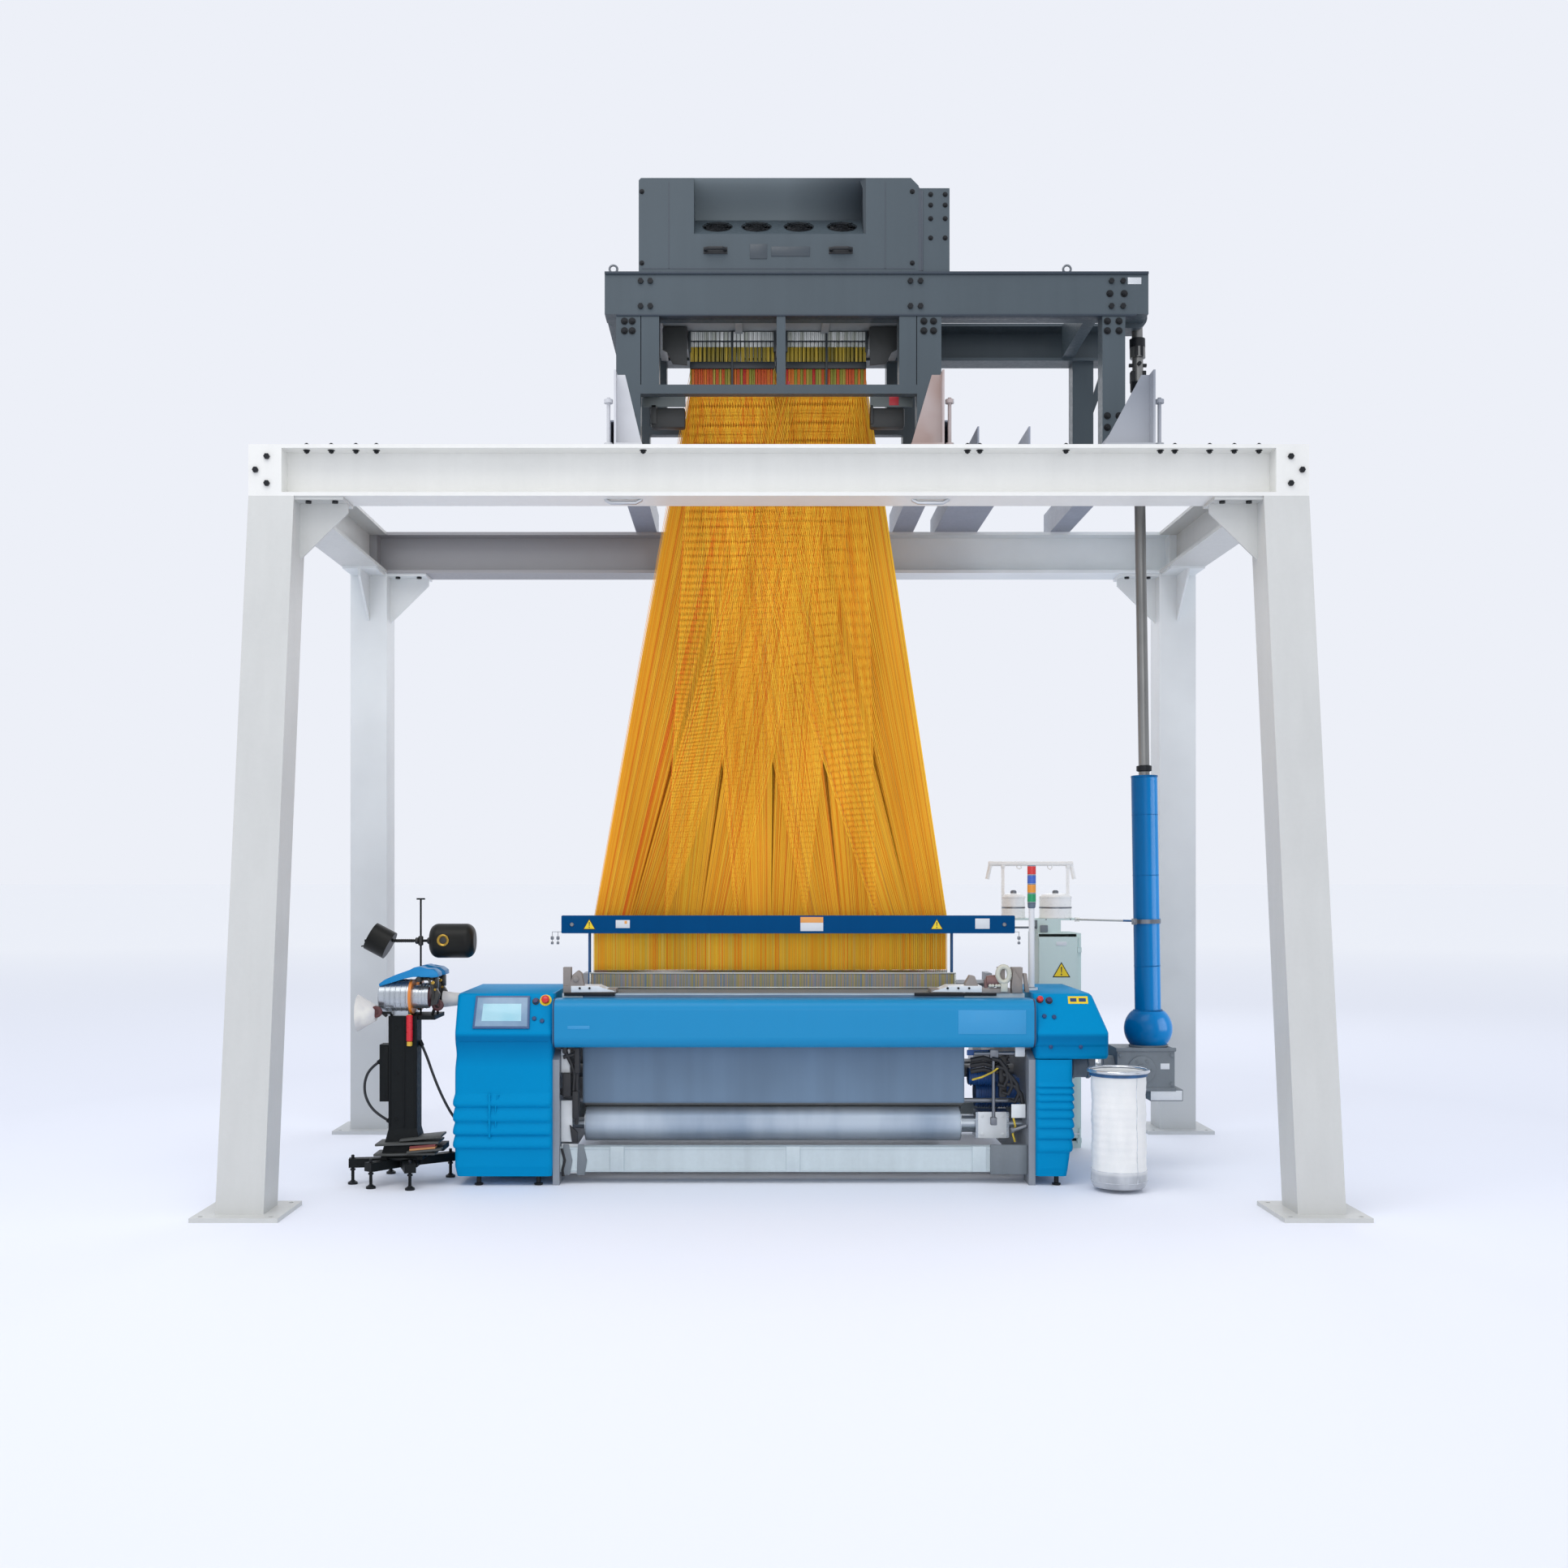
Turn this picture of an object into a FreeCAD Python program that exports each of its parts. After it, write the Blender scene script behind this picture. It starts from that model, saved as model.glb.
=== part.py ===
import FreeCAD, Part
import math
import os

# A jacquard air-jet loom under its gantry: X across the cloth, Y from the weaver to the back, Z up.
# The origin is on the floor, at the middle of the gantry's four base plates.  All sizes are in mm.

V = FreeCAD.Vector
os.makedirs("parts", exist_ok=True)

# --- driving dimensions ---------------------------------------------------------------------------
GAP = 0.3                  # air left between curved or moving faces
RUN = 0.05                 # radial clearance of a running fit
GANTRY_X = 2460.0          # a leg's centre from the middle plane
GANTRY_Y = 1247.5          # a foot's centre from the middle plane
RAKE = 490.0               # the front legs lean back this far on their way up
LEG = 220.0                # square section of a leg, and width of the beams' flanges
LEG_TOP = 3400.0           # underside of the gantry beams
BEAM_HIGH = 250.0
HEAD_BOTTOM = 4466.0       # underside of the jacquard head's rails
HEAD_LEFT, HEAD_RIGHT = -892.0, 1922.0
HEAD_FRONT, HEAD_REAR = -332.0, 568.0
HARNESS_Y = 117.0          # plane of the harness, the comber board and the healds
BOARD_TOP = 1300.0         # top face of the comber board
FRAME_LEFT, FRAME_RIGHT = -1133.0, 1297.0    # outer faces of the loom's side frames
LOOM_FRONT = -590.0
COVER_TOP = 961.0
WARP_Z = 957.0             # height of the cloth where it leaves the breast beam
CLOTH_LEFT, CLOTH_RIGHT = -995.0, 956.0
ROLL_R = 87.0              # cloth wound on its roll
TAKEUP_R = 86.5
PRESS_R = 35.0
WARP_R = 312.0             # warp wound on its beam
BACKREST_R = 62.0
SHAFT_R = 28.5             # vertical drive shaft

FRONT_Y = RAKE - GANTRY_Y            # middle of the front beam
BEAM_TOP = LEG_TOP + BEAM_HIGH
OUTER_X = GANTRY_X + LEG / 2


# --- plain shapes ---------------------------------------------------------------------------------
def block(x, y, z):
    """A box from three (low, high) pairs."""
    return Part.makeBox(x[1] - x[0], y[1] - y[0], z[1] - z[0], V(x[0], y[0], z[0]))


def around(centre, size):
    """A (low, high) pair about a centre."""
    return (centre - size / 2, centre + size / 2)


def rod(radius, start, end):
    """A round bar between two points."""
    return Part.makeCylinder(radius, (end - start).Length, start, end - start)


def x_rod(radius, x, y, z):
    """A round bar along X, from a (low, high) pair."""
    return rod(radius, V(x[0], y, z), V(x[1], y, z))


def prism(corners, along):
    """A flat closed outline pushed along a vector."""
    return Part.Face(Part.makePolygon(corners + corners[:1])).extrude(along)


def side_prism(outline, x):
    """An outline of (y, z) corners pushed along X."""
    return prism([V(x[0], y, z) for y, z in outline], V(x[1] - x[0], 0, 0))


def front_prism(outline, y):
    """An outline of (x, z) corners pushed along Y."""
    return prism([V(x, y[0], z) for x, z in outline], V(0, y[1] - y[0], 0))


def join(shapes):
    return shapes[0].multiFuse(shapes[1:]).removeSplitter()


def save(name, *shapes):
    """One STEP file for a node, which may hold several separate solids."""
    solids = [solid for shape in shapes for solid in shape.Solids]
    whole = solids[0] if len(solids) == 1 else Part.makeCompound(solids)
    whole.exportStep("parts/" + name + ".step")


# --- gantry: four box legs on bolted base plates --------------------------------------------------
BASE = 400.0
BASE_THICK = 20.0
BASE_BOLTS = 320.0         # distance between the anchor holes
ANCHOR_R = 11.0
WALL = 8.0
CAP = 16.0
GUSSET_LONG, GUSSET_TALL, GUSSET_THICK, GUSSET_TOE, GUSSET_WIDE = 236.0, 295.0, 14.0, 60.0, 200.0


def leg(side, foot_y, top_y):
    """A hollow leg with its base plate, cap and two gussets; side is -1 or 1, inward is the middle."""
    x = side * GANTRY_X
    half = LEG / 2
    outline = [(foot_y - half, BASE_THICK), (foot_y + half, BASE_THICK),
               (top_y + half, LEG_TOP), (top_y - half, LEG_TOP)]
    hollow = [(foot_y - half + WALL, BASE_THICK), (foot_y + half - WALL, BASE_THICK),
              (top_y + half - WALL, LEG_TOP - CAP), (top_y - half + WALL, LEG_TOP - CAP)]
    tube = side_prism(outline, around(x, LEG)).cut(side_prism(hollow, around(x, LEG - 2 * WALL)))
    plate = block(around(x, BASE), around(foot_y, BASE), (0, BASE_THICK))
    for dx in (-BASE_BOLTS / 2, BASE_BOLTS / 2):
        for dy in (-BASE_BOLTS / 2, BASE_BOLTS / 2):
            plate = plate.cut(rod(ANCHOR_R, V(x + dx, foot_y + dy, 0), V(x + dx, foot_y + dy, BASE_THICK)))
    face = x - side * (half - WALL / 2)
    tip = x - side * (half + GUSSET_LONG)
    across = front_prism([(face, LEG_TOP), (tip, LEG_TOP), (tip, LEG_TOP - GUSSET_TOE),
                          (face, LEG_TOP - GUSSET_TALL)], around(top_y, GUSSET_THICK))
    flange = block(sorted((face, tip)), around(top_y, GUSSET_WIDE), (LEG_TOP - CAP, LEG_TOP))
    inward = 1 if top_y < 0 else -1
    lean = (top_y - foot_y) / (LEG_TOP - BASE_THICK)
    toe = top_y + inward * (half + GUSSET_LONG)

    def wall_y(z):
        """The middle of the leg's inward wall at a height."""
        return top_y + inward * (half - WALL / 2) - lean * (LEG_TOP - z)

    along = side_prism([(wall_y(LEG_TOP), LEG_TOP), (toe, LEG_TOP), (toe, LEG_TOP - GUSSET_TOE),
                        (wall_y(LEG_TOP - GUSSET_TALL), LEG_TOP - GUSSET_TALL)], around(x, GUSSET_THICK))
    foot = side_prism([(wall_y(LEG_TOP), LEG_TOP), (toe, LEG_TOP), (toe, LEG_TOP - CAP),
                       (wall_y(LEG_TOP - CAP), LEG_TOP - CAP)], around(x, GUSSET_WIDE))
    save("leg_" + ("front" if top_y < 0 else "rear") + ("_left" if side < 0 else "_right"),
         join([tube, plate, across, flange, along, foot]))


for side in (-1, 1):
    leg(side, -GANTRY_Y, FRONT_Y)
    leg(side, GANTRY_Y, GANTRY_Y)

# --- gantry: H-section beams ----------------------------------------------------------------------
FLANGE, WEB, END_PLATE = 18.0, 12.0, 160.0


def h_beam_x(y, z):
    """An H-beam along X with its web upright and a bolted plate at each end of its face."""
    x = (-OUTER_X, OUTER_X)
    parts = [block(x, around(y, LEG), (z, z + FLANGE)),
             block(x, around(y, LEG), (z + BEAM_HIGH - FLANGE, z + BEAM_HIGH)),
             block(x, around(y, WEB), (z, z + BEAM_HIGH))]
    outward = -1 if y < 0 else 1
    face = y + outward * LEG / 2
    for side in (-1, 1):
        end = sorted((side * OUTER_X, side * (OUTER_X - END_PLATE)))
        parts.append(block(end, sorted((face, y)), (z, z + BEAM_HIGH)))
        parts.append(block(end, sorted((y, 2 * y - face)), (z, z + BEAM_HIGH)))
    return join(parts)


def h_beam_y(x, z):
    """An H-beam along Y that fills the space between the two long beams."""
    y = (FRONT_Y + LEG / 2, GANTRY_Y - LEG / 2)
    return join([block(around(x, LEG), y, (z, z + FLANGE)),
                 block(around(x, LEG), y, (z + BEAM_HIGH - FLANGE, z + BEAM_HIGH)),
                 block(around(x, WEB), y, (z, z + BEAM_HIGH))])


save("beam_front", h_beam_x(FRONT_Y, LEG_TOP))
save("beam_rear", h_beam_x(GANTRY_Y, LEG_TOP))
save("beam_left", h_beam_y(-GANTRY_X, LEG_TOP))
save("beam_right", h_beam_y(GANTRY_X, LEG_TOP))

# --- cross beams that carry the head on the gantry ------------------------------------------------
CROSS_X = ((-833.0, -707.0), (725.0, 851.0), (1685.0, 1803.0))
CROSS_TOP = BEAM_TOP + 150.0
CROSS_Y = (FRONT_Y + WEB, GANTRY_Y + LEG / 2)
CHANNEL_X = (980.0, 1240.0)
CHANNEL_WALL = 8.0
CHANNEL_TOP = BEAM_TOP + 120.0

cross_beams = []
for x in CROSS_X:
    tube = block(x, CROSS_Y, (BEAM_TOP, CROSS_TOP))
    inside = block((x[0] + WALL, x[1] - WALL), CROSS_Y, (BEAM_TOP + WALL, CROSS_TOP - WALL))
    cross_beams.append(tube.cut(inside))
channel = block(CHANNEL_X, CROSS_Y, (BEAM_TOP, CHANNEL_TOP))
cross_beams.append(channel.cut(block((CHANNEL_X[0] + CHANNEL_WALL, CHANNEL_X[1] - CHANNEL_WALL), CROSS_Y,
                                     (BEAM_TOP + CHANNEL_WALL, CHANNEL_TOP))))
save("cross_beams", *cross_beams)

# --- white brackets on the front beam, each with an upright adjusting screw ------------------------
BRACKET_TALL, BRACKET_THICK, BRACKET_DEEP = 365.0, 10.0, 96.0
BRACKET_FEET = ((-800.0, -664.0), (644.0, 804.0), (1584.0, 1828.0))
BRACKET_TOPS = ((-800.0, -752.0), (752.0, 804.0), (1780.0, 1828.0))
SCREW_R, SCREW_TALL = 9.0, 240.0

brackets = []
for foot, top in zip(BRACKET_FEET, BRACKET_TOPS):
    y = (FRONT_Y - LEG / 2 + BRACKET_THICK, FRONT_Y - LEG / 2 + BRACKET_THICK + BRACKET_DEEP)
    upright = foot[0] if foot[0] == top[0] else foot[1] - BRACKET_THICK
    brackets.append(join([
        front_prism([(foot[0], BEAM_TOP), (foot[1], BEAM_TOP), (top[1], BEAM_TOP + BRACKET_TALL),
                     (top[0], BEAM_TOP + BRACKET_TALL)], (y[1] - BRACKET_THICK, y[1])),
        block((upright, upright + BRACKET_THICK), y, (BEAM_TOP, BEAM_TOP + BRACKET_TALL)),
        block(foot, y, (BEAM_TOP, BEAM_TOP + BRACKET_THICK))]))
    screw_x = foot[0] - 30.0 if foot[0] == top[0] else foot[1] + 30.0
    base = V(screw_x, FRONT_Y - LEG / 4, BEAM_TOP)
    brackets.append(join([rod(SCREW_R, base, base + V(0, 0, SCREW_TALL)),
                          rod(2.4 * SCREW_R, base, base + V(0, 0, 2 * SCREW_R)),
                          rod(2.4 * SCREW_R, base + V(0, 0, SCREW_TALL - 3 * SCREW_R),
                              base + V(0, 0, SCREW_TALL - SCREW_R))]))
save("head_brackets", *brackets)

# --- head frame: two long rails, members between them, and posts -----------------------------------
RAIL_TOP = HEAD_BOTTOM + 210.0
RAIL_DEEP = 140.0
RAIL_WEB, RAIL_FLANGE = 12.0, 16.0
MEMBER_DEEP = 60.0
FRONT_RAIL = (HEAD_FRONT, HEAD_FRONT + RAIL_DEEP)
REAR_RAIL = (HEAD_REAR - RAIL_DEEP, HEAD_REAR)


def rail(y, outer_face):
    """A rail boxed in on its outer face, open behind."""
    x = (HEAD_LEFT, HEAD_RIGHT)
    web = sorted((outer_face, outer_face + (RAIL_WEB if outer_face == y[0] else -RAIL_WEB)))
    return join([block(x, y, (HEAD_BOTTOM, HEAD_BOTTOM + RAIL_FLANGE)),
                 block(x, y, (RAIL_TOP - RAIL_FLANGE, RAIL_TOP)),
                 block(x, web, (HEAD_BOTTOM, RAIL_TOP))])


rails = [rail(FRONT_RAIL, FRONT_RAIL[0]), rail(REAR_RAIL, REAR_RAIL[1])]
for x in ((HEAD_LEFT, HEAD_LEFT + 2 * MEMBER_DEEP),) + CROSS_X[1:2] + ((1620.0, 1685.0),):
    rails.append(block(x, (FRONT_RAIL[1], REAR_RAIL[0]), (HEAD_BOTTOM + RAIL_FLANGE, RAIL_TOP - RAIL_FLANGE)))
save("head_rails", *rails)

INNER_POSTS = ((-703.0, -611.0), (633.0, 721.0))
POST_DEEP = 110.0
TIE_BOTTOM, TIE_TOP = HEAD_BOTTOM - 411.0, HEAD_BOTTOM - 364.0
STRUT_X = (-2.0, 44.0)
BRACE_LONG = 110.0

posts = []
POST_SETBACK = 4.0
front_post_y = (FRONT_RAIL[0] + POST_SETBACK, FRONT_RAIL[0] + POST_SETBACK + POST_DEEP)
rear_post_y = (REAR_RAIL[1] - POST_SETBACK - POST_DEEP, REAR_RAIL[1] - POST_SETBACK)
for y in (front_post_y, rear_post_y):
    posts += [block(x, y, (CROSS_TOP, HEAD_BOTTOM)) for x in CROSS_X]
    posts += [block(x, y, (TIE_TOP, HEAD_BOTTOM)) for x in INNER_POSTS]
    tie_y = (y[0], y[0] + POST_DEEP / 2)
    posts.append(block((CROSS_X[0][1], CROSS_X[1][0]), tie_y, (TIE_BOTTOM, TIE_TOP)))
    posts.append(block(STRUT_X, tie_y, (TIE_TOP, HEAD_BOTTOM)))
brace_x = CROSS_X[2][1]
posts.append(front_prism([(brace_x, HEAD_BOTTOM - 290.0), (brace_x + BRACE_LONG, HEAD_BOTTOM),
                          (brace_x + BRACE_LONG - 50.0, HEAD_BOTTOM), (brace_x, HEAD_BOTTOM - 190.0)],
                         (REAR_RAIL[0] + 40.0, REAR_RAIL[0] + 70.0)))
save("head_posts", *posts)

# --- head cover: a sheet-metal hood with a sloping fan recess in its front -------------------------
HOOD_X = (-716.0, 733.0)
HOOD_Y = (HEAD_FRONT + 2.0, HEAD_REAR - 2.0)
HOOD_TOP = RAIL_TOP + 495.0
HOOD_WALL = 4.0
HOOD_CHAMFER = 40.0
RECESS_X = (-430.0, 460.0)
RECESS_BOTTOM = RAIL_TOP + 205.0
RECESS_DEEP = 200.0
RECESS_ANGLE = 38.0
GEAR_CASE_RIGHT, GEAR_CASE_TOP = 893.0, RAIL_TOP + 442.0
FAN_XS = (-310.0, -106.0, 115.0, 340.0)
FAN_R, FAN_THICK, FAN_HOLE_R, FAN_HUB_R, FAN_PIN_R = 66.0, 14.0, 74.0, 20.0, 5.0


def hood_solid(inset):
    """The hood's outer form, or its hollow when inset is the wall."""
    top = HOOD_TOP - inset
    rise = RECESS_BOTTOM + RECESS_DEEP * math.tan(math.radians(RECESS_ANGLE))
    box = front_prism([(HOOD_X[0] + inset, RAIL_TOP), (HOOD_X[1] - inset, RAIL_TOP),
                       (HOOD_X[1] - inset, top - HOOD_CHAMFER), (HOOD_X[1] - HOOD_CHAMFER - inset, top),
                       (HOOD_X[0] + 12.0 + inset, top), (HOOD_X[0] + inset, top - 12.0)],
                      (HOOD_Y[0] + inset, HOOD_Y[1] - inset))
    back = HOOD_Y[0] + RECESS_DEEP + inset
    front, above = HOOD_Y[0] - 50.0, HOOD_TOP + 50.0
    low = RECESS_BOTTOM - inset - 50.0 * math.tan(math.radians(RECESS_ANGLE))
    recess = side_prism([(front, low), (back, rise - inset), (back, above), (front, above)],
                        (RECESS_X[0] - inset, RECESS_X[1] + inset))
    return box.cut(recess)


def on_slope(shape, x):
    """Stands a shape, made about the Z axis with its face at 0, on the recess slope."""
    half = RECESS_DEEP * 0.45
    shape = shape.copy()
    shape.rotate(V(0, 0, 0), V(1, 0, 0), RECESS_ANGLE)
    shape.translate(V(x, HOOD_Y[0] + half, RECESS_BOTTOM + half * math.tan(math.radians(RECESS_ANGLE))))
    return shape


def fan_rotor():
    """A hub with seven pitched blades, bored for its pin."""
    blades = []
    for i in range(7):
        blade = Part.makeBox(FAN_R - FAN_HUB_R + 4.0, 2.5, FAN_THICK, V(FAN_HUB_R - 4.0, 0, 0))
        blade.rotate(V(0, 0, FAN_THICK / 2), V(1, 0, 0), 38.0)
        blade.rotate(V(0, 0, 0), V(0, 0, 1), i * 360.0 / 7)
        blades.append(blade)
    rotor = join([Part.makeCylinder(FAN_HUB_R, FAN_THICK)] + blades)
    rotor = rotor.common(Part.makeCylinder(FAN_R, FAN_THICK))
    rotor = rotor.cut(Part.makeCylinder(FAN_PIN_R + RUN, FAN_THICK))
    rotor.translate(V(0, 0, -HOOD_WALL - FAN_THICK - 2.0))
    return rotor


def fan_spider():
    """The fan's fixed bars, boss and pin, welded under the slope."""
    low = -HOOD_WALL - FAN_THICK - 2.0 - GAP
    bars = [Part.makeBox(2 * FAN_HOLE_R + 24.0, 8.0, 5.0, V(-FAN_HOLE_R - 12.0, -4.0, low - 5.0)),
            Part.makeCylinder(FAN_HUB_R - 4.0, 8.0, V(0, 0, low - 8.0)),
            Part.makeCylinder(FAN_PIN_R, FAN_THICK + 3.0 + GAP, V(0, 0, low - 1.0))]
    for end in (-FAN_HOLE_R - 12.0, FAN_HOLE_R + 4.0):
        bars.append(Part.makeBox(8.0, 8.0, 5.0 - low - HOOD_WALL / 2, V(end, -4.0, low - 5.0)))
    return join(bars)


shell = hood_solid(0.0).cut(hood_solid(HOOD_WALL))
for x in FAN_XS:
    shell = shell.cut(on_slope(Part.makeCylinder(FAN_HOLE_R, 60.0, V(0, 0, -30.0)), x))
shell = join([shell] + [on_slope(fan_spider(), x) for x in FAN_XS])
case_y = (HOOD_Y[0], HOOD_Y[1])
gear_case = block((HOOD_X[1], GEAR_CASE_RIGHT), case_y, (RAIL_TOP, GEAR_CASE_TOP)).cut(
    block((HOOD_X[1], GEAR_CASE_RIGHT - HOOD_WALL), (case_y[0] + HOOD_WALL, case_y[1] - HOOD_WALL),
          (RAIL_TOP, GEAR_CASE_TOP - HOOD_WALL)))
save("head_cover", shell, gear_case)
for number, x in enumerate(FAN_XS, 1):
    save("head_fan_%d" % number, on_slope(fan_rotor(), x))

# --- hook modules and the gearbox at the head's end -------------------------------------------------
MODULE_XS = ((-463.0, -8.0), (54.0, 484.0))
MODULE_BOTTOM, MODULE_TOP = HEAD_BOTTOM - 229.0, HEAD_BOTTOM + RAIL_FLANGE
MODULE_DEEP = 300.0
CARRIER_THICK = 12.0

modules = [block(x, around(HARNESS_Y, MODULE_DEEP), (MODULE_BOTTOM, MODULE_TOP)) for x in MODULE_XS]
modules.append(block((HEAD_LEFT + 2 * MEMBER_DEEP, CROSS_X[1][0]), (FRONT_RAIL[1], REAR_RAIL[0]),
                     (MODULE_TOP, MODULE_TOP + CARRIER_THICK)))
save("hook_modules", *modules)

SHAFT_TOP = V(1911.0, -132.0, HEAD_BOTTOM - 16.0)
SHAFT_FOOT = V(1971.0, -132.0, 640.0)
BOX_X, BOX_Y, BOX_Z = (1790.0, 1950.0), (FRONT_RAIL[1], FRONT_RAIL[1] + 130.0), (HEAD_BOTTOM - 26.0, RAIL_TOP)
BOX_ROUND = 55.0


def shaft_point(z):
    """The drive shaft's centre at a height."""
    return SHAFT_FOOT + (SHAFT_TOP - SHAFT_FOOT) * ((z - SHAFT_FOOT.z) / (SHAFT_TOP.z - SHAFT_FOOT.z))


gearbox = block(BOX_X, BOX_Y, BOX_Z)
box_middle = (BOX_Y[0] + BOX_Y[1]) / 2
round_edges = [edge for edge in gearbox.Edges
               if abs(edge.CenterOfMass.x - BOX_X[1]) < 1 and abs(edge.CenterOfMass.y - box_middle) < 1]
gearbox = gearbox.makeFillet(BOX_ROUND, round_edges)
SOCKET_DEEP = 30.0
gearbox = gearbox.cut(rod(SHAFT_R + RUN, shaft_point(BOX_Z[0] - 60.0), shaft_point(BOX_Z[0] + SOCKET_DEEP)))
save("head_gearbox", gearbox)

# --- harness: the fan of cords, the comber board and the healds ------------------------------------
FAN_TOP_X = (-457.0, 484.0)
BOARD_X = (-990.0, 935.0)
BOARD_DEEP, BOARD_THICK = 160.0, 20.0
HEALD_TOP = 1046.0
HEALD_DEEP = 100.0
HEALD_FOOT = 330.0
CORD_DEEP_TOP = 280.0


def flat_rectangle(x, y, z):
    corners = [V(x[0], y[0], z), V(x[1], y[0], z), V(x[1], y[1], z), V(x[0], y[1], z)]
    return Part.makePolygon(corners + corners[:1])


top_of_fan = flat_rectangle(FAN_TOP_X, around(HARNESS_Y, CORD_DEEP_TOP), MODULE_BOTTOM)
foot_of_fan = flat_rectangle(BOARD_X, around(HARNESS_Y, BOARD_DEEP - 20.0), BOARD_TOP)
fan_of_cords = Part.makeLoft([top_of_fan, foot_of_fan], True, True)
hanging_cords = block(BOARD_X, around(HARNESS_Y, HEALD_DEEP), (HEALD_TOP, BOARD_TOP - BOARD_THICK))
save("harness", fan_of_cords, hanging_cords)

POST_R = 8.0
BOARD_POST_XS = (BOARD_X[0] - 24.0, BOARD_X[1] + 24.0)
GUARD_X = (-1132.0, 1253.0)
GUARD_Z = (1256.0, 1350.0)
GUARD_Y = (-197.0, -167.0)
ARM = 20.0
board = [block((BOARD_POST_XS[0] - ARM, BOARD_POST_XS[1] + ARM), around(HARNESS_Y, BOARD_DEEP),
               (BOARD_TOP - BOARD_THICK, BOARD_TOP))]
for x in BOARD_POST_XS:
    board.append(rod(POST_R, V(x, HARNESS_Y, HEALD_FOOT), V(x, HARNESS_Y, BOARD_TOP - BOARD_THICK)))
    board.append(block(around(x, ARM), (GUARD_Y[1], HARNESS_Y), (BOARD_TOP - BOARD_THICK, BOARD_TOP)))
save("comber_board", join(board))
save("healds", block(BOARD_X, around(HARNESS_Y, HEALD_DEEP), (HEALD_FOOT, HEALD_TOP)))

guard = block(GUARD_X, GUARD_Y, GUARD_Z)
guard = guard.makeFillet(6.0, [edge for edge in guard.Edges if edge.Length < 35.0])
save("guard_bar", guard)

# --- loom: side frames with the bearings of every roller -------------------------------------------
PLATE = 33.0
FRAME_Y = (-560.0, 1150.0)
FRAME_TOP = 900.0
NOTCH_Y = -440.0           # rear face of the front cover, which seats on the frames
COVER_LOW = 692.0
JOURNAL_R = 22.0
ROLL_Y, ROLL_Z = -343.0, 281.0
TAKEUP_Z = 790.0
PRESS_Y = ROLL_Y + TAKEUP_R + PRESS_R + 0.5
WARP_Y, WARP_BEAM_Z = 760.0, 470.0
BACKREST_Y = WARP_Y + WARP_R - BACKREST_R
WARP_LINE = 978.0
BACKREST_Z = WARP_LINE - BACKREST_R - GAP
SLEY_Y, SLEY_Z, SLEY_SHAFT_R = -60.0, 520.0, 35.0
MAIN_Y, MAIN_Z, MAIN_R = -60.0, 240.0, 30.0
PLATES = ((FRAME_LEFT, FRAME_LEFT + PLATE), (FRAME_RIGHT - PLATE, FRAME_RIGHT))
INSIDE = (PLATES[0][1], PLATES[1][0])
FOOT_TALL = 60.0
LEG_LONG = 150.0

bearings = [(ROLL_Y, ROLL_Z, JOURNAL_R), (ROLL_Y, TAKEUP_Z, JOURNAL_R), (PRESS_Y, TAKEUP_Z, JOURNAL_R),
            (WARP_Y, WARP_BEAM_Z, JOURNAL_R), (BACKREST_Y, BACKREST_Z, JOURNAL_R),
            (SLEY_Y, SLEY_Z, SLEY_SHAFT_R), (MAIN_Y, MAIN_Z, MAIN_R)]
for x, name in zip(PLATES, ("side_frame_left", "side_frame_right")):
    outline = [(FRAME_Y[0], FOOT_TALL), (FRAME_Y[1], FOOT_TALL), (FRAME_Y[1], 700.0),
               (BACKREST_Y + 90.0, FRAME_TOP + 80.0),
               (BACKREST_Y - 90.0, FRAME_TOP + 80.0), (BACKREST_Y - 200.0, FRAME_TOP), (NOTCH_Y, FRAME_TOP),
               (NOTCH_Y, COVER_LOW - 20.0), (FRAME_Y[0], COVER_LOW - 60.0)]
    plate = side_prism(outline, x)
    for y in (FRAME_Y[0], FRAME_Y[1] - LEG_LONG):
        plate = plate.fuse(block(x, (y, y + LEG_LONG), (0, FOOT_TALL)))
    for y, z, radius in bearings:
        plate = plate.cut(x_rod(radius + RUN, x, y, z))
    save(name, plate.removeSplitter())

# --- loom: members between the frames ---------------------------------------------------------------
SILL_Z = (60.0, 186.0)
SILL_Y = (-520.0, -430.0 - 22.0)
CLOTH_LINE = ROLL_Y - max(ROLL_R, TAKEUP_R + 0.5)     # the cloth hangs clear of both rollers
BREAST_Y, BREAST_Z = (CLOTH_LINE, CLOTH_LINE + 60.0), (892.0, WARP_Z - GAP)
HOLD_Z = (HEALD_FOOT - 60.0, HEALD_FOOT)
rear_sill = block(INSIDE, (FRAME_Y[1] - 90.0, FRAME_Y[1] - 20.0), SILL_Z)
front_sill = block(INSIDE, SILL_Y, SILL_Z)
hold_down = block(INSIDE, around(HARNESS_Y, HEALD_DEEP + 20.0), HOLD_Z)
breast = block(INSIDE, BREAST_Y, BREAST_Z)
save("loom_cross_beams", front_sill, rear_sill, hold_down, breast)

# --- loom: rollers and shafts, each turned in one piece ----------------------------------------------


def roller(name, y, z, steps, journal=JOURNAL_R):
    """A turned roller: (radius, x low, x high) steps on one through shaft between the frames' outer faces."""
    parts = [x_rod(journal, (FRAME_LEFT, FRAME_RIGHT), y, z)]
    parts += [x_rod(radius, (low, high), y, z) for radius, low, high in steps]
    save(name, join(parts))


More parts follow.
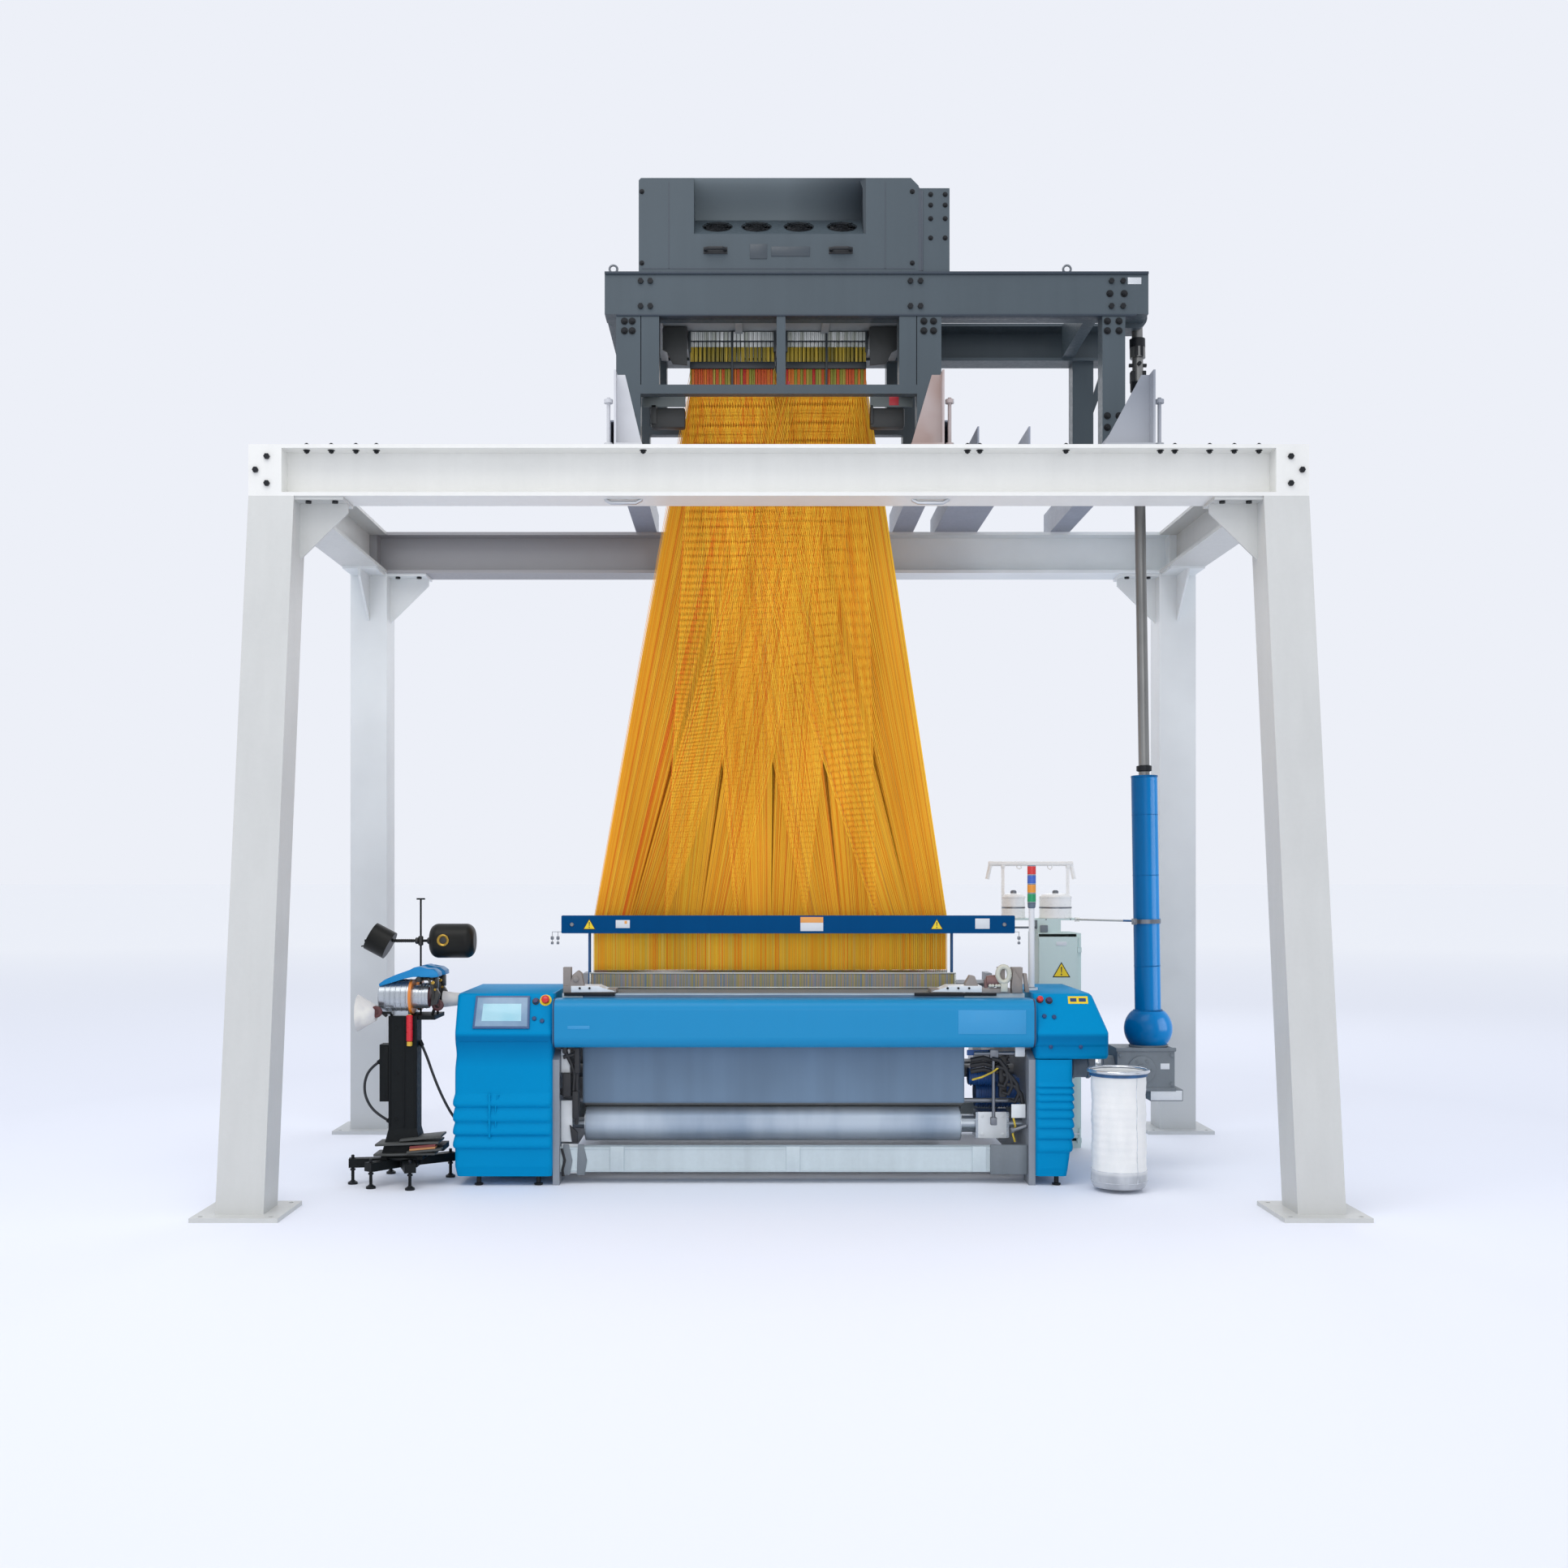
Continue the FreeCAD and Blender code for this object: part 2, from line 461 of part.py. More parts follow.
CHUCK = (1018.0, 1188.0)
CHUCK_HALF = 66.0
chuck = block(CHUCK, around(ROLL_Y, 2 * CHUCK_HALF), around(ROLL_Z, 2 * CHUCK_HALF))
save("cloth_roll", join([x_rod(JOURNAL_R, (FRAME_LEFT, FRAME_RIGHT), ROLL_Y, ROLL_Z),
                         x_rod(ROLL_R, (-987.0, 943.0), ROLL_Y, ROLL_Z),
                         x_rod(46.0, (943.0, CHUCK[0]), ROLL_Y, ROLL_Z), chuck]))
ROLLER_X = (-1010.0, 970.0)
roller("takeup_roller", ROLL_Y, TAKEUP_Z, [(TAKEUP_R,) + ROLLER_X, (60.0, 1180.0, 1240.0)])
roller("press_roller", PRESS_Y, TAKEUP_Z, [(PRESS_R,) + ROLLER_X])
roller("backrest_roller", BACKREST_Y, BACKREST_Z, [(BACKREST_R,) + ROLLER_X])
FLANGE_R, FLANGE_THICK = 375.0, 18.0
roller("warp_beam", WARP_Y, WARP_BEAM_Z,
       [(WARP_R, CLOTH_LEFT, CLOTH_RIGHT), (FLANGE_R, CLOTH_LEFT - FLANGE_THICK, CLOTH_LEFT),
        (FLANGE_R, CLOTH_RIGHT, CLOTH_RIGHT + FLANGE_THICK), (120.0, 1150.0, 1200.0)])

PULLEY_X, PULLEY_R = (-1230.0, -1180.0), 150.0
save("main_shaft", join([x_rod(MAIN_R, (PULLEY_X[0] - 20.0, FRAME_RIGHT + 60.0), MAIN_Y, MAIN_Z),
                         x_rod(PULLEY_R, PULLEY_X, MAIN_Y, MAIN_Z),
                         x_rod(90.0, (1180.0, 1220.0), MAIN_Y, MAIN_Z)]))

# --- sley: rocking shaft, swords and beam, with the reed clamped on top -------------------------------
SLEY_BEAM_Y, SLEY_BEAM_Z = (-150.0, -80.0), (850.0, 916.0)
REED_Y, REED_TOP = (-120.0, -112.0), 1044.0
SWORD_XS = (-880.0, -300.0, 280.0, 860.0)
SWORD = 40.0
SLEY_X = (-1080.0, 1240.0)
sley = [x_rod(SLEY_SHAFT_R, (FRAME_LEFT, FRAME_RIGHT), SLEY_Y, SLEY_Z),
        block(SLEY_X, SLEY_BEAM_Y, SLEY_BEAM_Z)]
for x in SWORD_XS:
    sley.append(side_prism([(SLEY_Y - SLEY_SHAFT_R, SLEY_Z), (SLEY_Y + SLEY_SHAFT_R, SLEY_Z),
                            (SLEY_BEAM_Y[1], SLEY_BEAM_Z[0]), (SLEY_BEAM_Y[0] + 20.0, SLEY_BEAM_Z[0])],
                           around(x, SWORD)))
save("sley", join(sley), block((CLOTH_LEFT + 5.0, CLOTH_RIGHT - 5.0), REED_Y, (SLEY_BEAM_Z[1], REED_TOP)))

# --- cloth and warp: two sheets over their rollers ----------------------------------------------------
CLOTH_THICK = 1.0
FELL_Y = REED_Y[0] - 5.0
cloth_face = BREAST_Y[0] - GAP
cloth = side_prism([(FELL_Y, WARP_Z), (FELL_Y, WARP_Z + CLOTH_THICK),
                    (cloth_face - CLOTH_THICK, WARP_Z + CLOTH_THICK), (cloth_face - CLOTH_THICK, ROLL_Z),
                    (cloth_face, ROLL_Z), (cloth_face, WARP_Z)],
                   (CLOTH_LEFT, CLOTH_RIGHT))
save("cloth", cloth)
WARP_SHEET_X = (CLOTH_LEFT + 15.0, CLOTH_RIGHT - 15.0)
sheet_out = BACKREST_R + GAP
turn = x_rod(sheet_out + CLOTH_THICK, WARP_SHEET_X, BACKREST_Y, BACKREST_Z).cut(
    x_rod(sheet_out, WARP_SHEET_X, BACKREST_Y, BACKREST_Z))
turn = turn.common(block(WARP_SHEET_X, (BACKREST_Y, BACKREST_Y + 100.0), (BACKREST_Z, BACKREST_Z + 100.0)))
sheet_span = (sheet_out, sheet_out + CLOTH_THICK)
warp_parts = [turn,
              block(WARP_SHEET_X, (HARNESS_Y + HEALD_DEEP / 2 + GAP, BACKREST_Y),
                    (BACKREST_Z + sheet_span[0], BACKREST_Z + sheet_span[1])),
              block(WARP_SHEET_X, (BACKREST_Y + sheet_span[0], BACKREST_Y + sheet_span[1]),
                    (WARP_BEAM_Z, BACKREST_Z))]
save("warp_sheet", join(warp_parts))

# --- temples and the nozzle and cutter brackets on top of the breast beam -----------------------------
temples = []
temple_spans = ((CLOTH_LEFT - 60.0, CLOTH_LEFT + 170.0, 1), (CLOTH_RIGHT - 170.0, CLOTH_RIGHT + 90.0, -1))
for low, high, side in temple_spans:
    z = WARP_Z + CLOTH_THICK + 4.0
    temples.append(block((low, high), (BREAST_Y[0] - 6.0, BREAST_Y[1] + 80.0), (z, z + 16.0)))
    end = (low, low + 50.0) if side > 0 else (high - 50.0, high)
    temples.append(block(end, (BREAST_Y[0] + 4.0, BREAST_Y[1] - 4.0), (BREAST_Z[1], z)))
temple_set = [join(temples[0:2]), join(temples[2:4])]
for x in ((-1096.0, -1056.0), (1130.0, 1165.0), (1200.0, 1255.0)):
    temple_set.append(block(x, (BREAST_Y[0] + 2.0, BREAST_Y[1]), (BREAST_Z[1], 1090.0)))
save("temples", *temple_set)

# --- covers: pressed-steel shells over the drives and the take-up -------------------------------------
SKIN = 4.0
COVER_BACK = 250.0
COVER_FOOT = 49.0
FACE_TOP = 770.0           # where the upright face turns into the sloping console
CONSOLE_BACK = -500.0
LEFT_X = (-1609.0, FRAME_LEFT)
RIGHT_UPPER = 1663.0
RIGHT_LOWER = 1492.0
STEP_Z = 639.0
SLOPE = V(0, CONSOLE_BACK - LOOM_FRONT, COVER_TOP - FACE_TOP).normalize()
NORMAL = V(0, -SLOPE.z, SLOPE.y)
BUTTON_STEM_R, BUTTON_STEM, BUTTON_TRAVEL, BUTTON_TALL = 8.0, 34.0, 5.0, 12.0
GLAND_R, GLAND_LONG = 11.0, 30.0
HOSE_ENTRY = (V(-1622, -480, 300), V(-1655, -483, 346))     # where the feeder hose meets the left cover


def cover_side(inset):
    """The covers' profile seen from the side, pulled in by inset."""
    return [(LOOM_FRONT + inset, COVER_FOOT + inset), (COVER_BACK - inset, COVER_FOOT + inset),
            (COVER_BACK - inset, COVER_TOP - inset), (CONSOLE_BACK + inset * 0.5, COVER_TOP - inset),
            (LOOM_FRONT + inset, FACE_TOP - inset * 0.3)]


def right_front(inset):
    """The right cover's stepped outline seen from the front; its inner side is left open."""
    return [(FRAME_RIGHT, COVER_FOOT + inset), (RIGHT_LOWER - inset, COVER_FOOT + inset),
            (RIGHT_LOWER - inset, STEP_Z + inset), (RIGHT_UPPER - inset, STEP_Z + inset),
            (RIGHT_UPPER - inset, FACE_TOP), (RIGHT_UPPER - 70.0 - inset, COVER_TOP - inset),
            (FRAME_RIGHT, COVER_TOP - inset)]


def on_console(x, share):
    """A point on the sloping console face, share of the way up it."""
    return V(x, LOOM_FRONT + (CONSOLE_BACK - LOOM_FRONT) * share, FACE_TOP + (COVER_TOP - FACE_TOP) * share)


BUTTONS = (("stop_button_left", -1174.0, 0.83, 20.0), ("start_button_left", -1223.0, 0.80, 12.0),
           ("stop_button_right", 1327.0, 0.84, 15.0), ("start_button_right", 1373.0, 0.82, 13.0))
COLLAR_R = 13.0
depth = (LOOM_FRONT - 10.0, COVER_BACK + 10.0)
left_hollow = side_prism(cover_side(SKIN), (LEFT_X[0] + SKIN, LEFT_X[1]))
left_shell = side_prism(cover_side(0.0), LEFT_X).cut(left_hollow)
right_span = (FRAME_RIGHT, RIGHT_UPPER)
right_shell = side_prism(cover_side(0.0), right_span).common(front_prism(right_front(0.0), depth))
right_hollow = side_prism(cover_side(SKIN), right_span).common(front_prism(right_front(SKIN), depth))
right_shell = right_shell.cut(right_hollow)
shells = {"left": left_shell, "right": right_shell}
for name, x, share, head_r in BUTTONS:
    side = name.split("_")[-1]
    point = on_console(x, share)
    hole = rod(BUTTON_STEM_R + 2 * RUN, point - NORMAL * 40.0, point + NORMAL * 20.0)
    collar = rod(COLLAR_R, point - NORMAL * SKIN, point + NORMAL * 1.5)
    shells[side] = shells[side].fuse(collar).cut(hole)
    seat = point + NORMAL * (1.5 + BUTTON_TRAVEL + GAP)
    stem = rod(BUTTON_STEM_R, seat - NORMAL * BUTTON_STEM, seat)
    save(name, join([stem, rod(head_r, seat, seat + NORMAL * BUTTON_TALL)]))
entry, before_entry = HOSE_ENTRY
entry_out = (entry - before_entry).normalize()
shells["left"] = shells["left"].fuse(rod(GLAND_R, entry, entry + entry_out * GLAND_LONG))
shells["left"] = shells["left"].cut(x_rod(MAIN_R + 20.0, (FRAME_LEFT - 2 * SKIN, FRAME_LEFT), MAIN_Y, MAIN_Z))
save("left_cover", shells["left"].removeSplitter())
save("right_cover", shells["right"].removeSplitter())

FRONT_TOP = 936.0
FRONT_ROUND = 55.0
front_x = (FRAME_LEFT, FRAME_RIGHT)
nose = block(front_x, (LOOM_FRONT, NOTCH_Y), (COVER_LOW, FRONT_TOP))
nose_edges = [edge for edge in nose.Edges if abs(edge.CenterOfMass.y - LOOM_FRONT) < 1 and edge.Length > 1000]
nose = nose.makeFillet(FRONT_ROUND, nose_edges)
hollow = block((front_x[0] + SKIN, front_x[1] - SKIN), (LOOM_FRONT + SKIN, NOTCH_Y),
               (COVER_LOW + SKIN, FRONT_TOP - SKIN))
hollow_edges = [edge for edge in hollow.Edges
                if abs(edge.CenterOfMass.y - LOOM_FRONT - SKIN) < 1 and edge.Length > 1000]
nose = nose.cut(hollow.makeFillet(FRONT_ROUND - SKIN, hollow_edges))
save("front_cover", nose)

# --- motor on the right, low behind the roll ----------------------------------------------------------
MOTOR_X, MOTOR_Y, MOTOR_Z, MOTOR_R = (1040.0, INSIDE[1]), -190.0, 420.0, 72.0
motor = join([x_rod(MOTOR_R, (MOTOR_X[0], MOTOR_X[1] - 20.0), MOTOR_Y, MOTOR_Z),
              block((MOTOR_X[1] - 20.0, MOTOR_X[1]), around(MOTOR_Y, 170.0), around(MOTOR_Z, 170.0)),
              block((1090.0, 1190.0), around(MOTOR_Y, 90.0),
                    (MOTOR_Z + MOTOR_R - 15.0, MOTOR_Z + MOTOR_R + 40.0))])
save("main_motor", motor)

# --- signal lamp on the right cover --------------------------------------------------------------------
LAMP_X, LAMP_Y, LAMP_R, LAMP_TALL = 1335.0, -230.0, 21.5, 48.0
LAMP_FOOT = COVER_TOP
LAMP_BOTTOM = 1419.0
lamp_at = V(LAMP_X, LAMP_Y, 0)
lamp = [join([rod(15.0, lamp_at + V(0, 0, LAMP_FOOT), lamp_at + V(0, 0, LAMP_BOTTOM)),
              rod(32.0, lamp_at + V(0, 0, LAMP_FOOT), lamp_at + V(0, 0, LAMP_FOOT + 12.0))])]
for i in range(4):
    low = LAMP_BOTTOM + i * LAMP_TALL
    lamp.append(rod(LAMP_R, lamp_at + V(0, 0, low), lamp_at + V(0, 0, low + LAMP_TALL)))
save("signal_lamp", *lamp)

# --- control cabinet with its door, and two canisters on top --------------------------------------------
CAB_X, CAB_Y, CAB_TOP = (1510.0, 1757.0), (570.0, 900.0), 1230.0
NECK_X, NECK_TOP = (1510.0, 1645.0), 1304.0
DOOR_THICK = 22.0
DOOR_INSET = 3.0
PIN_R = 6.0
DOOR_Z = (60.0, CAB_TOP - 20.0)
PIN_AT = V(CAB_X[1] - PIN_R - 6.0, CAB_Y[0] - PIN_R - 4.0, 0)
cabinet = block(CAB_X, CAB_Y, (0, CAB_TOP)).cut(
    block((CAB_X[0] + SKIN, CAB_X[1] - SKIN), (CAB_Y[0], CAB_Y[1] - SKIN), (40.0, CAB_TOP - SKIN)))
neck = block(NECK_X, (CAB_Y[0] + 20.0, CAB_Y[1] - 60.0), (CAB_TOP, NECK_TOP))
rack = block((1319.0, 1757.0), (CAB_Y[0] + 20.0, CAB_Y[0] + 230.0), (NECK_TOP, NECK_TOP + 9.0))
lugs = []
for z in (DOOR_Z[0], DOOR_Z[1] - 60.0):
    lug = block((PIN_AT.x - PIN_R - 5.0, CAB_X[1]), (PIN_AT.y - PIN_R, CAB_Y[0]), (z - 30.0, z - GAP))
    lugs += [lug, rod(PIN_R, V(PIN_AT.x, PIN_AT.y, z - 20.0), V(PIN_AT.x, PIN_AT.y, z + 50.0))]
frame_lip = block((CAB_X[1] - 26.0, CAB_X[1]), (CAB_Y[0], CAB_Y[0] + SKIN), (0, CAB_TOP))
save("cabinet", join([cabinet, neck, rack, frame_lip] + lugs))
door = block((CAB_X[0] + DOOR_INSET, PIN_AT.x - PIN_R - 8.0),
             (CAB_Y[0] - GAP - DOOR_THICK, CAB_Y[0] - GAP), DOOR_Z)
knuckles = []
for z in (DOOR_Z[0], DOOR_Z[1] - 60.0):
    knuckles += [rod(PIN_R + 4.0, V(PIN_AT.x, PIN_AT.y, z), V(PIN_AT.x, PIN_AT.y, z + 54.0)),
                 block((PIN_AT.x - PIN_R - 12.0, PIN_AT.x), around(PIN_AT.y, 10.0), (z, z + 54.0))]
pin_holes = [rod(PIN_R + RUN, V(PIN_AT.x, PIN_AT.y, z - 1.0), V(PIN_AT.x, PIN_AT.y, z + 60.0))
             for z in (DOOR_Z[0], DOOR_Z[1] - 60.0)]
handle = block((CAB_X[0] + 20.0, CAB_X[0] + 34.0), (CAB_Y[0] - DOOR_THICK - 24.0, CAB_Y[0] - DOOR_THICK),
               (760.0, 880.0))
save("cabinet_door", join([door, handle] + knuckles).cut(Part.makeCompound(pin_holes)))

CAN_TALL = 128.0
CAN_Y = CAB_Y[0] + 110.0
RACK_Z = NECK_TOP + 9.0
CANS = ((1387.0, 66.0), (1630.0, 92.0))
cans = [Part.makeCylinder(radius, CAN_TALL, V(x, CAN_Y, RACK_Z)) for x, radius in CANS]
BAR_Z, BAR_X = 1630.0, (1270.0, 1740.0)
arch = [x_rod(14.0, BAR_X, CAN_Y + 104.0, BAR_Z)]
for x in (1342.0, 1722.0):
    arch.append(block(around(x, 16.0), around(CAN_Y + 104.0, 16.0), (RACK_Z, BAR_Z)))
for x, out in ((BAR_X[0], -1), (BAR_X[1], 1)):
    arch.append(rod(12.0, V(x, CAN_Y + 104.0, BAR_Z), V(x + out * 20.0, CAN_Y + 104.0, BAR_Z - 90.0)))
save("canisters", *(cans + [join(arch)]))

# --- vertical drive: shaft, guard tube and foot gearbox -------------------------------------------------
FOOT_X, FOOT_Y, FOOT_Z = (1780.0, 2079.0), (-250.0, -14.0), (441.0, 656.0)
TUBE_R, TUBE_WALL, TUBE_TOP = 68.0, 6.0, 2090.0
BULB_R, BULB_TOP = 126.0, 845.0
SHAFT_LOW = FOOT_Z[1] - SOCKET_DEEP
shaft_end = shaft_point(BOX_Z[0] + SOCKET_DEEP - 2.0)
save("drive_shaft", join([rod(SHAFT_R, shaft_point(SHAFT_LOW), shaft_end),
                          rod(SHAFT_R + 12.0, shaft_point(HEAD_BOTTOM - 166.0),
                              shaft_point(HEAD_BOTTOM - 66.0)),
                          rod(SHAFT_R + 12.0, shaft_point(700.0), shaft_point(790.0))]))
foot_box = block(FOOT_X, FOOT_Y, FOOT_Z)
foot_box = foot_box.cut(rod(SHAFT_R + RUN, shaft_point(SHAFT_LOW - 1.0), shaft_point(FOOT_Z[1] + 40.0)))
housing = x_rod(58.0, (RIGHT_LOWER, FOOT_X[0]), -132.0, 550.0)
shelf = block((1954.0, 2122.0), (FOOT_Y[0], FOOT_Y[1]), (381.0, FOOT_Z[0]))
save("drive_gearbox", join([foot_box, housing, shelf]))


def bulb(radius, low, high):
    """A flattened ball between two heights, about the shaft's axis."""
    middle = shaft_point((low + high) / 2)
    ball = Part.makeSphere(radius, middle)
    return ball.common(block(around(middle.x, 3 * radius), around(middle.y, 3 * radius), (low, high)))


tube = rod(TUBE_R, shaft_point(BULB_TOP - 60.0), shaft_point(TUBE_TOP))
tube = tube.fuse(bulb(BULB_R, FOOT_Z[1], BULB_TOP))
tube = tube.cut(rod(TUBE_R - TUBE_WALL, shaft_point(FOOT_Z[1] - 20.0), shaft_point(TUBE_TOP + 20.0)))
CLAMP_Z = 1318.0
clamp = rod(TUBE_R + 5.0, shaft_point(CLAMP_Z - 14.0), shaft_point(CLAMP_Z + 14.0)).cut(
    rod(TUBE_R - 2.0, shaft_point(CLAMP_Z - 20.0), shaft_point(CLAMP_Z + 20.0)))
stay_start = shaft_point(CLAMP_Z) + V(-TUBE_R * 0.6, TUBE_R * 0.75, 0)
stay_end = V(CAB_X[1] - 20.0, CAB_Y[0] + 12.0, NECK_TOP + 4.5)
eye = block(around(stay_end.x, 26.0), (stay_end.y - 4.0, CAB_Y[0] + 20.0), around(stay_end.z, 26.0))
save("guard_tube", join([tube, clamp, rod(6.0, stay_start, stay_end), eye]))

# --- waste bag on its ring -------------------------------------------------------------------------------
BAG_AT = V(1687.0, -680.0, 0)
BAG_R, BAG_WALL, BAG_FOOT, BAG_TOP = 136.0, 3.0, 20.0, 590.0
RING_R, RING_TUBE = 146.0, 9.0
bag = Part.makeCylinder(BAG_R, BAG_TOP - BAG_FOOT, BAG_AT + V(0, 0, BAG_FOOT)).cut(
    Part.makeCylinder(BAG_R - BAG_WALL, BAG_TOP, BAG_AT + V(0, 0, BAG_FOOT + BAG_WALL)))
ring = Part.makeCylinder(RING_R + RING_TUBE, 2 * RING_TUBE, BAG_AT + V(0, 0, BAG_TOP - RING_TUBE)).cut(
    Part.makeCylinder(BAG_R - BAG_WALL, 2 * RING_TUBE, BAG_AT + V(0, 0, BAG_TOP - RING_TUBE)))
hanger = block((1600.0, 1630.0), (-552.0, -530.0), (BAG_TOP - RING_TUBE, STEP_Z))
save("waste_bag", join([bag, ring, hanger]))

# --- weft feeder stand -------------------------------------------------------------------------------------
STAND_X, STAND_Y = -1893.0, -480.0
COLUMN, COLUMN_Z = 144.0, (86.0, 850.0)
FEET = ((-2149.0, -520.0), (-2030.0, -640.0), (-1827.0, -680.0), (-1690.0, -330.0), (-2020.0, -230.0))
ARM_WIDE, ARM_TALL = 56.0, 44.0
FOOT_R, FOOT_PAD_R = 8.0, 24.0
stand = [block(around(STAND_X, COLUMN), around(STAND_Y, COLUMN * 0.8), COLUMN_Z)]
for x, y in FEET:
    reach = math.hypot(x - STAND_X, y - STAND_Y) + ARM_WIDE / 3
    arm = Part.makeBox(reach, ARM_WIDE, ARM_TALL, V(0, -ARM_WIDE / 2, COLUMN_Z[0]))
    arm.rotate(V(0, 0, 0), V(0, 0, 1), math.degrees(math.atan2(y - STAND_Y, x - STAND_X)))
    arm.translate(V(STAND_X, STAND_Y, 0))
    stand.append(arm)
    stand.append(rod(FOOT_R, V(x, y, 4.0), V(x, y, COLUMN_Z[0] + 2.0)))
    stand.append(rod(FOOT_PAD_R, V(x, y, 0), V(x, y, 10.0)))
flare = [flat_rectangle(around(STAND_X, COLUMN * 1.5), around(STAND_Y, COLUMN * 1.2), 130.0),
         flat_rectangle(around(STAND_X, COLUMN), around(STAND_Y, COLUMN * 0.8), 280.0)]
stand.append(Part.makeLoft(flare, True, True))
stand.append(block((-2013.0, STAND_X - COLUMN / 2), around(STAND_Y, 90.0), (417.0, 705.0)))
stand.append(block((STAND_X + 20.0, -1683.0), around(STAND_Y, 150.0), (172.0, 200.0)))
MAST_R, MAST_TOP = 5.0, 1440.0
MAST_X, MAST_Y = -1832.0, STAND_Y + 92.0       # between the two feeders
stand.append(rod(MAST_R, V(MAST_X, MAST_Y, COLUMN_Z[1] - 5.0), V(MAST_X, MAST_Y, MAST_TOP)))
stand.append(rod(22.0, V(MAST_X, MAST_Y, MAST_TOP - 4.0), V(MAST_X, MAST_Y, MAST_TOP + 4.0)))
CROSS_Z = 1225.0
CROSS_R = 7.0
stand.append(x_rod(CROSS_R, (-2120.0, -1640.0), MAST_Y, CROSS_Z))
PEG_R = 6.0
PEG_LEFT, PEG_RIGHT = V(-2112.0, STAND_Y - 80.0, 868.0), V(-1622.0, MAST_Y, 925.0)
peg_turn_left, peg_turn_right = V(-1950.0, PEG_LEFT.y, PEG_LEFT.z), V(-1745.0, MAST_Y, PEG_RIGHT.z)
peg_foot_left = V(peg_turn_left.x, STAND_Y - 30.0, COLUMN_Z[1] - 10.0)
peg_foot_right = V(peg_turn_right.x, MAST_Y, COLUMN_Z[1] - 10.0)
stand += [rod(PEG_R, PEG_LEFT, peg_turn_left), rod(PEG_R, peg_turn_left, peg_foot_left),
          rod(PEG_R, PEG_RIGHT, peg_turn_right), rod(PEG_R, peg_turn_right, peg_foot_right)]
HOSE_R = 7.0
HOSES = {
    "hose_left": [V(-2030, -480, 609), V(-2070, -479, 580), V(-2099, -477, 522), V(-2101, -476, 452),
                  V(-2074, -477, 388), V(-2026, -479, 342), V(-1984, -480, 318)],
    "hose_right": [V(-1806, -480, 694), V(-1782, -481, 640), V(-1755, -484, 562), V(-1724, -487, 484),
                   V(-1690, -486, 410), HOSE_ENTRY[1], HOSE_ENTRY[0]],
}


def gland(end, neighbour):
    """A hose fitting that carries on along the hose's last run."""
    out = (end - neighbour).normalize()
    return rod(GLAND_R, end, end + out * GLAND_LONG)


for route in HOSES.values():
    stand.append(gland(route[0], route[1]))
stand.append(gland(HOSES["hose_left"][-1], HOSES["hose_left"][-2]))
FEED_Z = 945.0
FEED_YS = (STAND_Y - 6.0, STAND_Y + 190.0)
stand.append(block((-1960.0, -1735.0), (STAND_Y - 40.0, FEED_YS[1] + 30.0),
                   (COLUMN_Z[1] - 20.0, COLUMN_Z[1])))
save("weft_stand", join(stand))

# --- hoses: straight runs joined by tangent arcs --------------------------------------------------
ARC_SHARE = 0.45


def hose(name, route):
    """Sweeps a round tube along the route and prints its bend radii."""
    edges, radii, start = [], [], route[0]
    for before, corner, after in zip(route, route[1:], route[2:]):
        into, out = (corner - before), (after - corner)
        reach = ARC_SHARE * min(into.Length, out.Length)
        into.normalize()
        out.normalize()
        turn_angle = into.getAngle(out)
        radii.append(reach / math.tan(turn_angle / 2))
        first, last = corner - into * reach, corner + out * reach
        bisector = (out - into).normalize()
        middle = corner + bisector * (radii[-1] / math.cos(turn_angle / 2) - radii[-1])
        edges += [Part.LineSegment(start, first).toShape(), Part.Arc(first, middle, last).toShape()]
        start = last
    edges.append(Part.LineSegment(start, route[-1]).toShape())
    path = Part.Wire(edges)
    circle = Part.Wire(Part.Circle(route[0], route[1] - route[0], HOSE_R).toShape())
    tube = path.makePipeShell([circle], True, True)
    print(name, "radii", [round(r) for r in radii], "length", round(path.Length),
          "volume ratio", round(tube.Volume / (math.pi * HOSE_R ** 2 * path.Length), 4))
    save(name, tube)


for name, route in HOSES.items():
    hose(name, route)

# --- weft feeders: bodies, turning discs, balloon drums and yarn packages -------------------------
FEED_BODY_X, FEED_BODY_R = (-2010.0, -1862.0), 76.0
DISC_R, DISC_THICK = 86.0, 14.0
DRUM_R, DRUM_LONG, SPINDLE_R = 58.0, 80.0, 12.0
for number, y in enumerate(FEED_YS, 1):
    disc_x = (FEED_BODY_X[1] + GAP, FEED_BODY_X[1] + GAP + DISC_THICK)
    drum_x = (disc_x[1] + GAP, disc_x[1] + GAP + DRUM_LONG)
    disc = x_rod(DISC_R, disc_x, y, FEED_Z).cut(x_rod(SPINDLE_R + RUN, disc_x, y, FEED_Z))
    save("feeder_disc_%d" % number, disc)
feeders = []
for y in FEED_YS:
    body = x_rod(FEED_BODY_R, FEED_BODY_X, y, FEED_Z)
    spindle = x_rod(SPINDLE_R, (FEED_BODY_X[1] - 5.0, drum_x[1]), y, FEED_Z)
    drum = x_rod(DRUM_R, drum_x, y, FEED_Z)
    foot = block((FEED_BODY_X[0] + 30.0, FEED_BODY_X[1] - 8.0), around(y, 60.0), (COLUMN_Z[1], FEED_Z))
    feeders.append(join([body, spindle, drum, foot]))
save("feeders", *feeders)

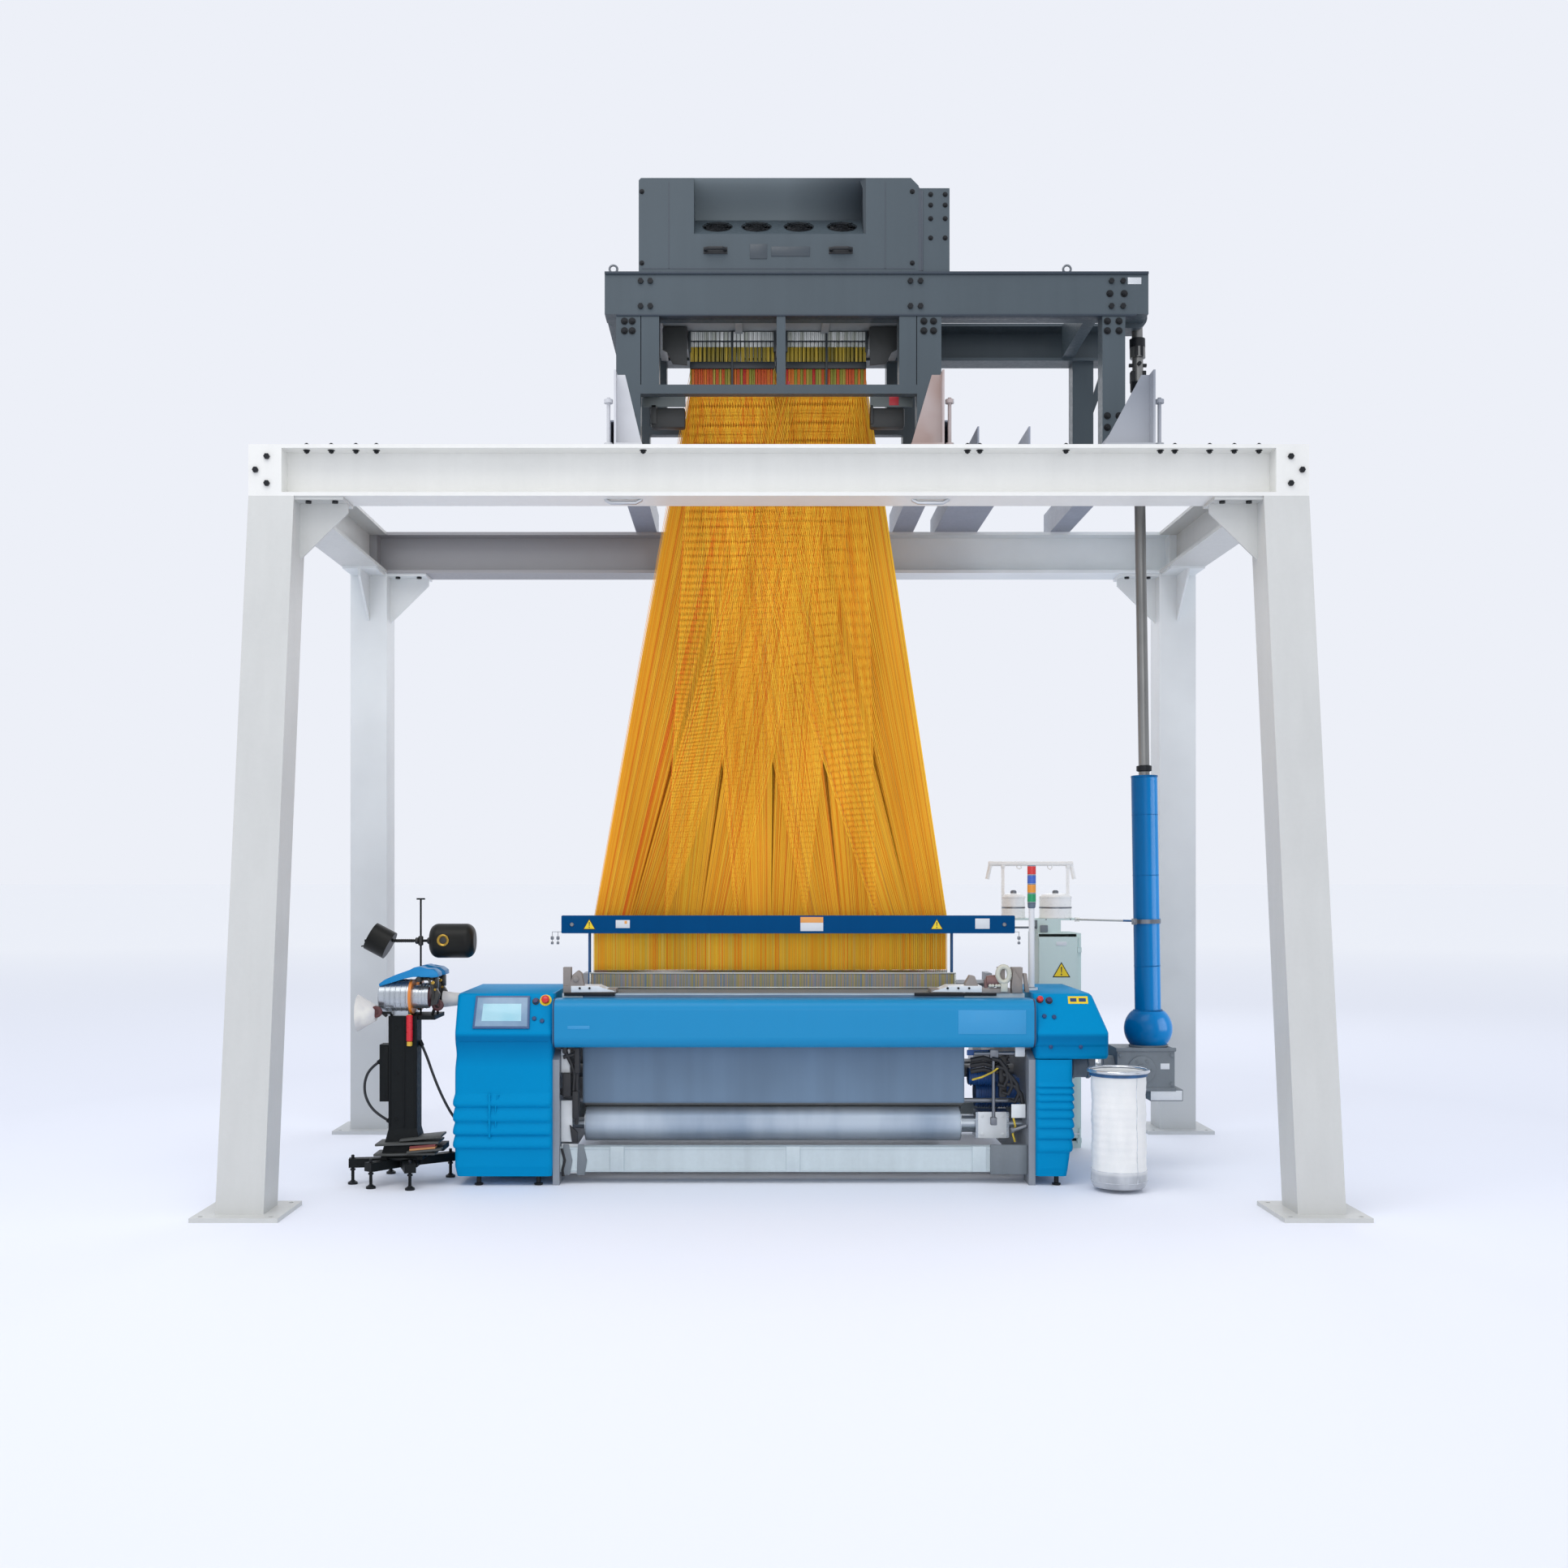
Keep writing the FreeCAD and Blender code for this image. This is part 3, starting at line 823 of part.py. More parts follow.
DRUM_TOP_R = 88.0
drum_right = x_rod(DRUM_TOP_R, (-1782.0, -1552.0), MAST_Y, CROSS_Z)
drum_rims = [edge for edge in drum_right.Edges if abs(edge.Length - 2 * math.pi * DRUM_TOP_R) < 1]
drum_right = drum_right.makeFillet(45.0, drum_rims)
drum_left = x_rod(74.0, (-2095.0, -1985.0), MAST_Y, CROSS_Z)
drum_left.rotate(V(-2040.0, MAST_Y, CROSS_Z), V(0, 1, 0), 28.0)
cross = x_rod(CROSS_R + RUN, (-2120.0, -1640.0), MAST_Y, CROSS_Z)
package = Part.makeCone(92.0, 40.0, 90.0, PEG_LEFT, V(1, 0, 0))
cone = Part.makeCone(42.0, 30.0, 96.0, V(PEG_RIGHT.x - 94.0, PEG_RIGHT.y, PEG_RIGHT.z), V(1, 0, 0))
package = package.cut(rod(PEG_R + RUN, PEG_LEFT, peg_turn_left))
cone = cone.cut(rod(PEG_R + RUN, PEG_RIGHT, peg_turn_right))
save("balloon_drums", drum_right.cut(cross), drum_left.cut(cross), package, cone)

# --- hex bolts: gantry corners, splices, gussets and head rails -----------------------------------
BOLT_R, BOLT_HEAD = 15.0, 12.0


def bolt(point, out):
    """A hexagon head seated on a face, with its flat side out along a direction."""
    corners = [V(BOLT_R * math.cos(i * math.pi / 3), BOLT_R * math.sin(i * math.pi / 3), 0) for i in range(6)]
    head = prism(corners, V(0, 0, BOLT_HEAD))
    head.Placement = FreeCAD.Placement(point, FreeCAD.Rotation(V(0, 0, 1), out))
    return head


bolts = []
for side in (-1, 1):
    for y, out in ((FRONT_Y - LEG / 2, -1), (GANTRY_Y + LEG / 2, 1)):
        for dx, dz in ((90.0, 60.0), (90.0, 190.0), (35.0, 125.0)):
            bolts.append(bolt(V(side * (OUTER_X - dx), y, LEG_TOP + dz), V(0, out, 0)))
    for y in (FRONT_Y, GANTRY_Y):
        for dx in (60.0, 190.0):
            for dy in (-70.0, 70.0):
                x = side * (GANTRY_X - LEG / 2 - dx)
                bolts.append(bolt(V(x, y + dy, LEG_TOP - CAP), V(0, 0, -1)))
RAIL_BOLT_XS = (-706.0, -656.0, 690.0, 742.0, 1730.0, 1790.0)
for x in RAIL_BOLT_XS:
    for dz in (40.0, 170.0):
        bolts.append(bolt(V(x, HEAD_FRONT, HEAD_BOTTOM + dz), V(0, -1, 0)))
        bolts.append(bolt(V(x, HEAD_REAR, HEAD_BOTTOM + dz), V(0, 1, 0)))
save("hex_bolts", *bolts)
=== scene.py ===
import math

import bmesh
import bpy
import numpy as np
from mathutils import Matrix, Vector


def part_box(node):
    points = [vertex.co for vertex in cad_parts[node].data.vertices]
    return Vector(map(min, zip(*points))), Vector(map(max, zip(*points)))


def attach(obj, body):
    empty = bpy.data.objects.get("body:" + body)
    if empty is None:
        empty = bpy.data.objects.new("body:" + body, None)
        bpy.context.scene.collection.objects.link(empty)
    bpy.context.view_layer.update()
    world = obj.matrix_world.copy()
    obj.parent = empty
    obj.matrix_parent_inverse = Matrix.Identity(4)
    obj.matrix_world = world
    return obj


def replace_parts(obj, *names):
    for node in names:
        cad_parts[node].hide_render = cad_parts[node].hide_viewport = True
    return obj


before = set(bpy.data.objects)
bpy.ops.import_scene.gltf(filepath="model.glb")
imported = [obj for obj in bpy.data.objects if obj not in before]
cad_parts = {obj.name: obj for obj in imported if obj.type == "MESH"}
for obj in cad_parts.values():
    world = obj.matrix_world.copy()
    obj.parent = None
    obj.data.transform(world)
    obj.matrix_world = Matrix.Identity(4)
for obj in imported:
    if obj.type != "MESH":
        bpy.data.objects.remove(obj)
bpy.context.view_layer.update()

# --- Studio ------------------------------------------------------------------------------------
# The loom stands on a pale floor, its colour painted lighter near the loom as painted light, under a
# wide overhead softbox, with a low fill in front.
# The camera is level, at the height of a standing weaver's chin, a little left of the loom's middle.
EYE = Vector((-0.136, -8.7325, 1.555))
LENS_MM = 37.27
SHIFT = (0.0212, 0.059)
SENSOR_MM = 36.0
FLOOR_HALF = 300.0


def srgb(red, green, blue):
    """A linear RGBA colour from the 0 to 255 numbers of a paint card."""
    def linear(part):
        part /= 255
        return part / 12.92 if part <= 0.04045 else ((part + 0.055) / 1.055) ** 2.4
    return (linear(red), linear(green), linear(blue), 1.0)


def tinted(colour, share):
    """A colour made lighter or darker by a share of itself."""
    return tuple(min(1.0, part * share) for part in colour[:3]) + (1.0,)


class Lead:
    """One output socket in a node tree of a finish or of Geometry Nodes; sums on it add Math nodes."""

    def __init__(self, tree, out=None):
        self.tree, self.out = tree, out

    def node(self, kind, settings=None, sockets=None, output=0):
        """Adds a node, with its settings first and then its sockets' values or links."""
        made = self.tree.nodes.new(kind)
        for name, value in (settings or {}).items():
            if name == "stops":
                for place, colour in value[1:-1]:
                    made.color_ramp.elements.new(place).color = colour
                for end in (0, -1):
                    made.color_ramp.elements[end].position = value[end][0]
                    made.color_ramp.elements[end].color = value[end][1]
            elif name == "blend":
                made.color_ramp.interpolation = value
            else:
                setattr(made, name, value)
        for name, value in (sockets or {}).items():
            for lead in value if isinstance(value, list) else [value]:
                if isinstance(lead, Lead):
                    self.tree.links.new(lead.out, made.inputs[name])
                else:
                    made.inputs[name].default_value = lead
        return Lead(self.tree, made.outputs[output])

    def maths(self, operation, *values):
        return self.node("ShaderNodeMath", {"operation": operation}, dict(enumerate(values)))

    def __add__(self, other):
        return self.maths("ADD", self, other)

    def __sub__(self, other):
        return self.maths("SUBTRACT", self, other)

    def __mul__(self, other):
        return self.maths("MULTIPLY", self, other)

    def __truediv__(self, other):
        return self.maths("DIVIDE", self, other)

    __radd__, __rmul__ = __add__, __mul__

    def axis(self, number):
        """One of the three numbers of a vector."""
        return self.node("ShaderNodeSeparateXYZ", None, {0: self}, number)

    def stretched(self, x, y, z):
        """A vector scaled along each axis."""
        return self.node("ShaderNodeVectorMath", {"operation": "MULTIPLY"}, {0: self, 1: (x, y, z)})

    def noise(self, scale, detail=3.0):
        return self.node("ShaderNodeTexNoise", None, {"Vector": self, "Scale": scale, "Detail": detail})

    def between(self, low, high, start=0.0, end=1.0):
        """Maps low..high of this lead to start..end, and holds it there outside."""
        return self.node("ShaderNodeMapRange", {"clamp": True}, {0: self, 1: low, 2: high, 3: start, 4: end})

    def spread(self, start=0.0, end=1.0):
        """Maps the range that a noise really fills, 0.3 to 0.7, to start..end."""
        return self.between(0.3, 0.7, start, end)

    def blend(self, first, second):
        """Mixes two colours by this lead."""
        return self.node("ShaderNodeMix", {"data_type": "RGBA"}, {0: self, 6: first, 7: second}, 2)

    def times(self, other):
        """Multiplies two colours."""
        return self.node("ShaderNodeMix", {"data_type": "RGBA", "blend_type": "MULTIPLY"},
                         {0: 1.0, 6: self, 7: other}, 2)

    def shades(self, colour, darkest, palest):
        """Moves between two tints of a colour, each a share of it."""
        return self.blend(tinted(colour, darkest), tinted(colour, palest))

    def ramp(self, stops, blend="LINEAR"):
        return self.node("ShaderNodeValToRGB", {"stops": stops, "blend": blend}, {0: self})

    def white_noise(self):
        """One random number for each value of this lead."""
        return self.node("ShaderNodeTexWhiteNoise", {"noise_dimensions": "1D"}, {"W": self})


def new_finish(name):
    """An empty finish, and the lead of its piece's own coordinates."""
    finish = bpy.data.materials.new(name)
    finish.use_nodes = True
    finish.node_tree.nodes.clear()
    return finish, Lead(finish.node_tree).node("ShaderNodeTexCoord", output="Object")


def surface(place, height=None, deep=0.001, **sockets):
    """Closes a finish with its surface shader; height is the lead of its relief, deep metres deep."""
    values = {name.replace("_", " "): value for name, value in sockets.items()}
    if height is not None:
        values["Normal"] = place.node("ShaderNodeBump", None,
                                      {"Strength": 1.0, "Distance": deep, "Height": height})
    shader = place.node("ShaderNodeBsdfPrincipled", None, values)
    out = place.tree.nodes.new("ShaderNodeOutputMaterial")
    place.tree.links.new(shader.out, out.inputs["Surface"])


def light(name, place, aim, size, watts, colour):
    """A square soft light at a place, facing a point."""
    lamp = bpy.data.lights.new(name, "AREA")
    lamp.shape, lamp.size, lamp.energy, lamp.color = "SQUARE", size, watts, colour
    holder = bpy.data.objects.new(name, lamp)
    bpy.context.scene.collection.objects.link(holder)
    holder.location = place
    holder.rotation_euler = (Vector(aim) - Vector(place)).to_track_quat("-Z", "Y").to_euler()
    return holder


scene = bpy.context.scene
scene.view_settings.view_transform = "Standard"
camera = bpy.data.objects.new("camera", bpy.data.cameras.new("camera"))
scene.collection.objects.link(camera)
camera.location = EYE
camera.rotation_euler = (math.pi / 2, 0, 0)
camera.data.lens = LENS_MM
camera.data.sensor_width = SENSOR_MM
camera.data.shift_x, camera.data.shift_y = SHIFT
camera.data.clip_end = 2 * FLOOR_HALF
scene.camera = camera

light("overhead_softbox", (-2.0, -5.0, 10.5), (0, 0, 2.0), 7.0, 330.0, (1.0, 0.985, 0.96))
light("front_fill", (1.0, -11.5, 3.0), (0, 0, 1.6), 5.0, 95.0, (1.0, 0.99, 0.97))
light("rear_fill", (2.0, 9.0, 6.5), (0, 0, 2.5), 6.0, 110.0, (0.96, 0.98, 1.0))

scene.world = bpy.data.worlds.new("pale_room")
scene.world.use_nodes = True
room = scene.world.node_tree.nodes["Background"]
room.inputs["Color"].default_value = srgb(237, 240, 248)
room.inputs["Strength"].default_value = 1.0

floor_mesh = bpy.data.meshes.new("floor")
floor_mesh.from_pydata([(-FLOOR_HALF, -FLOOR_HALF, 0), (FLOOR_HALF, -FLOOR_HALF, 0),
                        (FLOOR_HALF, FLOOR_HALF, 0), (-FLOOR_HALF, FLOOR_HALF, 0)], [], [(0, 1, 2, 3)])
floor = bpy.data.objects.new("floor", floor_mesh)
scene.collection.objects.link(floor)
floor_finish, place = new_finish("floor_paint")
# Painted light: the floor is painted lighter within a few metres of the loom, to lift the loom's shade, a
# little darker at about 5 m, and palest again far off.
away = place.node("ShaderNodeVectorMath", {"operation": "LENGTH"}, {0: place}, 1).between(0.0, 30.0)
lightness_lead = away + (place.noise(0.4) - 0.5) * 0.004
surface(place,
    Base_Color=lightness_lead.ramp([(0.0, srgb(242, 245, 253)), (0.10, srgb(240, 243, 252)), (0.18, srgb(231, 234, 243)),
    (1.0, srgb(253, 254, 255))]), Roughness=0.8)
floor_mesh.materials.append(floor_finish)

# --- Gantry ------------------------------------------------------------------------------------
# Four box legs on bolted base plates carry a ring of H-beams. It is welded and bolted mild steel,
# sprayed with a pale grey-white enamel that has gone a little dusty along its ledges. The front beam
# has a lighter copy of it as painted light; the rear legs and rear beam are painted darker as painted shade.
TO_FRONT, TO_BACK, TO_LEFT, TO_RIGHT = (0, -1, 0), (0, 1, 0), (-1, 0, 0), (1, 0, 0)
UPWARDS, DOWNWARDS = (0, 0, 1), (0, 0, -1)


def painted(name, colour, rough=0.42, mottle=0.05, peel=0.00025, metallic=0.0, shine=0.5):
    """Sprayed enamel or powder coat: slow mottling, thin runs of dust and a fine orange peel."""
    finish, place = new_finish(name)
    cloud = place.noise(1.7, 4.0)
    runs = place.stretched(16, 16, 0.9).noise(1.0, 3.0)
    specks = place.noise(55.0, 2.0)
    tone = cloud * 0.5 + runs * 0.35 + specks * 0.15
    colours = tone.between(0.36, 0.64).shades(colour, 1 - mottle, 1 + mottle)
    surface(place, place.noise(260.0, 2.0), peel, Base_Color=colours, Metallic=metallic,
        Specular_IOR_Level=shine, Roughness=specks.spread(rough - 0.06, rough + 0.08))
    return finish


def lacquer(place, colour, low, high, shine=0.3):
    """Closes a finish with a smooth coat of a colour's lead, its roughness speckled between two values."""
    surface(place, Base_Color=colour, Roughness=place.noise(55.0, 2.0).spread(low, high),
        Specular_IOR_Level=shine)


def dress(finish, *nodes):
    """Gives CAD nodes a finish."""
    for name in nodes:
        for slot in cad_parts[name].material_slots:
            slot.material = finish


def barrel(near, rise, outer, fall, length):
    """The profile of a ring or drum with chamfered ends: out at rise, back in from fall to its length."""
    return [(0, near), (rise, outer), (fall, outer), (length, near)]


def stud(radius, shoulder, top, crown):
    """The profile of a round or hexagon head: straight to its shoulder, then in to a flat crown."""
    return [(0, radius), (shoulder, radius), (top, crown), (top, 0)]


def hoop(centre, across, up, count):
    """Points round an ellipse with two given radii and back to the first, for a bar bent to a ring."""
    return [centre + (across * math.cos(k * math.tau / count) + up * math.sin(k * math.tau / count))
            for k in range(count + 1)]


def placed(name, bench, finish):
    """Takes a mesh off the bench and makes it an object with its finish."""
    mesh = bpy.data.meshes.new(name)
    bench.to_mesh(mesh)
    bench.free()
    mesh.materials.append(finish)
    made = bpy.data.objects.new(name, mesh)
    scene.collection.objects.link(made)
    return made


class Work:
    """A piece on the bench: blocks, rods, bent bars and turned shapes put together as one mesh."""

    def __init__(self):
        self.mesh = bmesh.new()

    def softened(self, corners, edge):
        """Rounds every edge that meets these corners."""
        if edge:
            edges = list({e for vert in corners for e in vert.link_edges})
            bmesh.ops.bevel(self.mesh, geom=edges, offset=edge, segments=2, affect="EDGES", profile=0.5)

    def ring(self, centre, across, other, radius, sides):
        """New corners on a circle, or one at its centre where the radius is 0."""
        return [self.mesh.verts.new(centre + radius * (
            across * math.cos(k * math.tau / sides) + other * math.sin(k * math.tau / sides)))
            for k in range(sides if radius else 1)]

    def belt(self, first, second):
        """Faces between two outlines with as many corners as each other."""
        for k, corner in enumerate(first):
            after = (k + 1) % len(first)
            self.mesh.faces.new((corner, first[after], second[after], second[k]))

    def blocks(self, edge, *boxes):
        """Several blocks with the same rounding, each a (low, high) pair of corners."""
        for low, high in boxes:
            self.block(low, high, edge)

    def block(self, low, high, edge=0.0):
        corners = bmesh.ops.create_cube(self.mesh, size=1.0)["verts"]
        low, high = Vector(low), Vector(high)
        for vert in corners:
            vert.co = [low[i] + (high[i] - low[i]) * (vert.co[i] + 0.5) for i in range(3)]
        self.softened(corners, edge)

    def turned(self, start, direction, profile, sides=32):
        """Revolves (distance, radius) pairs about an axis: a radius of 0 closes an end to a point, and
        pairs that come back to the first one make an open ring."""
        is_ring = profile[0] == profile[-1]
        start, axis = Vector(start), Vector(direction).normalized()
        across = axis.orthogonal().normalized()
        other = axis.cross(across)
        rings = []
        for distance, radius in profile[:-1] if is_ring else profile:
            rings.append(self.ring(start + axis * distance, across, other, radius, sides))
        ends = [] if is_ring else [rings[0], rings[-1]]
        for first, second in zip(rings, rings[1:] + (rings[:1] if is_ring else [])):
            for i in range(sides):
                a, b = first[i % len(first)], first[(i + 1) % len(first)]
                c, d = second[(i + 1) % len(second)], second[i % len(second)]
                corners = list(dict.fromkeys((a, b, c, d)))
                if len(corners) > 2:
                    self.mesh.faces.new(corners)
        for ring in ends:
            if len(ring) > 2:
                self.mesh.faces.new(ring)

    def rod(self, start, end, radius, edge=0.0, sides=20):
        start, end = Vector(start), Vector(end)
        long = (end - start).length
        profile = [(0, radius), (long, radius)]
        if edge:
            profile = barrel(radius - edge, edge, radius, long - edge, long)
        self.turned(start, end - start, profile, sides)

    def bent(self, points, radius, sides=8):
        """A round bar or hose that follows points, closed at its ends."""
        points = [Vector(p) for p in points]
        across, rings = None, []
        for i, point in enumerate(points):
            way = (points[min(i + 1, len(points) - 1)] - points[max(i - 1, 0)]).normalized()
            across = way.orthogonal() if across is None else across - way * across.dot(way)
            across.normalize()
            other = way.cross(across)
            rings.append(self.ring(point, across, other, radius, sides))
        self.skinned(rings)

    def skinned(self, rings):
        """Belts from ring to ring, and a face on the first and the last one."""
        for first, second in zip(rings, rings[1:]):
            self.belt(first, second)
        self.mesh.faces.new(rings[0])
        self.mesh.faces.new(rings[-1])

    def prism(self, corners, along, edge=0.0):
        """A flat outline pushed along a vector."""
        first = [self.mesh.verts.new(corner) for corner in corners]
        second = [self.mesh.verts.new(Vector(corner) + Vector(along)) for corner in corners]
        self.mesh.faces.new(first)
        self.mesh.faces.new(second)
        self.belt(first, second)
        self.softened(first + second, edge)

    def upright(self, front, deep, outline, edge=0.0):
        """An outline of (x, z) pairs that stands at its front and goes some way back."""
        self.prism([(x, front, z) for x, z in outline], (0, deep, 0), edge)

    def done(self, name, finish, body="loom", slot=None, crease=35.0):
        """Turns the work into a finished piece that rides on a body."""
        bmesh.ops.recalc_face_normals(self.mesh, faces=self.mesh.faces[:])
        for face in self.mesh.faces:
            face.smooth = True
        for edge in self.mesh.edges:
            edge.smooth = len(edge.link_faces) == 2 and edge.calc_face_angle(0.0) < math.radians(crease)
        return fitted(placed(name, self.mesh, finish), body)


def fitted(made, body="loom"):
    """Hangs a finished piece on its body."""
    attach(made, body)
    return made


gantry_white = painted("gantry_enamel", srgb(202, 203, 200), 0.40, 0.035, shine=0.35)
dress(gantry_white, "leg_front_left", "leg_front_right", "beam_left", "beam_right")
finish, place = new_finish("rear_leg_enamel")
dust = place.noise(1.7, 4.0).between(0.36, 0.64) * 0.25
# Painted shade: the rear legs are painted darker towards their feet.
shade_by_height = (place.axis(2).between(0.2, 2.6) - dust).blend(srgb(194, 197, 198), srgb(232, 236, 236))
lacquer(place, shade_by_height, 0.36, 0.48)
dress(finish, "leg_rear_left", "leg_rear_right")
# Painted light: the front beam gets a lighter copy of the gantry's enamel.
dress(painted("front_beam_enamel", srgb(230, 230, 226), 0.40, 0.03, shine=0.35), "beam_front")
finish, place = new_finish("rear_beam_enamel")
dust = place.noise(1.7, 4.0).between(0.36, 0.64)
# Painted shade: the rear beam is painted darker towards its left end.
shade_along_beam = place.axis(0).between(-0.9, 1.4).blend(srgb(156, 156, 159), srgb(234, 240, 242))
lacquer(place, (dust * 0.12).blend(shade_along_beam, srgb(120, 120, 124)), 0.40, 0.52)
dress(finish, "beam_rear")

# --- Bolts -------------------------------------------------------------------------------------
# Blacked hexagon heads on washers, with the bolt's end standing out, hold the gantry's flanges, the head
# rails and the gear case of the head. One tree stands a head and its washer on every marked place.
BOLT_R, BOLT_TALL, WASHER = 0.015, 0.011, 1.45


def new_tree(name, **sizes):
    """An empty Geometry Nodes tree with an input for each size; gives the lead of every input."""
    tree = bpy.data.node_groups.new(name, "GeometryNodeTree")
    tree.interface.new_socket("Geometry", in_out="INPUT", socket_type="NodeSocketGeometry")
    tree.interface.new_socket("Geometry", in_out="OUTPUT", socket_type="NodeSocketGeometry")
    tree.interface.new_socket("Finish", in_out="INPUT", socket_type="NodeSocketMaterial")
    for label, size in sizes.items():
        kind = "NodeSocketInt" if isinstance(size, int) else "NodeSocketFloat"
        tree.interface.new_socket(label.replace("_", " "), in_out="INPUT",
            socket_type=kind).default_value = size
    given = tree.nodes.new("NodeGroupInput")
    return [Lead(tree, out) for out in given.outputs][:-1]


def close_tree(shape, finish):
    """Ends a tree: its instances become real faces with their finish."""
    real = shape.node("GeometryNodeRealizeInstances", None, {0: shape})
    real = shape.node("GeometryNodeSetMaterial", None, {"Geometry": real, "Material": finish})
    end = shape.tree.nodes.new("NodeGroupOutput")
    shape.tree.links.new(real.out, end.inputs[0])
    return shape.tree


def grown(name, tree, finish, slot, mesh=None, **sizes):
    """Runs a tree on a mesh of marked places and fits the plain mesh that comes out."""
    made = bpy.data.objects.new(name, mesh or bpy.data.meshes.new(name))
    scene.collection.objects.link(made)
    step = made.modifiers.new("grow", "NODES")
    step.node_group = tree
    values = {label.replace("_", " "): size for label, size in sizes.items()}
    values["Finish"] = finish
    for item in tree.interface.items_tree:
        if item.in_out == "INPUT" and item.name in values:
            step[item.identifier] = values[item.name]
    bpy.context.view_layer.update()
    result = bpy.data.meshes.new_from_object(made.evaluated_get(bpy.context.evaluated_depsgraph_get()))
    made.modifiers.clear()
    made.data = result
    return fitted(made)


def marks(places):
    """A mesh of loose points, each with the direction that its part faces: (point, out) pairs."""
    mesh = bpy.data.meshes.new("marks")
    mesh.from_pydata([point for point, out in places], [], [])
    facing = mesh.attributes.new("out", "FLOAT_VECTOR", "POINT")
    facing.data.foreach_set("vector", [part for point, out in places for part in out])
    return mesh


shape, finish, head_r, head_tall, washer = new_tree("bolt_heads", Head_radius=BOLT_R, Head_height=BOLT_TALL,
                                                    Washer_share=WASHER)
out = shape.node("GeometryNodeInputNamedAttribute", {"data_type": "FLOAT_VECTOR"}, {"Name": "out"})
turn = shape.node("FunctionNodeAlignRotationToVector", {"axis": "Z"}, {"Vector": out})
ring = shape.node("GeometryNodeMeshCylinder", None, {"Vertices": 14, "Radius": head_r * washer,
                                                    "Depth": head_tall * 0.5})
head = shape.node("GeometryNodeMeshCylinder", None, {"Vertices": 6, "Radius": head_r, "Depth": head_tall})
stub = shape.node("GeometryNodeMeshCylinder", None, {"Vertices": 10, "Radius": head_r * 0.5,
                                                    "Depth": head_tall * 1.8})
lift = shape.node("ShaderNodeCombineXYZ", None, {"Z": head_tall * 0.75})
head = shape.node("GeometryNodeTransform", None, {"Geometry": head, "Translation": lift})
stub = shape.node("GeometryNodeTransform", None, {"Geometry": stub, "Translation": lift})
bolt = shape.node("GeometryNodeJoinGeometry", None, {0: [ring, head, stub]})
bolt_tree = close_tree(shape.node("GeometryNodeInstanceOnPoints", None,
                                  {"Points": shape, "Instance": bolt, "Rotation": turn}), finish)

zinc = painted("zinc_plate", srgb(120, 124, 130), 0.35, 0.12, metallic=0.8)
dark_bolt = painted("blacked_steel", srgb(24, 27, 31), 0.4, 0.12, metallic=0.1, shine=0.3)
dress(dark_bolt, "hex_bolts")

beam_low, beam_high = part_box("beam_front")
rail_low, rail_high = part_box("head_rails")
FLANGE = 0.018

flange_bolts = []
for x in (-2.30, -2.18, -2.06, -1.96, -0.66, 0.92, 0.98, 1.40, 1.86, 1.93, 2.10, 2.22, 2.34):
    flange_bolts.append(((x, beam_low.y + 0.045, beam_high.z - FLANGE), DOWNWARDS))
    flange_bolts.append(((x, beam_low.y + 0.045, beam_high.z), UPWARDS))
grown("flange_bolts", bolt_tree, dark_bolt, slot="bolt_steel", mesh=marks(flange_bolts),
      Head_radius=0.012, Head_height=0.010)

# --- Hoses of the feeder stand -------------------------------------------------------------------
# Two black rubber air hoses, 14 mm across. One loops from the stand's side box back into its foot, and
# one hangs from the column over to the left cover.
HOSE_WIDE = 0.014
HOSES = {
    "hose_left": (0.365, [(-2.030, -0.480, 0.609), (-2.070, -0.479, 0.580), (-2.099, -0.477, 0.522),
                          (-2.101, -0.476, 0.452), (-2.074, -0.477, 0.388), (-2.026, -0.479, 0.342),
                          (-1.984, -0.480, 0.318)]),
    "hose_right": (0.437, [(-1.806, -0.480, 0.694), (-1.782, -0.481, 0.640), (-1.755, -0.484, 0.562),
                           (-1.724, -0.487, 0.484), (-1.690, -0.486, 0.410), (-1.655, -0.483, 0.346),
                           (-1.622, -0.480, 0.300)]),
}


def rubber(name, colour, rough=0.55):
    """Extruded or moulded rubber: matt, a little dusty, with a faint bloom."""
    finish, place = new_finish(name)
    bloom = place.noise(30.0, 3.0)
    surface(place, place.noise(300.0, 2.0), 0.0002,
            Base_Color=bloom.spread().shades(colour, 0.8, 1.35),
            Roughness=bloom.spread(rough - 0.1, rough + 0.1))
    return finish


hose_rubber = rubber("hose_rubber", srgb(34, 36, 40))
for name, (length, route) in HOSES.items():
    line = bpy.data.curves.new(name + "_line", "CURVE")
    line.dimensions = "3D"
    spline = line.splines.new("NURBS")
    spline.points.add(len(route) - 1)
    for point, at in zip(spline.points, route):
        point.co = (*at, 1)
    spline.order_u = 3
    spline.use_endpoint_u = True
    spline.resolution_u = 14
    line.bevel_depth = HOSE_WIDE / 2
    line.bevel_resolution = 4
    line.use_fill_caps = True
    line.materials.append(hose_rubber)
    hose = bpy.data.objects.new(name + "_rubber", line)
    scene.collection.objects.link(hose)
    fitted(hose)
    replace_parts(hose, name)

# --- Harness -------------------------------------------------------------------------------------
# Waxed polyester cords fan from two banks of hooks down to five equal repeats in the comber board, so
# each bank feeds its half of every repeat and slits open where the banks meet. Under the board the
# cords hang straight to the heald eyes, and steel healds run on from there to the hold-down rail.
COLUMNS, REPEATS, ROWS = 60, 5, 11
CORD_R, GOLDEN_STEP = 0.00135, 0.381966
GOLDS = [(0.0, srgb(228, 128, 42)), (0.16, srgb(248, 166, 50)), (0.40, srgb(255, 198, 64)),
         (0.68, srgb(255, 214, 74)), (0.86, srgb(252, 184, 56)), (0.95, srgb(214, 168, 76)),
         (1.0, srgb(246, 98, 40))]

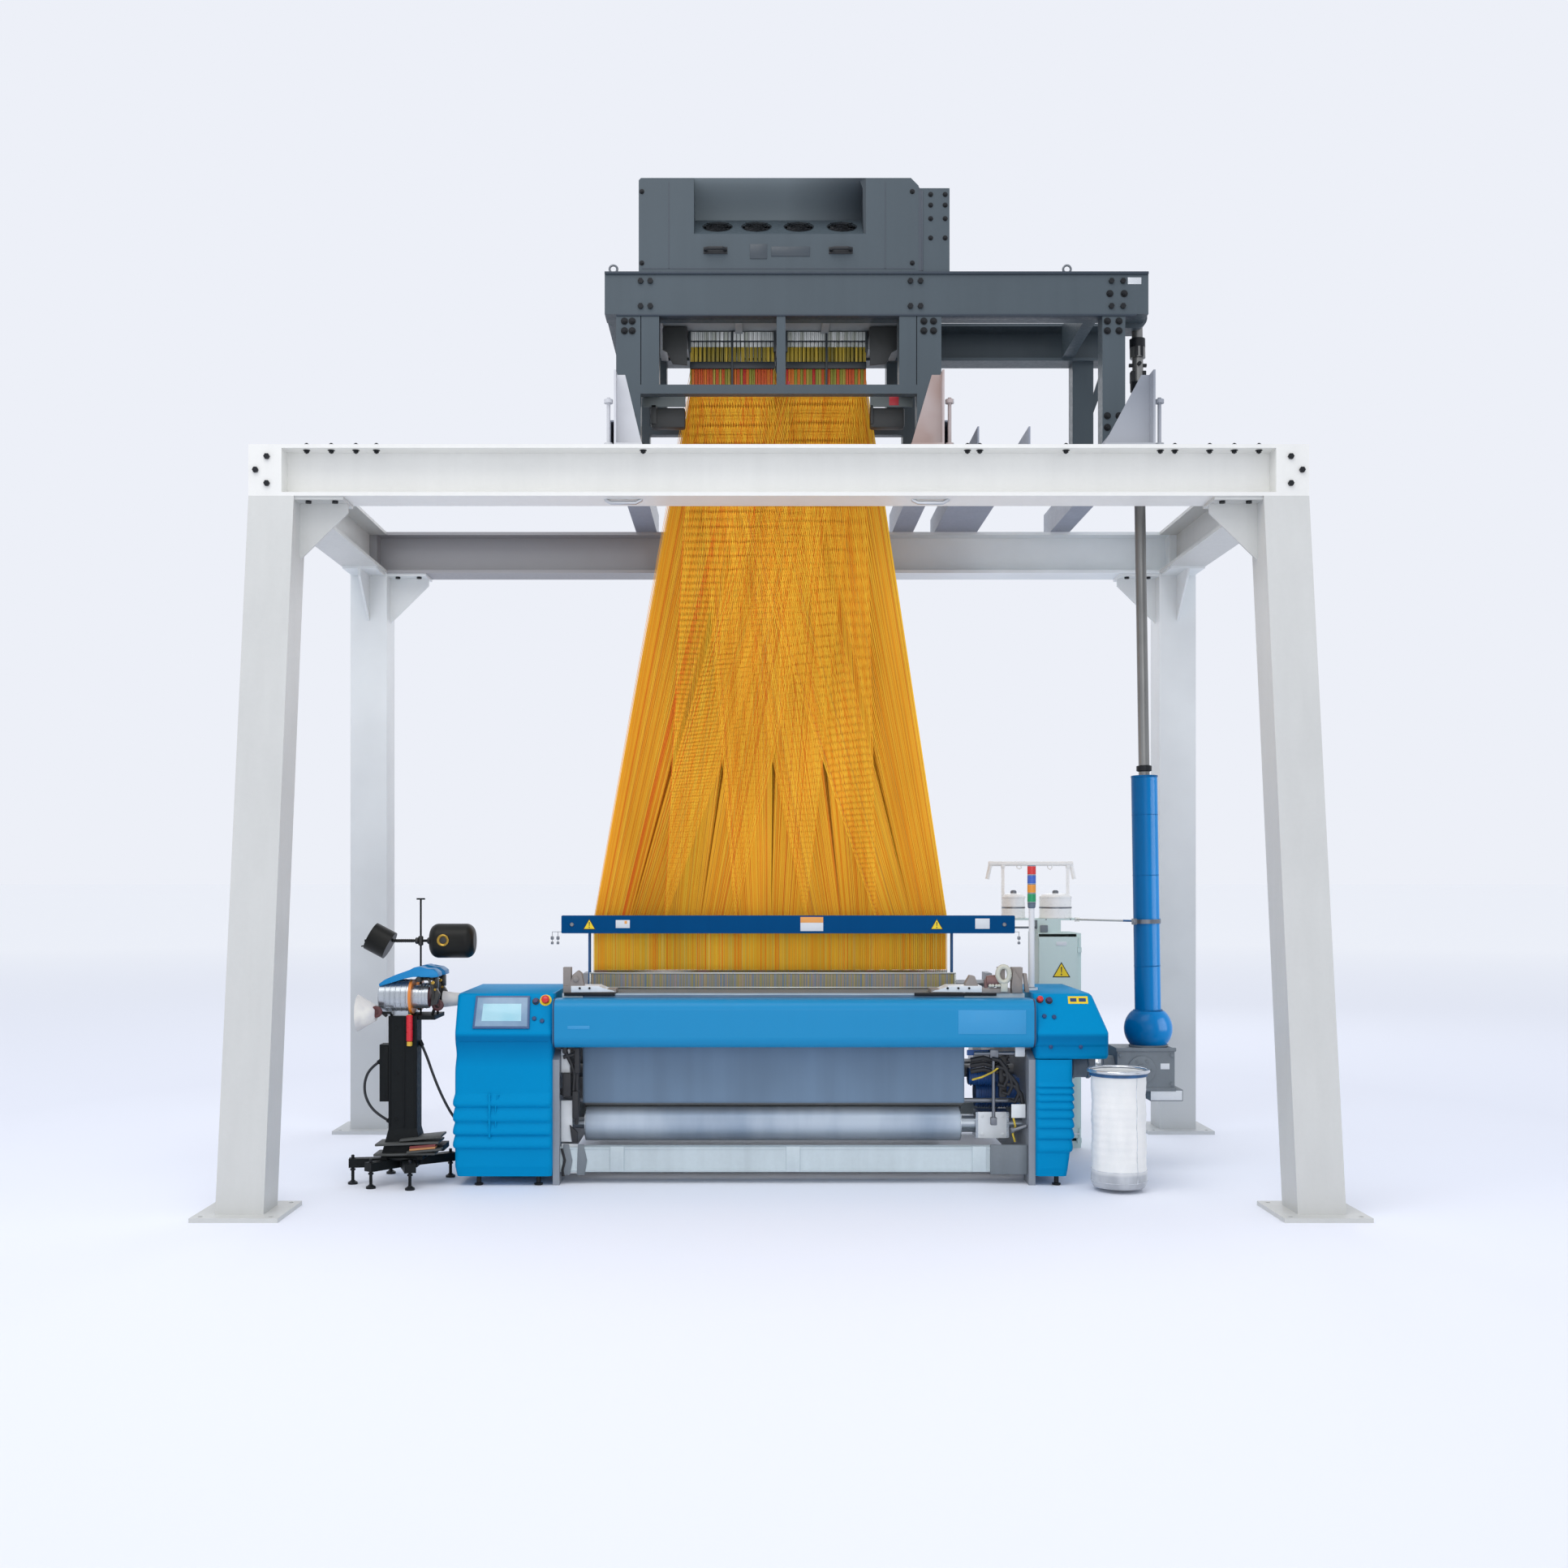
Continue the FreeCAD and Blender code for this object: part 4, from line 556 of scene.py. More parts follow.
shape, finish, columns, repeats, rows, radius, top_left, top_right, gap_left, gap_right, foot_left, \
    foot_right, top_high, foot_high, top_deep, foot_deep, middle, seed = new_tree(
        "cord_rows", Columns=COLUMNS, Repeats=REPEATS, Rows=ROWS, Cord_radius=CORD_R, Top_left=0.0,
        Top_right=0.0, Gap_left=0.0, Gap_right=0.0, Foot_left=0.0, Foot_right=0.0, Top_height=0.0,
        Foot_height=0.0, Top_depth=0.0, Foot_depth=0.0, Middle=0.0, Seed=3)
number = shape.node("GeometryNodeInputIndex")
in_row = columns * repeats
row = number.maths("FLOOR", number / in_row)
place_in_row = number.maths("MODULO", number, in_row)
repeat = place_in_row.maths("FLOOR", place_in_row / columns)
column = place_in_row.maths("MODULO", place_in_row, columns)
stagger = row.maths("FRACT", row * GOLDEN_STEP)
share = (column + stagger) / columns
closing = (row / rows).between(0.25, 0.6, 0.0, 0.5)
bank_left = gap_left + closing * (gap_right - gap_left)
bank_right = gap_right - closing * (gap_right - gap_left)
on_left = share.node("ShaderNodeMapRange", None, {0: share, 1: 0.0, 2: 0.5, 3: top_left, 4: bank_left})
on_right = share.node("ShaderNodeMapRange", None, {0: share, 1: 0.5, 2: 1.0, 3: bank_right, 4: top_right})
top_x = on_left + share.maths("GREATER_THAN", share, 0.5) * (on_right - on_left)
foot_x = foot_left + (repeat + share) / repeats * (foot_right - foot_left)
deep = (row + 0.5) / rows - 0.5
top = shape.node("ShaderNodeCombineXYZ", None, {0: top_x, 1: middle + deep * top_deep, 2: top_high})
foot = shape.node("ShaderNodeCombineXYZ", None, {0: foot_x, 1: middle + deep * foot_deep, 2: foot_high})
run = shape.node("ShaderNodeVectorMath", {"operation": "SUBTRACT"}, {0: top, 1: foot})
half_way = shape.node("ShaderNodeMix", {"data_type": "VECTOR"}, {0: 0.5, 4: top, 5: foot}, 1)
long = shape.node("ShaderNodeVectorMath", {"operation": "LENGTH"}, {0: run}, 1)
turn = shape.node("FunctionNodeAlignRotationToVector", {"axis": "Z"}, {"Vector": run})
points = shape.node("GeometryNodePoints", None, {"Count": in_row * rows, "Position": half_way})
dye = shape.node("FunctionNodeRandomValue", {"data_type": "FLOAT"}, {"Seed": seed}, 1)
points = shape.node("GeometryNodeStoreNamedAttribute", {"data_type": "FLOAT", "domain": "POINT"},
                    {"Geometry": points, "Name": "dye", "Value": dye})
cord = shape.node("GeometryNodeMeshCylinder", {"fill_type": "NONE"},
    {"Vertices": 3, "Radius": radius, "Depth": 1.0})
cord_scale = shape.node("ShaderNodeCombineXYZ", None, {0: 1.0, 1: 1.0, 2: long})
cord_tree = close_tree(shape.node("GeometryNodeInstanceOnPoints", None,
                                  {"Points": points, "Instance": cord, "Rotation": turn, "Scale": cord_scale}),
                       finish)


def waxed_cord(name, stops):
    """Waxed cord: each one has its own dye, with a slow change of tone down its length."""
    finish, place = new_finish(name)
    dye = place.node("ShaderNodeAttribute", {"attribute_name": "dye"}, None, 2)
    tone = place.stretched(6, 6, 1.2).noise(1.0, 2.0)
    colour = dye.ramp(stops)
    lightness_lead = tone.between(0.35, 0.65).blend((0.88, 0.85, 0.80, 1), (1.0, 1.0, 1.0, 1))
    colour = colour.times(lightness_lead)
    surface(place, place.noise(500.0, 2.0), 0.0003, Base_Color=colour,
            Roughness=tone.spread(0.86, 0.96), Specular_IOR_Level=0.0)
    return finish


harness_low, harness_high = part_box("harness")
board_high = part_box("comber_board")[1]
module_low, module_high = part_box("hook_modules")
heald_low, heald_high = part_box("healds")
HARNESS_Y = (heald_low.y + heald_high.y) / 2
MODULE_GAP = (-0.008, 0.054)
MODULE_LEFT, MODULE_RIGHT = -0.463, 0.484
BOARD_THICK = 0.020
CORDS_TOP = module_low.z + 0.07
HANGING_MIDDLE = -0.0275

fan_cords = grown("harness_fan", cord_tree, waxed_cord("harness_gold", GOLDS), slot="harness_cord",
                  Top_left=MODULE_LEFT + 0.008, Top_right=MODULE_RIGHT - 0.004, Gap_left=MODULE_GAP[0] - 0.006,
                  Gap_right=MODULE_GAP[1] + 0.006, Foot_left=harness_low.x, Foot_right=harness_high.x,
                  Top_height=CORDS_TOP, Foot_height=board_high.z, Top_depth=0.27, Foot_depth=0.135,
                  Middle=HARNESS_Y)
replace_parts(fan_cords, "harness")

# The hanging cords use a lighter copy of the cords' golds, as painted light that lifts the shade under the
# comber board.
HANGING = [(0.0, srgb(255, 126, 48)), (0.16, srgb(255, 194, 58)), (0.5, srgb(255, 220, 74)),
           (0.74, srgb(255, 184, 56)), (0.88, srgb(226, 204, 86)), (1.0, srgb(250, 226, 116))]
hanging_cords = grown("harness_hanging", cord_tree, waxed_cord("hanging_gold", HANGING), slot="harness_cord",
    Columns=270, Repeats=1, Rows=5, Top_left=harness_low.x, Top_right=harness_high.x, Gap_left=HANGING_MIDDLE,
    Gap_right=HANGING_MIDDLE, Foot_left=harness_low.x, Foot_right=harness_high.x,
    Top_height=board_high.z - BOARD_THICK, Foot_height=heald_high.z, Top_depth=0.09, Foot_depth=0.09,
    Middle=HARNESS_Y, Cord_radius=0.0016, Seed=11)

# A flat panel behind the cords stands for the dense rows there, striped in darker golds as painted shade, so
# the slits between repeats show dark.
rows_behind = bmesh.new()
spread_map = rows_behind.loops.layers.uv.new("spread")
for x_high, x_low, z_high, z_low, y_high, y_low in (
        ((MODULE_LEFT + 0.016, MODULE_RIGHT - 0.012), (harness_low.x + 0.010, harness_high.x - 0.010),
         CORDS_TOP, board_high.z, HARNESS_Y + 0.085, HARNESS_Y + 0.044),
        ((harness_low.x + 0.004, harness_high.x - 0.004), (harness_low.x + 0.004, harness_high.x - 0.004),
         board_high.z - BOARD_THICK, heald_high.z, HARNESS_Y + 0.050, HARNESS_Y + 0.050)):
    corners = [rows_behind.verts.new(corner) for corner in ((x_low[0], y_low, z_low), (x_low[1], y_low, z_low),
        (x_high[1], y_high, z_high), (x_high[0], y_high, z_high))]
    panel = rows_behind.faces.new(corners)
    for loop, corner in zip(panel.loops, ((0, 0), (1, 0), (1, 1), (0, 1))):
        loop[spread_map].uv = corner
bmesh.ops.subdivide_edges(rows_behind, edges=rows_behind.edges[:], cuts=24, use_grid_fill=True)
finish, place = new_finish("shaded_rows")
across = place.node("ShaderNodeUVMap", {"uv_map": "spread"}).axis(0)
pick = across.maths("FLOOR", across * 900.0).white_noise()
surface(place, None,
    Base_Color=pick.ramp([(0.0, srgb(170, 98, 30)), (0.5, srgb(214, 146, 40)), (1.0, srgb(240, 176, 56))]),
    Roughness=0.9, Specular_IOR_Level=0.0)
rows_panel = fitted(placed("harness_rows_behind", rows_behind, finish))


def kept_to(lamp, name, *lit):
    """Keeps a lamp's light to the given pieces, as flags on stands would."""
    group = bpy.data.collections.new(name)
    for piece in lit:
        group.objects.link(piece)
    lamp.light_linking.receiver_collection = group


cord_lamp = light("harness_lamp", (0.0, -6.6, 1.1), (0, 0, 1.6), 2.2, 110.0, (1.0, 0.98, 0.94))
kept_to(cord_lamp, "lit_cords", fan_cords, hanging_cords, rows_panel)


def heald_steel(name):
    """Tinned heald wires with dyed sleeves over their eyes, in patches of grey-blue, olive and pink."""
    finish, place = new_finish(name)
    dye = place.node("ShaderNodeAttribute", {"attribute_name": "dye"}, None, 2)
    patch = place.stretched(9.0, 1.0, 3.0).noise(1.0, 1.0)
    sleeve = (patch * 0.8 + dye * 0.2).ramp([
        (0.0, srgb(120, 136, 158)), (0.36, srgb(140, 152, 168)), (0.46, srgb(176, 160, 92)),
        (0.54, srgb(150, 146, 112)), (0.62, srgb(184, 146, 140)), (1.0, srgb(128, 146, 170))])
    bare = dye.blend(srgb(168, 172, 178), srgb(120, 124, 130))
    high = place.axis(2).between(heald_high.z - 0.14, heald_high.z - 0.10)
    surface(place, None, 0.001, Base_Color=high.blend(bare, sleeve), Roughness=0.42,
            Metallic=high.between(0, 1, 0.75, 0.15))
    return finish


healds = grown("heald_wires", cord_tree, heald_steel("heald_wire"), slot="heald_wire", Columns=240, Repeats=1,
    Rows=5, Top_left=heald_low.x, Top_right=heald_high.x, Gap_left=HANGING_MIDDLE, Gap_right=HANGING_MIDDLE,
    Foot_left=heald_low.x, Foot_right=heald_high.x, Top_height=heald_high.z, Foot_height=heald_low.z,
    Top_depth=0.09, Foot_depth=0.09, Middle=HARNESS_Y, Cord_radius=0.0019, Seed=5)
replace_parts(healds, "healds")

# --- Hook modules --------------------------------------------------------------------------------
# Two banks of moulded hook boxes hang from the carrier plate under the head. Each is a row of thin
# boxes with pale collars, olive hook guides over a dark lattice bar, and coloured cord tails below.
BANKS = ((MODULE_LEFT, MODULE_GAP[0]), (MODULE_GAP[1], MODULE_RIGHT))
BOXES, BOX_SIDE = 20, 0.15
COLLAR_Z, GUIDE_Z, LATTICE_Z, TAIL_Z = (4.395, 4.475), (4.315, 4.395), (4.278, 4.315), (4.150, 4.278)


def moulded(name, colour, rough=0.38):
    """Injection-moulded plastic: an even colour with a fine satin grain."""
    finish, place = new_finish(name)
    grain = place.noise(420.0, 2.0)
    cloud = place.noise(3.0, 2.0)
    surface(place, grain, 0.00015,
            Base_Color=cloud.spread().shades(colour, 0.94, 1.06),
            Roughness=grain.spread(rough - 0.05, rough + 0.07))
    return finish


def striped(name, stops, pitch, seed=0.0):
    """Parts side by side along X, each a different colour of the same set, darker at its edges as painted
    shade.
    """
    finish, place = new_finish(name)
    step = place.maths("FLOOR", place.axis(0) / pitch)
    pick = (step + seed).white_noise()
    # Painted shade: each part darkens towards its edges, where the gaps between parts lie.
    edge = place.maths("PINGPONG", place.axis(0) / pitch, 0.5).between(0.0, 0.14, 0.35, 1.0)
    colour = pick.ramp(stops, "CONSTANT")
    colour = colour.times(edge.blend((0, 0, 0, 1), (1, 1, 1, 1)))
    surface(place, edge, 0.002, Base_Color=colour, Roughness=0.5)
    return finish


collar_white = striped("collar_white", [(0.0, srgb(196, 200, 196)), (0.4, srgb(222, 224, 220)),
                                        (0.75, srgb(176, 180, 170)), (1.0, srgb(210, 212, 206))], 0.0214)
guide_olive = striped("guide_olive", [(0.0, srgb(150, 132, 40)), (0.3, srgb(176, 152, 44)),
    (0.55, srgb(118, 108, 46)), (0.78, srgb(196, 168, 52)), (1.0, srgb(150, 140, 60))], 0.0118, 7.0)
lattice_dark = moulded("lattice_black", srgb(46, 52, 56))
tail_colours = striped("tail_colours", [(0.0, srgb(214, 88, 34)), (0.3, srgb(150, 148, 48)),
    (0.55, srgb(226, 120, 34)), (0.72, srgb(178, 160, 60)), (0.9, srgb(200, 40, 36)),
    (1.0, srgb(226, 130, 40))], 0.0162, 3.0)
carrier_grey = painted("carrier_zinc", srgb(140, 144, 146), 0.5, 0.08)

collars, guides, lattice, tails, spacers = Work(), Work(), Work(), Work(), Work()
for low, high in BANKS:
    step = (high - low) / BOXES
    front, back = HARNESS_Y - BOX_SIDE, HARNESS_Y + BOX_SIDE
    for k in range(BOXES):
        x = low + k * step
        collars.block((x + 0.001, front + 0.002, COLLAR_Z[0] + 0.034),
            (x + step - 0.001, back - 0.002, COLLAR_Z[1]), 0.002)
        collars.block((x + 0.002, front + 0.004, COLLAR_Z[0]),
            (x + step - 0.002, back - 0.004, COLLAR_Z[0] + 0.026), 0.003)
        guides.block((x + 0.002, front + 0.008, GUIDE_Z[0]), (x + step - 0.002, back - 0.008, GUIDE_Z[1]),
            0.003)
    lattice.block((low, front, LATTICE_Z[0]), (high, back, LATTICE_Z[1]), 0.004)
    lattice.block((low, front + 0.006, COLLAR_Z[0] + 0.026), (high, front + 0.012, COLLAR_Z[0] + 0.034))
    middle = (low + high) / 2
    spacers.block((middle - 0.006, front - 0.010, TAIL_Z[0] + 0.03),
        (middle + 0.006, front - 0.001, COLLAR_Z[1]), 0.002)
    for x in (low, high):
        spacers.block((x - 0.007, front - 0.008, COLLAR_Z[0] - 0.03), (x + 0.007, back, COLLAR_Z[1]), 0.003)
    for k in range(2 * BOXES):
        x = low + (k + 0.5) * step / 2
        tails.block((x - 0.0048, front + 0.012, TAIL_Z[0]), (x + 0.0048, front + 0.020, TAIL_Z[1]), 0.0015)
carrier = Work()
carrier.block((module_low.x, module_low.y, module_high.z - 0.012), module_high, 0.002)
for x in (-0.62, -0.20, 0.26, 0.66):
    carrier.block((x - 0.02, module_low.y, module_high.z - 0.03),
        (x + 0.02, module_high.y, module_high.z - 0.012), 0.003)
collars.done("hook_collars", collar_white, slot="module_plastic")
guides.done("hook_guides", guide_olive, slot="module_plastic")
lattice.done("hook_lattice", lattice_dark, slot="module_plastic")
tails.done("hook_tails", tail_colours, slot="harness_cord")
spacers.done("hook_spacers", lattice_dark, slot="module_plastic")
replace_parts(carrier.done("hook_carrier", carrier_grey, slot="module_plastic"), "hook_modules")

# --- Jacquard head -------------------------------------------------------------------------------
# The head is a welded frame of box rails and posts under a folded sheet-metal hood. The hood's front
# is cut back to a slope with four cooling fans. Frame and hood are a dark blue-grey, the deck paler.
POST_FRONT, CHEEK_FRONT = -0.2185, -0.120
HEAD_GREY = srgb(72, 83, 90)
head_grey = painted("head_enamel", HEAD_GREY, 0.42, 0.06, 0.0001, shine=0.35)
dress(head_grey, "head_rails", "head_posts", "head_cover", "head_gearbox")
deck_grey = painted("deck_enamel", srgb(136, 142, 156), 0.45, 0.08)
dress(deck_grey, "cross_beams")
fan_black = moulded("fan_black", srgb(30, 32, 36), 0.5)
dress(fan_black, "head_fan_1", "head_fan_2", "head_fan_3", "head_fan_4")
finish, place = new_finish("bracket_enamel")
middle_one = place.maths("COMPARE", place.axis(0), 0.72, 0.13)
cloud = place.noise(3.0, 3.0)
white_ones = cloud.spread().blend(srgb(196, 197, 201), srgb(210, 212, 216))
# Painted shade: the right bracket is painted grey, the more so towards its top.
right_bracket_shade = place.maths("GREATER_THAN", place.axis(0), 1.5) * place.axis(2).between(3.66, 3.95, 0.6, 1.0)
outer_ones = right_bracket_shade.blend(white_ones, srgb(142, 147, 156))
surface(place, None, Base_Color=(middle_one * cloud.between(0.3, 0.6, 0.5, 1.0)).blend(outer_ones,
    srgb(168, 148, 142)), Roughness=cloud.spread(0.42, 0.52), Specular_IOR_Level=0.3)
dress(finish, "head_brackets")

hood_low, hood_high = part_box("head_cover")
HOOD_FRONT, RAIL_FRONT = hood_low.y, rail_low.y
RECESS = (-0.430, 0.460)
SLOPE_LOW, SLOPE = 4.881, math.radians(38)
FANS = (-0.310, -0.106, 0.115, 0.340)


def on_slope(x, along, out=0.0):
    """A point on the hood's fan slope, a distance up it and a height off it."""
    return Vector((x, HOOD_FRONT + along * math.cos(SLOPE) - out * math.sin(SLOPE),
                   SLOPE_LOW + along * math.sin(SLOPE) + out * math.cos(SLOPE)))


grille = Work()
slope_up = on_slope(0, 1) - on_slope(0, 0)
FAN_ALONG = 0.114
for x in FANS:
    for radius in (0.030, 0.046, 0.062, 0.076):
        grille.bent(hoop(on_slope(x, FAN_ALONG, 0.004), Vector(TO_RIGHT) * radius, slope_up * radius, 28),
            0.0016, 6)
    for k in range(4):
        way = Vector(TO_RIGHT) * math.cos(k * math.pi / 4) + slope_up * math.sin(k * math.pi / 4)
        bar_middle = on_slope(x, FAN_ALONG, 0.006)
        grille.bent([bar_middle - way * 0.080, bar_middle + way * 0.080], 0.0018, 6)
grille.done("fan_grilles", dark_bolt, slot="fan_black")

scoop = Work()
scoop.prism([(RECESS[0], HOOD_FRONT + back, z) for back,
    z in ((0.0, hood_high.z), (0.004, 5.166), (0.030, 5.146), (0.070, 5.124), (0.115, 5.100), (0.150, 5.074),
    (0.176, 5.044), (0.190, 5.018), (0.205, 5.018), (0.205, hood_high.z))], (RECESS[1] - RECESS[0], 0, 0))
scoop.prism([(RECESS[1], HOOD_FRONT, hood_high.z), (RECESS[1], HOOD_FRONT, SLOPE_LOW),
             (RECESS[1] - 0.012, HOOD_FRONT + 0.010, SLOPE_LOW), (RECESS[1] - 0.016, HOOD_FRONT + 0.010, 5.120),
             (RECESS[1] - 0.034, HOOD_FRONT + 0.012, hood_high.z)], (0, 0.19, 0))
finish, place = new_finish("scoop_enamel")
# Painted light and shade: the scoop is painted lighter than the hood, to lift the recess's shade, and darker
# towards its right end as painted shade.
right_end_shade = place.axis(0).between(0.05, RECESS[1] - 0.03)
lacquer(place, right_end_shade.blend(srgb(116, 126, 130), srgb(62, 70, 76)), 0.40, 0.50)
scoop.done("hood_scoop", finish, slot="head_grey", crease=50)

handles = Work()
HANDLE_Z = 4.795
for x in (-0.319, 0.330):
    handles.block((x - 0.062, HOOD_FRONT - 0.004, HANDLE_Z - 0.018),
        (x + 0.062, HOOD_FRONT + 0.001, HANDLE_Z + 0.018), 0.002)
    handles.bent([(x - 0.052, HOOD_FRONT - 0.002, HANDLE_Z), (x - 0.050, HOOD_FRONT - 0.022, HANDLE_Z),
        (x - 0.036, HOOD_FRONT - 0.034, HANDLE_Z), (x + 0.036, HOOD_FRONT - 0.034, HANDLE_Z),
        (x + 0.050, HOOD_FRONT - 0.022, HANDLE_Z), (x + 0.052, HOOD_FRONT - 0.002, HANDLE_Z)], 0.009, 10)
handles.done("hood_handles", fan_black, slot="fan_black")

plates = Work()
plates.blocks(0.001, ((-0.140, HOOD_FRONT - 0.003, 4.752), (-0.052, HOOD_FRONT + 0.001, 4.828)),
                     ((-0.030, HOOD_FRONT - 0.003, 4.765), (0.170, HOOD_FRONT + 0.001, 4.815)))
plates.done("hood_bare_plates", painted("plate_grey", srgb(58, 67, 75), 0.4, 0.03), slot="head_grey")

seams = Work()
for x in (-0.560, 0.560):
    seams.block((x - 0.002, HOOD_FRONT - 0.0015, 4.700), (x + 0.002, HOOD_FRONT + 0.001, 5.150))
seams.block((-0.700, HOOD_FRONT - 0.0015, 4.700), (0.715, HOOD_FRONT + 0.001, 4.704))
seams.block((0.748, HOOD_FRONT - 0.003, 4.690), (0.756, HOOD_FRONT + 0.001, 5.105), 0.001)
seams.upright(HOOD_FRONT - 0.001, 0.004, [(0.733, 4.690), (0.748, 4.690), (0.748, 5.105), (0.733, 5.125)])
seams.done("hood_seams", painted("seam_shadow", srgb(66, 74, 84), 0.5, 0.05), slot="head_grey")

lips = Work()
lips.blocks(0.002, ((rail_low.x, RAIL_FRONT - 0.010, rail_high.z - 0.006),
    (rail_high.x, RAIL_FRONT + 0.002, rail_high.z + 0.008)),
    ((rail_low.x + 0.06, RAIL_FRONT - 0.002, rail_low.z - 0.010),
    (rail_high.x - 0.06, RAIL_FRONT + 0.060, rail_low.z + 0.001)))
lips.done("rail_lips", painted("lip_shadow", srgb(44, 56, 68), 0.5, 0.05), slot="head_grey")

cheeks = Work()
for x0, x1 in ((-0.604, -0.474), (0.640, 0.496)):
    tip = x0 + (x1 - x0) * 0.2
    cheeks.upright(CHEEK_FRONT, 0.012, [(x0, 4.465), (x1, 4.465), (x1, 4.268), (x1 + (x0 - x1) * 0.6, 4.276),
        (tip, 4.340), (x0, 4.350)], 0.002)
    cheeks.block((min(x0, x1), -0.114, 4.455), (max(x0, x1), 0.200, 4.474), 0.002)
for x0, x1 in ((-0.660, -0.480), (0.672, 0.492)):
    low, high = min(x0, x1), max(x0, x1)
    cheeks.block((low, -0.212, 3.912), (high, -0.150, 4.018), 0.012)
    cheeks.block((low, POST_FRONT, 3.930), (low + 0.030 if x0 < 0 else low + 0.015, -0.150, 4.030), 0.003)
cheeks.done("guard_bodies", moulded("body_black", srgb(48, 50, 50), 0.5), slot="fan_black")
inner_guards, red_tags = Work(), Work()
for x0, x1 in ((-0.700, -0.478), (0.712, 0.490)):
    inner_guards.block((min(x0, x1), POST_FRONT, 4.018), (max(x0, x1), -0.2125, 4.104), 0.001)
inner_guards.done("inner_guards", painted("guard_grey", srgb(104, 112, 112), 0.5, 0.08), slot="head_grey")
red_tags.block((0.590, -0.2200, 4.026), (0.640, -0.2180, 4.078), 0.0006)
red_tags.block((0.052, -0.2300, 4.106), (0.068, POST_FRONT, 4.150), 0.003)
red_tags.done("red_tags", painted("tag_red", srgb(196, 54, 64), 0.45, 0.1), slot="module_plastic")

case_bolts = [((x, HOOD_FRONT, z), TO_FRONT) for x in (0.795, 0.870) for z in (4.86, 4.96, 5.03, 5.085)]
case_bolts += [((x, HOOD_FRONT, z), TO_FRONT) for x in (-0.70, 0.70) for z in (4.73, 5.10)]
grown("case_bolts", bolt_tree, dark_bolt, slot="bolt_steel", mesh=marks(case_bolts), Head_radius=0.009,
      Head_height=0.007)
end_bolts = [((x, RAIL_FRONT, 4.571), TO_FRONT) for x in (1.722, 1.796)]
end_bolts += [((x, RAIL_FRONT + 0.004, z), TO_FRONT) for x in (-0.79, -0.75, 0.76, 0.81, 1.71, 1.77)
              for z in (3.88, 3.94, 4.38, 4.43)]
grown("frame_bolts", bolt_tree, dark_bolt, slot="bolt_steel", mesh=marks(end_bolts), Head_radius=0.013,
      Head_height=0.010)

eyes = Work()
for x in (-0.852, 1.512):
    foot = Vector((x, RAIL_FRONT + 0.06, rail_high.z))
    eyes.turned(foot, UPWARDS, [(0, 0.022), (0.008, 0.022), (0.010, 0.010), (0.026, 0.010)], 20)
    eyes.bent(hoop(foot + Vector((0, 0, 0.044)), Vector((0.020, 0, 0)), Vector((0, 0, 0.020)), 20), 0.006, 8)
eyes.done("lifting_eyes", zinc, slot="bolt_steel")

blank = Work()
blank.block((1.815, RAIL_FRONT - 0.002, 4.620), (1.885, RAIL_FRONT + 0.001, 4.655), 0.001)
blank.done("rail_blank_plate", painted("plate_silver", srgb(206, 210, 214), 0.3, 0.04, metallic=0.3),
    slot="head_grey")

# --- Comber board and guard bar ------------------------------------------------------------------
# The comber board spreads the cords between its end posts. In front of it runs a painted steel guard
# bar, screwed at its ends, with two warning triangles and three bare labels. The drive's guard tube has
# a brighter blue of its own, and a lamp whose light is kept to it.
GUARD_BLUE, WARNING_YELLOW = srgb(2, 70, 121), srgb(238, 206, 20)
guard_low, guard_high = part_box("guard_bar")
guard_blue = painted("guard_enamel", GUARD_BLUE, 0.34, 0.05, 0.00005, shine=0.03)
dress(guard_blue, "guard_bar")
TUBE_BLUE = srgb(0, 91, 146)
tube_blue, place = new_finish("tube_enamel")
cloud = place.noise(1.7, 4.0)
on_stay = place.maths("LESS_THAN", place.axis(0), 1.878) * place.maths("GREATER_THAN", place.axis(2), 1.2)
enamel = cloud.between(0.36, 0.64).shades(TUBE_BLUE, 0.95, 1.05)
surface(place, None, Base_Color=on_stay.blend(enamel, srgb(196, 198, 196)),
        Roughness=cloud.spread(0.17, 0.25), Specular_IOR_Level=0.14)
dress(tube_blue, "guard_tube")
tube_lamp = light("tube_lamp", (5.9, -2.3, 2.2), (1.95, -0.1, 1.4), 4.0, 360.0, (1.0, 1.0, 1.0))
kept_to(tube_lamp, "lit_tube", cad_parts["guard_tube"])
dress(painted("board_enamel", srgb(40, 96, 150), 0.45, 0.08), "comber_board")
warning_yellow = painted("warning_yellow", WARNING_YELLOW, 0.4, 0.05)
sign_black = moulded("sign_black", srgb(28, 28, 26))
label_white = painted("label_white", srgb(214, 218, 222), 0.5, 0.04)
label_orange = painted("label_orange", srgb(232, 160, 84), 0.5, 0.06)


def warning_sign(yellow, black, at, tall):
    """A yellow triangle with a black rim and a black stroke and dot, all within 2 mm of its face."""
    right, up, out = Vector(TO_RIGHT), Vector(UPWARDS), Vector(TO_FRONT)
    for work, size, lift in ((black, 1.0, 0.0008), (yellow, 0.82, 0.0014)):
        foot, half = at - up * (tall * 0.38 * size), right * (tall * 0.58 * size)
        corners = [at + up * (tall * 0.62 * size), foot - half, foot + half]
        work.prism(corners, out * lift)
    lift = out * 0.0018
    w = tall * 0.045
    black.prism([at + up * tall * 0.30 - right * w, at + up * tall * 0.30 + right * w,
                 at - up * tall * 0.08 + right * w * 0.5, at - up * tall * 0.08 - right * w * 0.5], lift)
    black.prism([at - up * tall * 0.14 - right * w, at - up * tall * 0.14 + right * w,
                 at - up * tall * 0.24 + right * w, at - up * tall * 0.24 - right * w], lift)


